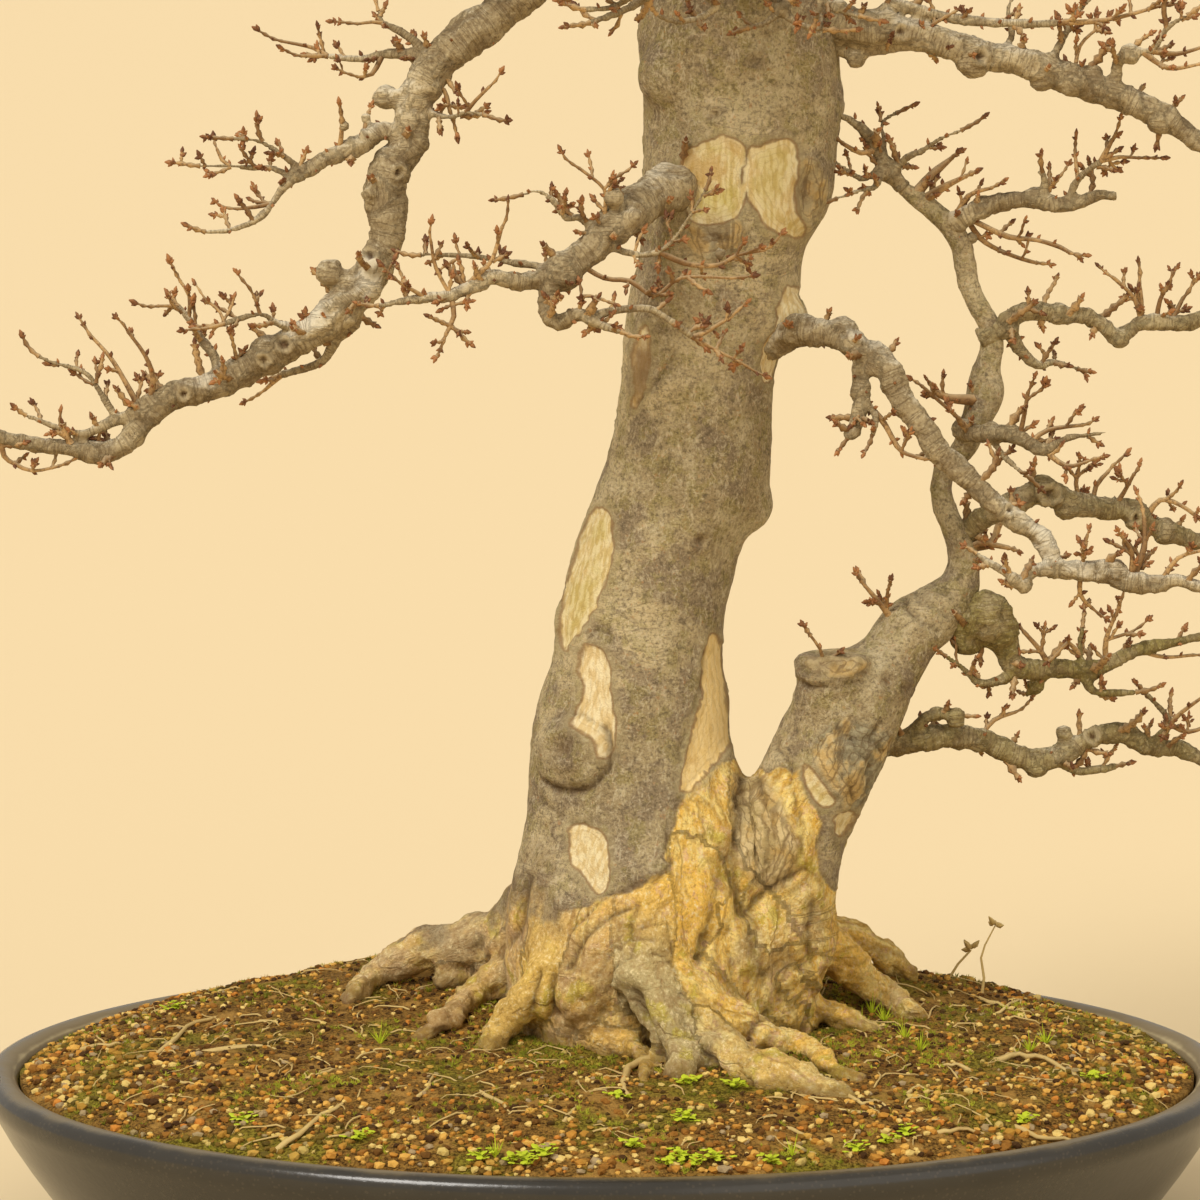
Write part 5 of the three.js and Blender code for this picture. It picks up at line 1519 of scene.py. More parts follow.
# %% Bark colours
def grey_bark(tree, place):
    broad, middling, fine = weathered(tree, 11), weathered(tree, 34), weathered(tree, 78)
    grey = blended(tree, broad["Clouds"], 0.4, 0.6, (164, 145, 107), (206, 186, 142))
    mottled = layered(tree, grey, [
        ("mauve blotches", middling["Clouds"], 0.49, 0.58, 0.55, (122, 104, 86)),
        ("olive clouds", broad["Grain"], 0.5, 0.4, 0.55, (156, 142, 84)),
        ("pale clouds", middling["Clouds"], 0.45, 0.37, 0.5, (206, 190, 150)),
        ("dark grain", fine["Grain"], 0.5, 0.38, 0.5, (92, 78, 60)),
        ("light grain", fine["Grain"], 0.54, 0.68, 0.5, (220, 204, 166)),
        ("dark spots", middling["Grain"], 0.44, 0.36, 0.5, (88, 76, 60)),
        ("rust", middling["Grain"], 0.6, 0.68, 0.5, (186, 136, 86)),
    ])
    some = stepped(tree, middling["Grain"], 0.42, 0.58, 0, 0.5)
    fibres = times(tree, wrinkled(tree, place, (150, 150, 90)), some)
    fibrous = mixed(tree, fibres, mottled, srgb(222, 208, 174))
    few = stepped(tree, broad["Clouds"], 0.42, 0.6, 0.05, 0.4)
    across = times(tree, wrinkled(tree, place, (36, 36, 120)), few)
    return mixed(tree, across, fibrous, srgb(98, 82, 64))


def ochre_wood(tree, grain, place):
    broad, fine = weathered(tree, 18), weathered(tree, 52)
    settings = {"Vector": grain, "Scale": 230.0, "Detail": 5, "Roughness": 0.7}
    streaks = add_node(tree, "TexNoise", settings).outputs["Fac"]
    ochre = blended(tree, streaks, 0.38, 0.6, (236, 190, 88), (255, 228, 142))
    warm = layered(tree, ochre, [
        ("orange clouds", broad["Clouds"], 0.48, 0.6, 0.75, (255, 204, 88)),
        ("rosy grain", broad["Grain"], 0.54, 0.64, 0.7, (236, 190, 148)),
    ])
    leftward = add_node(tree, "SeparateXYZ", {0: place}).outputs["X"]
    patchy = stepped(tree, fine["Clouds"], 0.4, 0.56, 0.35, 0.85)
    left_share = times(tree, stepped(tree, leftward, 0.035, -0.03), patchy)
    left = mixed(tree, left_share, warm, srgb(208, 176, 132))
    tone = attribute(tree, "root_tone")
    aged = layered(tree, left, [
        ("greyed clouds", broad["Clouds"], 0.45, 0.36, 0.6, (192, 170, 128)),
        ("grey roots", tone, 0.0, 1.0, 0.85, (192, 176, 130)),
        ("yellow roots", tone, 0.0, -1.0, 0.7, (236, 196, 92)),
        ("algae", fine["Clouds"], 0.43, 0.34, 0.7, (204, 186, 74)),
        ("dark grain", fine["Grain"], 0.49, 0.38, 0.4, (156, 114, 56)),
        ("pale grain", fine["Grain"], 0.53, 0.65, 0.7, (255, 236, 182)),
    ])
    fine_cracks = times(tree, wrinkled(tree, grain, (110, 110, 150)), 0.45)
    cracks = combined(tree, "MAXIMUM", wrinkled(tree, grain, (34, 34, 64)), fine_cracks)
    cracked = mixed(tree, times(tree, cracks, 0.45), aged, srgb(134, 94, 46))
    return cracked, combined(tree, "SUBTRACT", streaks, times(tree, cracks, 0.6))


def wound_wood(tree, bare, grain):
    clouds = weathered(tree, 40)["Clouds"]
    streaks = add_node(tree, "TexNoise", {"Vector": grain, "Scale": 420.0, "Detail": 4}).outputs["Fac"]
    cream = blended(tree, streaks, 0.4, 0.6, (230, 203, 146), (248, 231, 186))
    lime = blended(tree, streaks, 0.4, 0.6, (192, 170, 78), (214, 197, 120))
    tone = attribute(tree, "tone")
    inner = times(tree, tone, stepped(tree, bare, 0.5, 6.0, 0.35, 1.0))
    patchy = times(tree, inner, stepped(tree, clouds, 0.6, 0.44, 0.3, 1.0))
    golden = layered(tree, cream, [("golden wood", tone, 0.0, -1.0, 1.0, (252, 216, 136))])
    wound = mixed(tree, patchy, golden, lime)
    swirl = plus(tree, times(tree, bare, 2.1), times(tree, clouds, 16))
    return layered(tree, wound, [
        ("rings of callus", combined(tree, "SINE", swirl), 0.55, 1.0, 0.2, (160, 122, 70)),
        ("brown clouds", clouds, 0.56, 0.66, 0.6, (202, 160, 84)),
    ])


def old_crust(tree, plate, grain):
    """Thick old bark that swirls round a healed place, with dark lines that follow its edge."""
    fine, tiny = weathered(tree, 70)["Clouds"], weathered(tree, 170)["Clouds"]
    tan = blended(tree, tiny, 0.4, 0.6, (188, 164, 112), (224, 200, 148))
    golden = layered(tree, tan, [("golden clouds", fine, 0.52, 0.64, 0.6, (214, 174, 100))])
    blue = blended(tree, tiny, 0.4, 0.6, (138, 128, 100), (178, 168, 136))
    share = times(tree, attribute(tree, "crust"), stepped(tree, fine, 0.58, 0.46))
    aged = mixed(tree, share, golden, blue)
    bent = plus(tree, times(tree, plate, 1.6), times(tree, fine, 16))
    swirls = stepped(tree, combined(tree, "SINE", bent), 0.5, 1.0, 0, 0.75)
    lines = combined(tree, "MAXIMUM", swirls, wrinkled(tree, grain, (90, 90, 36)))
    return mixed(tree, times(tree, lines, 0.65), aged, srgb(100, 74, 44))


# %% [markdown]
# Where one surface ends and the next begins, the mesh's own distances are broken up with noise. Rims
# of wounds are golden brown, and creases and hollows are darkened with painted shade.

# %% Bark material
def make_bark():
    made, tree = new_material("old bark", 0.85, 0.2)
    fine, tiny = weathered(tree, 44), weathered(tree, 120)
    place = add_node(tree, "TexCoord").outputs["Object"]
    grain = add_node(tree, "Attribute", attribute_name="grain").outputs["Vector"]
    ragged = times(tree, combined(tree, "SUBTRACT", fine["Clouds"], 0.5), 9)
    ochre, relief = ochre_wood(tree, grain, place)
    edge = plus(tree, attribute(tree, "peeled"), ragged)
    zones = mixed(tree, stepped(tree, edge, 0, 2.0), grey_bark(tree, place), ochre)
    line = times(tree, stepped(tree, edge, -1.6, 0.2), stepped(tree, edge, 2.0, 0.4))
    lined = mixed(tree, times(tree, line, 0.35), zones, srgb(110, 80, 44))
    plate = plus(tree, attribute(tree, "plate"), ragged)
    plated = mixed(tree, stepped(tree, plate, -2.5, 2.5, 0, 0.9), lined, old_crust(tree, plate, grain))
    bare = plus(tree, attribute(tree, "bare"), times(tree, ragged, 0.5))
    callused = layered(tree, plated, [("callus", bare, -6, -0.5, 0.5, (184, 166, 122))])
    patched = mixed(tree, stepped(tree, bare, -0.4, 0.8), callused, wound_wood(tree, bare, grain))
    rim = times(tree, stepped(tree, bare, -1.2, -0.1), stepped(tree, bare, 1.0, 0.1))
    rimmed = mixed(tree, times(tree, rim, 0.5), patched, srgb(136, 92, 48))
    knotted = mixed(tree, times(tree, attribute(tree, "knot"), 0.4), rimmed, srgb(110, 86, 62))
    # Painted shade: the bottoms of folds are darkened.
    creased = mixed(tree, times(tree, attribute(tree, "crease"), 0.6), knotted, srgb(78, 58, 34))
    # Painted shade: hollows are darkened the deeper they lie below their surroundings.
    hollows = attribute(tree, "cavity")
    shaded = layered(tree, creased, [("painted shade in hollows", hollows, 0.3, 1.3, 0.48, (86, 58, 26))])
    earthy = blended(tree, fine["Clouds"], 0.46, 0.54, (112, 80, 42), (140, 112, 54))
    dirt = plus(tree, attribute(tree, "dirt"), times(tree, ragged, 0.3))
    soiled = mixed(tree, stepped(tree, dirt, 0.45, 0.9, 0, 0.6), shaded, earthy)
    low_relief = times(tree, relief, stepped(tree, edge, 0, 2.0))
    height = plus(tree, fine["Height"], plus(tree, low_relief, tiny["Grain"]))
    return finish_material(made, soiled, height, 0.0013, 0.85)


trunk_mesh.materials.append(make_bark())
place_piece(trunk_mesh, "bark", "trunk")

# %% [markdown]
# Branches
#
# Each branch has a number of extra side shoots, which the crown branches carry as a fan, then its main
# route, its limbs and its knobs. A limb row holds its thickness at both ends, how much deeper it ends
# than it starts, and its places. A knob is a swollen node or a healed cut.

# %% Branch measures
BRANCHES = {
    "left_falling_branch": (0, [
        (52, 332, 8, 15), (22, 346, 0, 14), (-12, 334, -10, 12.5), (-36, 308, -16, 11.5),
        (-55, 290, -20, 10.5), (-80, 270, -24, 10.5), (-92.5, 247.5, -26, 9), (-95, 228.5, -27, 8.5),
        (-104, 217.5, -28, 10), (-108, 204, -29, 10.5), (-106, 185, -30, 9), (-111.5, 169, -32, 9.5),
        (-121, 155, -34, 10), (-135, 141, -36, 9.5), (-147, 133, -37, 9), (-162, 124, -38, 8.5),
        (-180, 114, -40, 8), (-197, 106, -42, 7.5), (-215, 101, -44, 7), (-226, 92, -46, 6.3),
        (-237, 79, -48, 6), (-249, 74, -49, 5.2), (-265, 76, -50, 4.2), (-282, 77.5, -51, 3.8),
        (-300, 81.5, -52, 3.5), (-322, 89, -53, 3.2), (-346, 85, -54, 2.8), (-372, 91, -55, 2.3),
        (-400, 88, -56, 1.5),
    ], [
        (5, 4, -12, [(-95, 230), (-108.5, 235), (-119, 227.5), (-130.5, 223.5), (-143, 217),
            (-153.5, 212)]),
        (2.8, 1.1, -8, [(-153.5, 212), (-159.5, 204.5), (-170, 191.5), (-185, 185), (-198, 184)]),
        (2, 1, 6, [(-153.5, 212), (-165, 216), (-172.5, 216), (-185, 217), (-200.5, 217)]),
        (1.1, 0.8, 2, [(-186, 217), (-189, 220), (-191.5, 225.5)]),
        (2, 0.9, -10, [(-150, 214), (-162.5, 225), (-172.5, 230), (-184, 230.5)]),
        (1.3, 0.9, 8, [(-166, 197), (-172.5, 196.5), (-181.5, 195.5)]),
        (1.6, 1.3, -4, [(-130, 224), (-129.5, 231), (-129, 236)]),
        (1.6, 1.2, 3, [(-118, 228), (-117.5, 235), (-117, 240)]),
        (3.2, 1.6, 14, [(-80, 268), (-100, 273), (-108.5, 273), (-119, 270.5), (-136.5, 272)]),
        (1.5, 0.8, 5, [(-136.5, 272), (-143, 276), (-159.5, 279.5)]),
        (1.3, 0.8, -6, [(-136.5, 272), (-149.5, 272)]),
        (1.4, 0.7, -8, [(-111, 272), (-114, 263), (-121.5, 261.5)]),
        (2.6, 1.2, 10, [(-75, 276), (-100, 284.5), (-108.5, 288.5), (-111, 295)]),
        (1.3, 0.8, -5, [(-107, 287), (-114, 289), (-121.5, 288)]),
        (2.2, 1.2, -14, [(-92, 244), (-83.5, 243), (-73, 241.5), (-67, 244), (-58, 242.5)]),
        (1.3, 1.1, -4, [(-86, 258), (-78, 255), (-75, 244)]),
        (1.3, 0.8, -6, [(-66, 244), (-62, 250), (-55.5, 256.5)]),
        (2.6, 1.5, -16, [(-130, 139.5), (-147, 137), (-161, 138), (-170, 143), (-188, 138)]),
        (1.3, 0.8, -5, [(-188, 138), (-198, 135.5)]), (1.2, 0.8, 0, [(-170, 143), (-173, 152)]),
        (1.1, 0.8, 4, [(-185, 138), (-190, 144), (-198, 151)]),
        (3.6, 2, 16, [(-117, 150), (-122.5, 138), (-131.5, 130.5), (-139.5, 119), (-159.5, 112.5)]),
        (1.8, 0.9, 4, [(-159.5, 112.5), (-167.5, 105)]),
        (3.4, 1.6, 10, [(-189, 108), (-191.5, 116.5), (-194, 124), (-199.5, 130.5), (-205.5, 140.5),
            (-211, 147)]),
        (1.2, 0.8, -4, [(-210, 146), (-221, 147)]),
        (1.2, 0.8, 3, [(-206, 142), (-205.5, 152), (-210, 159.5)]),
        (1.5, 1, -3, [(-176, 116), (-182.5, 124)]),
        (4.2, 1.2, -10, [(-212, 102), (-225, 100), (-236, 92.5), (-247, 88), (-258, 83), (-270.5, 86),
            (-287.5, 92.5)]),
        (1.9, 0.9, -6, [(-224, 101), (-223.5, 111), (-227.5, 122.5), (-236, 134)]),
        (1.6, 0.9, 4, [(-234, 96), (-237, 108.5), (-245, 121.5), (-255.5, 133)]),
        (2.3, 0.7, 2, [(-243, 91), (-250.5, 105), (-258, 114), (-274.5, 119), (-281, 122)]),
        (1.5, 0.8, 3, [(-304, 84), (-298, 72), (-292.5, 68), (-283.5, 64.5), (-270.5, 67)]),
        (2, 0.9, 12, [(-322, 90), (-330, 104), (-345, 112), (-352, 124)]),
        (1.8, 0.9, -12, [(-346, 85), (-356, 96), (-372, 108)]),
        (1.7, 0.9, 10, [(-335, 86), (-350, 74), (-368, 70)]),
    ], [
        (-106.7, 251.5, 6), (-101, 251, 4.5), (-135, 163.5, 6.5), (-126, 160, 5), (-166, 122, 9.3),
        (-128, 237, 2.6), (-117, 241, 2.6), (-228, 92, 6.8),
    ]),
    "front_left_branch": (0, [
        (58, 205, 2, 11), (35, 205.5, -34, 11), (15, 194, -58, 9.8), (2, 182.5, -68, 9),
        (-6, 174, -73, 8.2), (-18.5, 165, -77, 8.6), (-28, 160, -80, 6.5),
    ], [
        (5.2, 3.4, -14, [(-28, 160), (-44, 159.5), (-54, 162), (-63, 157), (-74.5, 152)]),
        (3.2, 1.4, -6, [(-74.5, 152), (-87, 151), (-100, 149), (-111, 147)]),
        (1.2, 0.8, -4, [(-77, 152), (-82, 166), (-84.5, 179)]),
        (1.7, 0.9, 2, [(-66, 156), (-60, 164), (-54, 170), (-49, 186.5)]),
        (1.7, 1.1, -6, [(-74.5, 152), (-73, 142), (-77, 133)]),
        (1.3, 0.8, -5, [(-84, 152), (-92, 154), (-100, 158.5)]),
        (2.6, 1.1, 10, [(-20, 166), (-31, 167), (-42.5, 168.5), (-53, 170.5), (-74.5, 172.5),
            (-90, 172.5)]),
        (4.8, 3.6, -12, [(-24, 160), (-26.5, 152), (-27.5, 144.5), (-21, 138), (-10.5, 143), (-3, 139.5)]),
        (3, 1.5, -6, [(-3, 139.5), (4, 136), (11, 134)]),
        (2.4, 1.9, 4, [(-5.5, 141), (6, 144.5), (15, 145.5), (25, 145.5), (37.5, 138), (46.5, 131.5)]),
        (1.8, 0.9, 4, [(46.5, 131.5), (53, 134), (66, 142)]),
        (1.2, 0.6, 2, [(48, 131), (58, 125), (70, 119)]),
        (2.8, 1, -10, [(-2, 185), (-10.5, 191.5), (-17, 190.5), (-22, 198), (-31, 204.5), (-39, 202.5)]),
        (1.3, 0.8, -8, [(3.5, 184), (2.5, 195), (2, 205.5), (-10.5, 216)]),
        (1, 0.8, 2, [(2, 203), (7, 210.5)]),
        (2, 1, -8, [(2, 176), (21, 172.5), (34, 177.5), (44, 190.5), (53, 205.5)]),
        (2, 0.9, 8, [(30, 176), (38, 170), (46.5, 167.5), (59.5, 167.5), (68.5, 172.5), (82.5, 175)]),
        (1.6, 0.8, -6, [(-8, 168), (2, 161), (15, 159.5), (27.5, 152), (40.5, 161), (66, 161)]),
        (1.3, 0.8, -6, [(-14, 150), (-8, 152), (2, 150)]),
    ], [(-19, 164, 9.4), (34, 206, 11.6), (7, 201, 4.5), (60, 173, 3)]),
    "front_top_branch": (2, [
        (70, 324, -20, 9.5), (66, 322, -70, 9), (57, 314, -108, 7.6), (40, 309, -142, 6.2),
        (20, 305, -172, 4.8), (2, 306, -192, 3.4), (-14, 312, -210, 2),
    ], [
        (3.4, 1.2, -12, [(30, 307), (18, 298), (6, 292.5), (-5.5, 288.5)]),
        (2.2, 0.9, -6, [(22, 304), (8, 297), (-8, 295)]),
        (3.2, 1.1, -16, [(56, 313), (60, 301), (52, 292), (38, 289), (28, 293)]),
        (3.8, 1.2, -10, [(66, 320), (78, 306), (90, 296), (99, 288), (112, 285)]),
        (2.4, 1, -8, [(90, 296), (84, 289), (74, 286)]),
        (3.2, 1.2, -18, [(66, 321), (86, 316), (104, 307), (118, 296), (130, 292)]),
        (2, 0.9, -6, [(104, 307), (110, 300), (108, 290)]),
        (2.6, 1, 14, [(2, 306), (-6, 320), (-20, 326), (-32, 338)]),
        (2.6, 1, -14, [(40, 309), (46, 322), (40, 336), (46, 348)]),
        (2.4, 1, 8, [(20, 305), (14, 318), (18, 330)]),
    ], [(55, 303, 4), (91, 296, 4.5), (30, 305, 4.2), (119, 297, 3.6)]),
    "right_top_branch": (0, [
        (88, 298, 8, 12), (108, 292, -4, 10.5), (125.5, 287, -12, 9.5), (144.5, 285, -16, 8.8),
        (164, 281, -18, 8), (189.5, 273, -20, 7.6), (208.5, 269.5, -21, 7.8), (227.5, 263, -22, 8.2),
        (246.5, 256.5, -23, 7.8), (266, 249, -24, 7), (282.5, 241.5, -25, 6.2), (300, 228.5, -26, 5.6),
        (322, 217, -27, 5), (346, 214, -28, 4.2), (370, 219, -29, 3.2), (394, 216, -30, 2.4),
        (412, 222, -31, 1.4),
    ], [
        (3.4, 2, -12, [(132, 290), (144.5, 297.5), (164, 293.5), (181.5, 290), (199.5, 288.5),
            (215, 288), (229, 288.5)]),
        (1.7, 0.9, -5, [(229, 288.5), (253, 290), (280, 297)]),
        (2.7, 1.3, 10, [(226, 264), (227.5, 273), (232.5, 282), (237.5, 292.5), (246, 302)]),
        (1.4, 0.9, 6, [(233, 262), (240, 277), (250.5, 287)]),
        (3.6, 1.2, -14, [(256, 254), (258, 262), (259, 269.5), (266, 274.5), (276, 274.5), (283.5, 286),
            (294, 292.5)]),
        (2, 0.9, 6, [(276, 274), (288, 273), (303, 277)]),
        (1.8, 0.9, -6, [(270, 274), (284, 266), (300, 268)]),
        (1.6, 0.9, -3, [(284, 287), (282, 298), (288, 310)]),
        (4, 1.5, -16, [(110, 287), (119, 275.5), (128, 273), (139.5, 274.5), (153.5, 276), (164, 274.5)]),
        (1.6, 0.9, -5, [(150, 276), (158, 282), (170, 290)]),
        (2.4, 1, 14, [(200, 271), (206, 282), (204, 296), (212, 308)]),
        (2.6, 1.1, 14, [(300, 229), (312, 240), (328, 246), (340, 258)]),
        (2.2, 1, -16, [(322, 217), (334, 206), (352, 200), (366, 203)]),
        (2, 0.9, 10, [(346, 214), (358, 228), (372, 236)]),
        (1.8, 0.9, -10, [(370, 219), (382, 208), (394, 203)]),
    ], [(221, 260, 5.6), (247, 262, 5.2), (280, 240, 7), (265, 273, 5), (128, 271, 5), (186, 269, 8)]),
    "right_arching_branch": (0, [
        (80, 128, -4, 11), (98, 134, -22, 8.5), (116.5, 133, -32, 7.2), (132, 125.5, -38, 7.2),
        (143.5, 116.5, -42, 6.7), (151, 100, -45, 6.4), (161, 87.5, -47, 6.3), (169, 74.5, -48, 6.3),
        (181.5, 63, -50, 6), (194.5, 50.5, -52, 5.6), (209.5, 39, -54, 5.2), (220, 32.5, -55, 5),
        (225, 23.5, -56, 5), (231, 15, -58, 5.2), (250.5, 14.5, -60, 5.6), (259.5, 11, -61, 5.6),
        (272, 8, -62, 4.6), (289, 9.5, -64, 3.6), (303, 5.5, -65, 3), (320, 2, -66, 2.6), (340, 8, -67, 2),
        (358, 5, -68, 1.2),
    ], [
        (4, 3, -8, [(229, 15), (215, 14.5), (211, 5.5), (206, 12)]),
        (2.6, 1.3, 8, [(206, 12), (194.5, 18.5), (188, 23.5)]),
        (4.6, 3, -8, [(133, 124), (130.5, 112), (131, 100), (128, 88), (124, 81)]),
        (2.4, 1.4, -6, [(131, 100), (138, 92), (136, 82)]),
        (1.8, 1.1, -8, [(131, 102), (141, 90), (148.5, 77), (153.5, 73), (162.5, 70.5)]),
        (1.4, 1, -5, [(241, 15), (243, 28.5)]), (1.7, 1, -6, [(266, 9), (266, 23.5), (262, 30)]),
        (1.9, 1, 5, [(268, 9), (272, 26), (272, 41.5)]), (1.6, 0.9, -6, [(278.5, 9), (289, 21), (302, 25)]),
        (1.6, 0.9, 8, [(245, 12), (240, 3), (246, -4)]), (1.6, 0.9, -8, [(303, 5.5), (312, 14), (326, 20)]),
        (1.5, 0.9, 8, [(320, 2), (332, -6), (344, -8)]),
    ], [(121, 134, 7.6), (140, 119, 7.3), (258, 13, 6.4), (130, 104, 5), (126, 84, 4), (212, 8, 4.4)]),
    "right_stem_spray_low": (0, [
        (128, -74, 4, 8), (151, -71, 4, 6.8), (171.5, -68.5, 7, 6.2), (189.5, -69.5, 10, 5.9),
        (204.5, -76, 13, 5.8), (220, -80, 15, 6), (234, -76, 17, 5.6), (246.5, -68.5, 19, 5.2),
        (263.5, -66, 21, 4.8), (273.5, -73.5, 22, 4.6), (289, -74.5, 24, 4.3), (303, -80, 25, 3.8),
        (320, -83, 27, 3.2), (340, -78, 29, 2.6), (358, -80, 30, 1.5),
    ], [
        (3, 3.2, -8, [(152, -70), (161, -60.5), (167.5, -56.5), (176.5, -57.5)]),
        (2.6, 2, 8, [(228, -80), (237, -85), (248, -85), (258, -83)]),
        (2.6, 1.2, -6, [(277, -73), (285, -62), (279, -53), (272, -45.5)]),
        (1.6, 0.9, -6, [(285, -62), (291, -56), (302, -48)]),
        (1.6, 0.9, 8, [(284, -64), (294, -66), (306, -62)]),
        (1.8, 0.9, 12, [(303, -80), (314, -70), (330, -64)]),
        (1.6, 0.9, -12, [(320, -83), (332, -92), (346, -93)]),
        (1.4, 0.9, 5, [(190, -69), (197, -60), (208, -56)]),
    ], [(178, -59, 4.6), (231.5, -67, 4), (168, -57, 3.6), (218, -82, 6.4), (267, -69, 5.2)]),
    "right_stem_spray_burl": (0, [
        (176, -8, 4, 11), (192, -14, -2, 8), (202, -22.5, 0, 5.8), (208.5, -34, 2, 5), (225, -34, 4, 4.8),
        (240.5, -35, 5, 4.6), (253, -32.5, 6, 4.2), (268.5, -25, 7, 3.3), (289, -21, 8, 2.7),
        (303, -17.5, 9, 2.2), (320, -14, 10, 1.7), (336, -9, 11, 1.1),
    ], [
        (1.8, 1.1, -6, [(226, -32), (220, -25), (212, -16)]),
        (1.9, 1.1, 5, [(240, -33), (240, -20), (241.5, -13.5)]),
        (1.4, 1, -5, [(240, -24), (234, -21), (231, -24)]),
        (1.6, 0.9, -5, [(250, -31), (253, -20), (258, -7)]), (1.1, 0.8, 3, [(254, -18), (266, -16)]),
        (1.3, 0.8, 6, [(269.5, -25), (282, -28.5), (296.5, -27.5)]),
        (3.2, 1.2, -10, [(210, -35), (202, -39.5), (189.5, -41.5), (181.5, -34), (172.5, -28)]),
        (3, 1.4, -8, [(240.5, -36), (246.5, -45.5), (259.5, -46.5), (268.5, -46)]),
        (2.2, 1.6, 8, [(222, -37), (217, -45), (213, -47)]),
        (1.3, 0.9, -8, [(303, -17.5), (312, -26), (322, -28)]),
    ], [(194, -9, 12.6), (199, -15, 10), (218, -43, 4.2), (184, -18, 9), (246, -35, 5.2)]),
    "right_stem_spray_middle": (0, [
        (180, 30, 10, 7), (192, 41.5, 4, 6.2), (208.5, 49, 2, 6.2), (221, 55, 4, 6.4), (234, 49.5, 7, 6),
        (246.5, 46.5, 10, 5.6), (266, 44, 14, 6), (278.5, 36, 18, 5.5), (303, 28, 22, 4.8),
        (326, 25, 26, 4), (350, 30, 30, 3), (376, 25, 33, 1.6),
    ], [
        (1.5, 1.1, -4, [(238, 49), (238, 58), (239, 64.5)]),
        (1.5, 1.1, 5, [(247, 47), (248, 57), (254, 64)]), (1.6, 1, -4, [(258, 46), (262, 54), (267, 63)]),
        (1.8, 1, -8, [(272, 42), (280, 50), (291, 47), (303, 38)]),
        (2.2, 1.2, 12, [(303, 28), (314, 38), (330, 46), (338, 58)]),
        (2, 1, -12, [(326, 25), (338, 14), (352, 10)]), (1.7, 0.9, 10, [(350, 30), (360, 42), (374, 46)]),
    ], [(221, 55, 7.2), (268, 43, 7), (283, 34, 6.4), (234, 47, 6.6)]),
    "right_stem_spray_front": (0, [
        (180, 86, 10, 6), (186, 84, -4, 5), (194, 83, -14, 4.4), (204, 83, -20, 4.2), (215, 78.5, -24, 3.6),
        (222.5, 74.5, -26, 2.6), (234, 81, -28, 1.9), (253, 83.5, -31, 1),
    ], [
        (1.6, 1, -3, [(209, 82), (212, 92), (214, 104)]),
        (1.6, 0.9, 5, [(216, 79), (224, 85), (241.5, 87.5)]),
        (2.3, 1.2, -8, [(194, 82), (202, 72), (212.5, 62.5)]),
        (1.6, 0.9, -6, [(224, 75), (233, 67), (243, 69)]),
        (1.3, 0.9, -6, [(188, 84), (178, 92), (169, 100), (161, 107)]),
    ], [(206, 83, 4.8), (222, 75, 3.4), (196, 86, 3.6)]),
    "right_stem_spray_upper": (0, [
        (190, 130, 10, 6), (199.5, 135.5, 8, 5.2), (208.5, 143.5, 9, 4.8), (221, 144.5, 11, 4.7),
        (229, 142, 12, 4.7), (244, 142, 14, 4.7), (253, 135.5, 16, 4.3), (260.5, 131.5, 17, 4.2),
        (271, 139, 19, 4.2), (285, 138, 21, 4.1), (303, 141, 24, 4), (324, 147, 27, 3.4),
        (346, 144, 30, 2.8), (370, 151, 33, 1.5),
    ], [
        (1.5, 0.9, -5, [(271, 140), (267, 151), (257, 161)]),
        (1.5, 1, 4, [(271.5, 141), (270.5, 150), (269.5, 158.5)]),
        (1.5, 0.9, -3, [(275, 139), (280, 150), (285, 159.5)]), (1.4, 0.9, 5, [(286, 139), (291.5, 151)]),
        (3.8, 1.3, 14, [(202, 138), (209, 126), (218.5, 117.5), (227.5, 119), (239, 115.5)]),
        (2, 1, -10, [(303, 141), (312, 152), (322, 164)]),
        (1.9, 1, 10, [(324, 147), (336, 134), (350, 128)]),
        (1.8, 0.9, -10, [(346, 144), (354, 156), (368, 164)]),
    ], [(229, 143, 5.4), (260, 131, 5), (204, 136, 5.6)]),
    "right_stem_spray_top": (0, [
        (176, 188, 8, 6.5), (189.5, 195.5, 4, 5), (202, 199, 2, 4.8), (215, 200.5, 0, 4.6),
        (227.5, 198, -1, 4.3), (240.5, 199, -2, 3.7), (250.5, 203, -3, 3.1), (258, 202, -4, 2.2),
    ], [
        (2.3, 1.9, -3, [(222.5, 199), (222.5, 209), (221, 214.5)]), (1.2, 0.8, 3, [(222, 206), (229, 210)]),
        (2.4, 1.8, -5, [(233, 198), (239, 210.5), (250.5, 219.5)]),
        (1.6, 1, -2, [(250.5, 219.5), (254, 226), (258, 233.5)]),
        (1.4, 0.9, 4, [(250, 219), (260, 221.5), (269.5, 221)]),
        (1.3, 1, 5, [(239, 210), (238, 218), (237.5, 225)]),
        (1.8, 1.1, -12, [(182, 192), (192, 187), (204.5, 181.5), (218.5, 180), (230, 176.5), (235, 173.5)]),
        (1.6, 1, 10, [(184, 190), (190, 181), (199.5, 175), (211, 170.5), (218.5, 168.5)]),
        (1.6, 1, -10, [(178, 190), (184, 202), (196, 206)]),
    ], [(191, 196, 5.6), (217, 201, 5.2), (186, 181, 3)]),
    "right_stem_tip": (0, [
        (151, 206, 8, 4.4), (142, 219, 5, 3.8), (134.5, 232, 3, 3), (127, 239, 1, 2.3), (118, 243, -2, 1.3),
    ], [
        (1.8, 1, -8, [(139, 222), (130.5, 223.5), (121, 228.5)]),
        (2.2, 1, -12, [(142, 216), (133, 210.5), (125.5, 213.5), (117, 219.5)]),
        (2.2, 1, -20, [(143, 216), (138, 207), (129.5, 204.5), (118, 200.5)]),
        (2.2, 1, 10, [(141, 221), (142, 230), (141, 239), (148.5, 243.5)]),
        (2.6, 1, -12, [(145, 215), (153, 221), (161, 224.5), (169, 230), (181, 235)]),
    ], [(145, 214, 5.6)]),
    "back_left_branch": (5, [
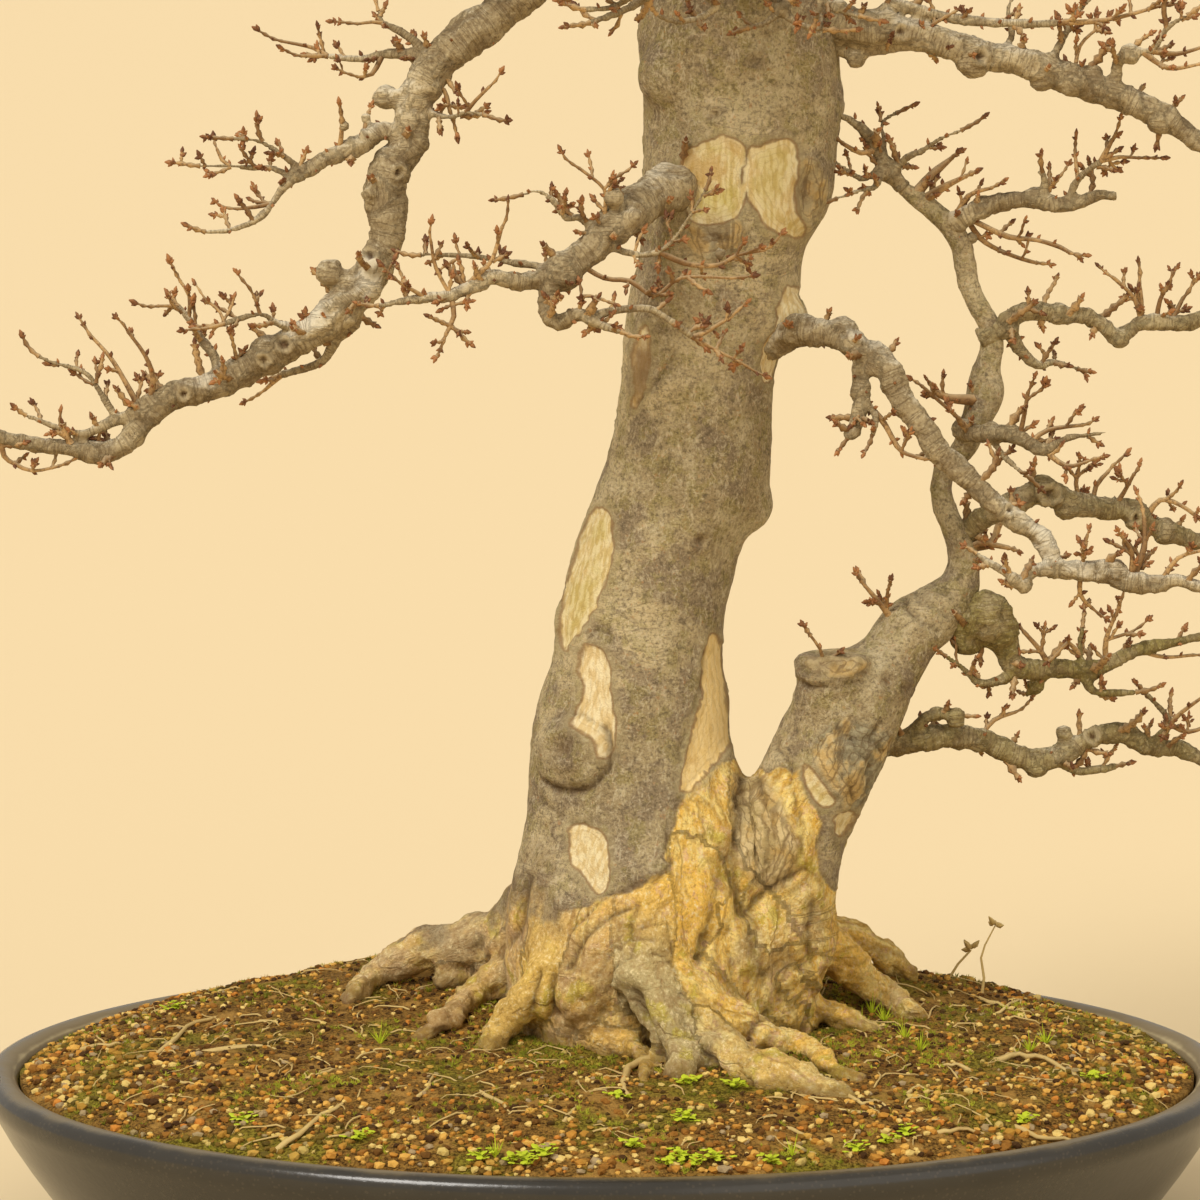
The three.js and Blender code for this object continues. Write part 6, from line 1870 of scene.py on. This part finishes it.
        (62, 326, 30, 15), (40, 333, 90, 12), (5, 338, 130, 9.5), (-35, 334, 165, 7.5),
        (-75, 340, 195, 5.5), (-108, 337, 218, 3.6), (-132, 343, 236, 2),
    ], [], [(5, 338, 10.4), (-36, 334, 8.4)]),
    "back_right_branch": (5, [
        (82, 330, 30, 14), (108, 338, 85, 11.5), (148, 345, 125, 9), (190, 341, 155, 7), (226, 348, 186, 5),
        (256, 344, 210, 3.4), (276, 350, 228, 2),
    ], [], [(149, 345, 10), (191, 341, 8)]),
    "left_middle_branch": (6, [
        (52, 372, 8, 14), (15, 386, -5, 12), (-25, 388, -20, 10), (-66, 378, -30, 8.4), (-106, 383, -40, 7),
        (-148, 373, -46, 5.6), (-190, 377, -50, 4.2), (-226, 370, -53, 3), (-254, 375, -55, 1.8),
    ], [], [(-26, 388, 11.2), (-107, 383, 8)]),
    "right_middle_branch": (6, [
        (80, 364, 10, 14), (118, 378, 0, 11.5), (156, 382, -10, 9.6), (196, 370, -20, 8.2),
        (238, 374, -28, 6.8), (278, 362, -32, 5.4), (314, 367, -35, 4), (346, 360, -38, 2.8),
        (368, 365, -40, 1.7),
    ], [], [(157, 382, 10.6), (239, 374, 7.8)]),
    "front_right_branch": (5, [
        (80, 350, -12, 11), (98, 353, -78, 9.4), (124, 345, -122, 7.6), (150, 349, -162, 5.8),
        (172, 345, -198, 4), (188, 350, -226, 2.2),
    ], [], [(125, 345, 8.6)]),
    "front_upper_branch": (5, [
        (58, 392, -6, 10.5), (30, 399, -64, 8.8), (0, 392, -104, 7), (-30, 398, -140, 5.4),
        (-60, 391, -170, 3.6), (-82, 396, -192, 2),
    ], [], [(0, 392, 8)]),
    "back_upper_branch": (5, [
        (58, 400, 25, 10.5), (62, 410, 80, 8.6), (76, 419, 122, 6.8), (70, 415, 164, 5),
        (86, 421, 198, 3.2), (80, 427, 222, 1.8),
    ], [], [(76, 419, 7.8)]),
    "left_upper_branch": (5, [
        (50, 425, 8, 10), (12, 438, 15, 8.4), (-25, 441, 25, 6.8), (-62, 431, 30, 5.4), (-98, 435, 35, 4),
        (-130, 427, 38, 2.6), (-152, 431, 40, 1.6),
    ], [], [(-26, 441, 7.8)]),
    "right_upper_branch": (5, [
        (60, 418, 8, 10.5), (98, 432, 10, 8.4), (132, 437, 18, 6.8), (168, 426, 24, 5.4), (204, 431, 28, 4),
        (236, 423, 31, 2.6), (258, 427, 33, 1.6),
    ], [], [(133, 437, 7.8)]),
    "front_crown_branch": (4, [
        (52, 440, -2, 8), (62, 449, -48, 6.6), (50, 446, -86, 5.2), (60, 451, -120, 3.6),
        (52, 447, -148, 2),
    ], [], []),
    "back_crown_branch": (4, [
        (46, 455, 16, 7.5), (25, 466, 60, 5.8), (5, 468, 94, 4.4), (-15, 465, 122, 3), (-26, 471, 140, 1.8),
    ], [], []),
    "left_crown_branch": (4, [
        (46, 474, 10, 6.5), (15, 487, 4, 5.2), (-12, 491, -4, 4), (-40, 484, -8, 2.8), (-62, 489, -10, 1.6),
    ], [], []),
    "right_crown_branch": (4, [
        (46, 468, 10, 6.5), (76, 482, 16, 5.2), (104, 487, 20, 4), (132, 480, 24, 2.8), (154, 485, 26, 1.6),
    ], [], []),
    "apex_spray": (0, [
        (44, 502, 12, 8), (47, 526, 12, 5.5), (43, 542, 10, 4), (49, 556, 8, 2.6), (45, 570, 8, 1.4),
    ], [
        (3.4, 1.2, 10, [(46, 522), (30, 532), (16, 535), (4, 543)]),
        (3.2, 1.2, -14, [(46, 518), (62, 528), (78, 530), (90, 538)]),
        (3, 1.1, -44, [(45, 512), (40, 518), (44, 526)]), (2.8, 1.1, 42, [(46, 524), (54, 534), (50, 544)]),
        (2.4, 1, 16, [(44, 540), (58, 548), (68, 556)]), (2.4, 1, -16, [(45, 544), (34, 553), (28, 563)]),
    ], []),
}
print("branches:", len(BRANCHES), "limbs:", sum(len(limbs) for _, _, limbs, _ in BRANCHES.values()))

# %% [markdown]
# From measures to routes
#
# A limb starts at the nearest place of the wood that is already there, so it always grows out of
# something. Every place keeps its position in the front view and its depth along with its point.

# %% Branch routes
def seen_route(rows):
    """Places (point, radius, across, up, depth) of rows (across, up, depth, radius)."""
    made = []
    for across, up, depth, radius in rows:
        point, scale = seen(across, up, depth)
        made.append((point, radius * scale, across, up, depth))
    return made


def refined(route):
    """The route with one more place in the middle of each step."""
    made = [route[0]]
    for before, after in zip(route, route[1:]):
        made.append(tuple((a + b) / 2 for a, b in zip(before, after)))
        made.append(after)
    return made


def nearest_place(routes, across, up):
    return min((place for route in routes for place in route),
        key=lambda place: math.hypot(place[2] - across, place[3] - up))


def limb_route(known, limb):
    thick, thin, depth_change, places = limb
    start = nearest_place(known, *places[0])
    rows = []
    for number, (across, up) in enumerate(places):
        share = number / (len(places) - 1)
        rows.append((across, up, start[4] + depth_change * share, thick + (thin - thick) * share))
    route = seen_route(rows)
    route[0] = (start[0], min(route[0][1], 0.95 * start[1])) + start[2:]
    return route


def lehmer(seed):
    """The plain chain of random numbers that the solids were grown with."""
    state = seed
    while True:
        state = state * 16807 % 2147483647
        yield state / 2147483647


def side_shoot(start, direction, length, thick, lift):
    route = []
    for share in (0, 0.5, 1):
        point = start + direction * length * share
        point.z += lift * share * share - 3 * math.sin(math.pi * share)
        route.append((point, thick + (0.9 - thick) * share))
    return route


def side_shoots(main, count, seed):
    """The fan of side shoots that fills the crown between the measured limbs."""
    chance = lehmer(seed)
    routes = []
    for number in range(count):
        along = 1.6 + (len(main) - 2.9) * number / (count - 1)
        before = int(along)
        start = main[before][0].lerp(main[before + 1][0], along - before)
        thick = 0.5 * (main[before][1] + (main[before + 1][1] - main[before][1]) * (along - before))
        forward = (main[before + 1][0] - main[before][0]).normalized()
        sideways = Vector((0, 0, 1)).cross(forward).normalized() * (1 if number % 2 else -1)
        direction = forward * (0.55 + 0.2 * next(chance)) + sideways * (0.75 + 0.2 * next(chance))
        direction.z += 0.1 + 0.3 * next(chance)
        direction.normalize()
        length = 78 - 7 * number + 22 * next(chance)
        shoot = side_shoot(start, direction, length, max(1.6, thick), 6 + 12 * next(chance))
        fork = direction - 0.7 * sideways + 0.5 * forward
        fork.z += 0.25
        routes.append(shoot)
        if number % 3 == 1:
            routes.append(side_shoot(shoot[1][0], fork.normalized(), length * 0.55, 1.5, 8))
    return routes


# %% [markdown]
# Twigs and buds
#
# A trident maple carries its twigs and buds in pairs, one on each side, and each pair is turned a
# quarter against the one before. Twigs are short after years of pruning, and they bend upwards. Each
# ends in a pointed bud with a pair of smaller buds below it.

# %% Twigs
def bud(point, direction, size):
    """Small spindle with a point."""
    steps = ((-0.1, 0.8), (0.42, 1.1), (1, 0.25))
    return [(point + direction * (2.9 * size * share), width * 0.95 * size) for share, width in steps]


def twig(chance, start, direction, length, radius, twigs, buds, forks):
    """Adds one twig, with swollen nodes, buds in pairs and perhaps a fork, to the lists."""
    heading = direction.copy()
    point = start - direction * 0.6
    route = [(point.copy(), radius * 1.2)]
    steps = max(2, round(length / 4.6))
    turn = chance.uniform(0, math.pi)
    for number in range(steps):
        share = (number + 1) / steps
        heading += Vector((chance.uniform(-0.3, 0.3), chance.uniform(-0.3, 0.3), chance.uniform(-0.12, 0.3)))
        heading.normalize()
        middle = point + heading * (0.5 * length / steps)
        point = point + heading * (length / steps)
        if point.z > CROWN_TOP:
            break
        width = radius * (1 - 0.3 * share)
        route.append((middle, width * 0.84))
        route.append((point.copy(), width * chance.uniform(1.2, 1.7)))
        turn += math.pi / 2
        if number < steps - 1 and chance.random() < 0.4:
            for side in (0, math.pi):
                out = (across_axis(heading, turn + side) + heading * 0.7).normalized()
                if forks and chance.random() < forks:
                    twig(chance, point, out, length * chance.uniform(0.3, 0.6), width * 0.9, twigs, buds, 0)
                elif chance.random() < 0.6:
                    buds.append(bud(point, out, chance.uniform(0.6, 0.95)))
    twigs.append(route)
    tip = route[-1][0]
    buds.append(bud(tip, heading, chance.uniform(0.9, 1.3)))
    for side in (0, 1.6, 3.1, 4.7):
        if chance.random() < 0.75:
            out = (across_axis(heading, turn + side) + heading * chance.uniform(0.2, 1.3)).normalized()
            buds.append(bud(tip - heading * chance.uniform(0.2, 2.2), out, chance.uniform(0.6, 1.15)))


def grow_twigs(chance, route, gap, length, forks, twigs, buds):
    """Sets twigs in opposite pairs along a route of (point, radius)."""
    due = gap * chance.uniform(0.4, 1)
    turn = chance.uniform(0, math.pi)
    for (before, thick), (after, _thin) in zip(route, route[1:]):
        due -= (after - before).length
        if due > 0:
            continue
        due = gap * chance.uniform(0.6, 1.15)
        turn += math.pi / 2 + chance.uniform(-0.4, 0.4)
        forward = (after - before).normalized()
        for side in (0, math.pi):
            outward = across_axis(forward, turn + side)
            wanted = 0.75 + 0.35 * outward.z
            if chance.random() > wanted:
                continue
            direction = (outward + forward * 0.55 + Vector((0, 0, 0.3))).normalized()
            long = length * chance.choice((0.3, 0.4, 0.55, 0.8, 1.25))
            start = before + outward * thick * 0.8
            radius = min(1.8, max(1.05, 0.65 * thick)) * chance.uniform(0.8, 1.25)
            if long < 5:
                buds.append(bud(start, direction, chance.uniform(0.8, 1.1)))
            else:
                twig(chance, start, direction, long, radius, twigs, buds, forks)


# %% [markdown]
# One branch
#
# The main route, the thick limbs and the knobs are fused into one skin and smoothed, so that limbs
# grow out of the wood with a collar. Thin limbs stay plain tubes. The skin then gets rings at the
# nodes and small bumps.

# %% Branch pieces
CROWN_TOP = 884
FINE_SKIN = 1.45
COARSE_SKIN = 1.9
THICK_LIMB = 1.9
CROWN_START = 12
EYES = [
    (-115, 171.5, 4, 5.5), (-158.5, 128, 4.6, 4.6), (-168, 120, 3.6, 3.6), (225, 53, 6, 5),
    (-101, 214, 4, 4), (205, 45, 3.4, 3.4), (268, 41, 3.6, 3.6), (150, 284, 4, 4), (190, 272, 4.2, 4.2),
    (246, -68, 4, 4), (-208, 103, 3.6, 3.6), (-122, 232, 4, 5),
]
LICHENS = [
    (-115, 158, 7, 13), (84, 124, 16, 14), (-150, 140, 13, 7), (222, 28, 9, 10), (248, 10, 15, 8),
    (-196, 108, 10, 6), (60, 255, 12, 6), (-72, 206, 12, 8), (175, 168, 7, 10),
]
BRANCH_MOSS = {"right_stem_spray_low": 0.6, "right_stem_spray_burl": 0.9, "right_stem_spray_middle": 0.5,
    "right_arching_branch": -0.4, "left_falling_branch": -0.2, "right_top_branch": 0.1,
    "right_stem_spray_upper": 0.4}


def knob_route(known, across, up, radius):
    """Short spindle as thick as it is long, which swells the wood around it."""
    place = nearest_place(known, across, up)
    point, scale = seen(across, up, place[4])
    size = radius * scale * 1.08
    return [(point + Vector((0, 0, height * size)), size * math.sqrt(1 - min(0.96, height * height)))
        for height in (-0.98, -0.8, -0.45, 0, 0.45, 0.8, 0.98)]


def branch_parts(rows, number):
    """Routes of one branch: thick ones to fuse, thin ones, twigs and buds."""
    chance = random.Random(300 + number)
    spread, main_rows, limb_rows, knobs = rows
    main = seen_route(main_rows)
    known = [refined(main)]
    limbs = []
    for limb in limb_rows:
        route = limb_route(known, limb)
        limbs.append([place[:2] for place in route])
        known.append(refined(route))
    crown = spread > 0
    if crown:
        limbs += side_shoots(main, spread, 1000 + 77 * number)
    main_flow = uneven(flowing([place[:2] for place in main], 5), chance, 0.2)
    thick, thin, twigs, buds = [main_flow], [], [], []
    flows = []
    for limb in limbs:
        flow = uneven(flowing(limb, 4), chance, 0.24)
        flow[0] = limb[0]
        fuses = limb[0][1] >= THICK_LIMB
        slimmest = 0.8 * (COARSE_SKIN if crown else FINE_SKIN) if fuses else 0.8
        flow = [(point, max(radius, slimmest)) for point, radius in flow]
        flows.append(flow)
        (thick if fuses else thin).append(flow)
    grow_twigs(chance, main_flow, 15 if crown else 20, 14, 0.3, twigs, buds)
    for flow in flows:
        grow_twigs(chance, flow, 8.5, 14 if crown else 10, 0.35, twigs, buds)
        tip, before = flow[-1], flow[-2]
        direction = (tip[0] - before[0]).normalized()
        twig(chance, tip[0], direction, chance.uniform(7, 16), min(tip[1], 1.3), twigs, buds, 0.2)
    for flow in thick[:]:
        thick += nodules(chance, flow, 0.5)
    thick += [knob_route(known, *knob) for knob in knobs]
    return thick, thin, twigs, buds


def fused(name, routes, grain):
    """One closed skin round overlapping routes, with rings, bumps and the eyes of old scars."""
    mesh = fused_skin(tubes(name, routes, 3), grain)
    set_coordinates(mesh, eased(coordinates(mesh), edges_of(mesh), 3, 0.9))
    points, normals = coordinates(mesh), normals_of(mesh)
    laid, _owner, girth = straightened(points, routes)
    bumps = noise_at(points, 9, 4, 3)
    creases = 0.5 - np.abs(noise_at(laid * SQUEEZE, 3.6, 9, 2))
    rings = noise_at(laid * np.array([0.25, 0.25, 1]), 4.5, 13, 2)
    across, up = across_and_up(points)
    wobble = 1.1 * noise_at(points, 3.5, 31, 2)
    eye_push, eye = knot_marks(EYES, across + wobble, up - wobble, facing(points, normals))
    spots = [bell(np.hypot((across - x) / wide, (up - y) / high), 1) for x, y, wide, high in LICHENS]
    push = 1.25 * bumps + 0.6 * creases + 0.5 * rings + 1.5 * eye_push
    strength = np.clip((girth - 0.8) / 3.5, 0.1, 1)
    set_coordinates(mesh, points + normals * (push * strength)[:, None])
    marks = {"bump": bumps, "eye": eye, "lichen": np.max(spots, axis=0), "grain": laid / 1000}
    for mark, values in marks.items():
        set_attribute(mesh, mark, values)
    return mesh


def bushy(name, wood, thin, twigs, buds, moss):
    """One piece of a fused skin, if there is one, and of thin wood, twigs and buds."""
    parts = [wood] if wood else []
    kinds = (("thin wood", thin, 1, TWIG_BARK), ("twigs", twigs, 0, TWIG_BARK), ("buds", buds, 0, BUD_SCALES))
    for part_name, routes, sides_level, bark in kinds:
        if routes:
            parts.append(tubes(part_name, routes, sides_level))
            parts[-1].materials.append(bark)
    whole = joined(name, parts)
    # How much each corner faces up: the bark materials use it for a painted highlight on top, painted shade
    # below, and where lichen gathers.
    set_attribute(whole, "upward", normals_of(whole)[:, 2])
    set_attribute(whole, "moss", [moss] * len(whole.vertices))
    return smooth_shaded(whole)


def make_branch(name, rows, number):
    thick, thin, twigs, buds = branch_parts(rows, number)
    wood = fused(name, thick, COARSE_SKIN if number >= CROWN_START else FINE_SKIN)
    wood.materials.append(BRANCH_BARK)
    return bushy(name + "_wood", wood, thin, twigs, buds, BRANCH_MOSS.get(name, 0.1)), len(twigs), len(buds)


def make_trunk_shoots():
    """The small shoots that stand on the trunk and the second stem themselves."""
    chance = random.Random(77)
    shoots, twigs, buds = [], [], []
    for rows in SPURS:
        flow = uneven(flowing(measured(rows), 4), chance, 0.25)
        shoots.append(flow)
        grow_twigs(chance, flow, 7, 8, 0.3, twigs, buds)
        heading = (flow[-1][0] - flow[-2][0]).normalized()
        twig(chance, flow[-1][0], heading, 7, 1.2, twigs, buds, 0.3)
    return bushy("trunk_shoots", None, shoots, twigs, buds, 0.1)


# %% [markdown]
# Bark of branches, twigs and buds
#
# Branch bark is grey and crossed by fine rings. Pale lichen sits on it in clumps, a painted highlight
# makes the upper side paler and painted shade makes the lower side and the hollows browner, and the low
# branches on the right are green with algae. One-year twigs are tan with a painted highlight on top, and
# bud scales are a shade redder.

# %% Branch materials
def make_branch_bark():
    made, tree = new_material("branch bark", 0.85, 0.2)
    broad, fine = weathered(tree, 26), weathered(tree, 66)
    grain = add_node(tree, "Attribute", attribute_name="grain").outputs["Vector"]
    moss, upward = attribute(tree, "moss"), attribute(tree, "upward")
    tan = blended(tree, broad["Clouds"], 0.38, 0.62, (152, 134, 100), (192, 174, 136))
    patchy = stepped(tree, fine["Clouds"], 0.36, 0.56, 0.4, 1.0)
    green_share = times(tree, stepped(tree, moss, 0.0, 1.0), patchy)
    green = mixed(tree, green_share, tan, srgb(142, 128, 74))
    # Painted highlight: the upper side is paler, less so where moss grows; it is added to the real lichen
    # clumps and spots, and the lichen layer lays both on.
    painted_top_highlight = plus(tree, times(tree, upward, 0.3), times(tree, moss, -0.16))
    clumps = plus(tree, broad["Clouds"], times(tree, fine["Grain"], 0.35))
    spots = times(tree, attribute(tree, "lichen"), 0.4)
    cover = plus(tree, painted_top_highlight, plus(tree, clumps, spots))
    grain_lichen_and_highlight = layered(tree, green, [
        ("dark grain", fine["Grain"], 0.49, 0.38, 0.5, (104, 86, 60)),
        ("pale grain", fine["Grain"], 0.55, 0.68, 0.45, (220, 206, 170)),
        ("lichen", cover, 0.82, 1.14, 0.85, (226, 216, 190)),
    ])
    rings = times(tree, wrinkled(tree, grain, (40, 40, 330)), 0.45)
    ringed = mixed(tree, rings, grain_lichen_and_highlight, srgb(104, 84, 58))
    # Painted shade: hollows between bumps and the lower side of the wood are darkened.
    shaded = layered(tree, ringed, [
        ("painted shade in hollows", attribute(tree, "bump"), 0.0, -0.5, 0.3, (98, 76, 50)),
        ("painted shade underneath", upward, 0.0, -0.8, 0.25, (116, 92, 56)),
    ])
    eye = attribute(tree, "eye")
    callus = times(tree, stepped(tree, eye, 0.08, 0.3), stepped(tree, eye, 0.7, 0.45, 0, 0.6))
    callused = mixed(tree, times(tree, callus, 0.7), shaded, srgb(206, 188, 150))
    eyed = layered(tree, callused, [("eye of a scar", eye, 0.6, 0.95, 0.85, (92, 64, 38))])
    return finish_material(made, eyed, combined(tree, "SUBTRACT", fine["Height"], rings), 0.001, 0.7)


def make_twig_bark():
    made, tree = new_material("twig bark", 0.75, 0.25)
    wear = weathered(tree, 60)
    brown = blended(tree, wear["Clouds"], 0.38, 0.62, (136, 102, 62), (192, 156, 104))
    # Painted highlight: the upper side of each twig is paler.
    lit = layered(tree, brown, [
        ("dark flecks", wear["Grain"], 0.5, 0.4, 0.6, (96, 68, 44)),
        ("painted highlight on top", attribute(tree, "upward"), 0.0, 0.9, 0.5, (206, 184, 144)),
    ])
    return finish_material(made, lit, wear["Grain"], 0.0003, 0.6)


def make_bud_scales():
    made, tree = new_material("bud scales", 0.6, 0.3)
    clouds = weathered(tree, 120)["Clouds"]
    return finish_material(made, blended(tree, clouds, 0.36, 0.64, (104, 66, 40), (176, 122, 74)))


BRANCH_BARK = make_branch_bark()
TWIG_BARK = make_twig_bark()
BUD_SCALES = make_bud_scales()
print("branch materials:", [m.name for m in (BRANCH_BARK, TWIG_BARK, BUD_SCALES)])

# %% [markdown]
# Grow all branches
#
# Every branch becomes one piece that stands for its solid.

# %% All branches
twig_count = bud_count = 0
for number, (name, rows) in enumerate(BRANCHES.items()):
    branch_mesh, more_twigs, more_buds = make_branch(name, rows, number)
    place_piece(branch_mesh, "twig", name)
    twig_count += more_twigs
    bud_count += more_buds
place_piece(make_trunk_shoots(), "twig")
print("twigs:", twig_count, "buds:", bud_count)
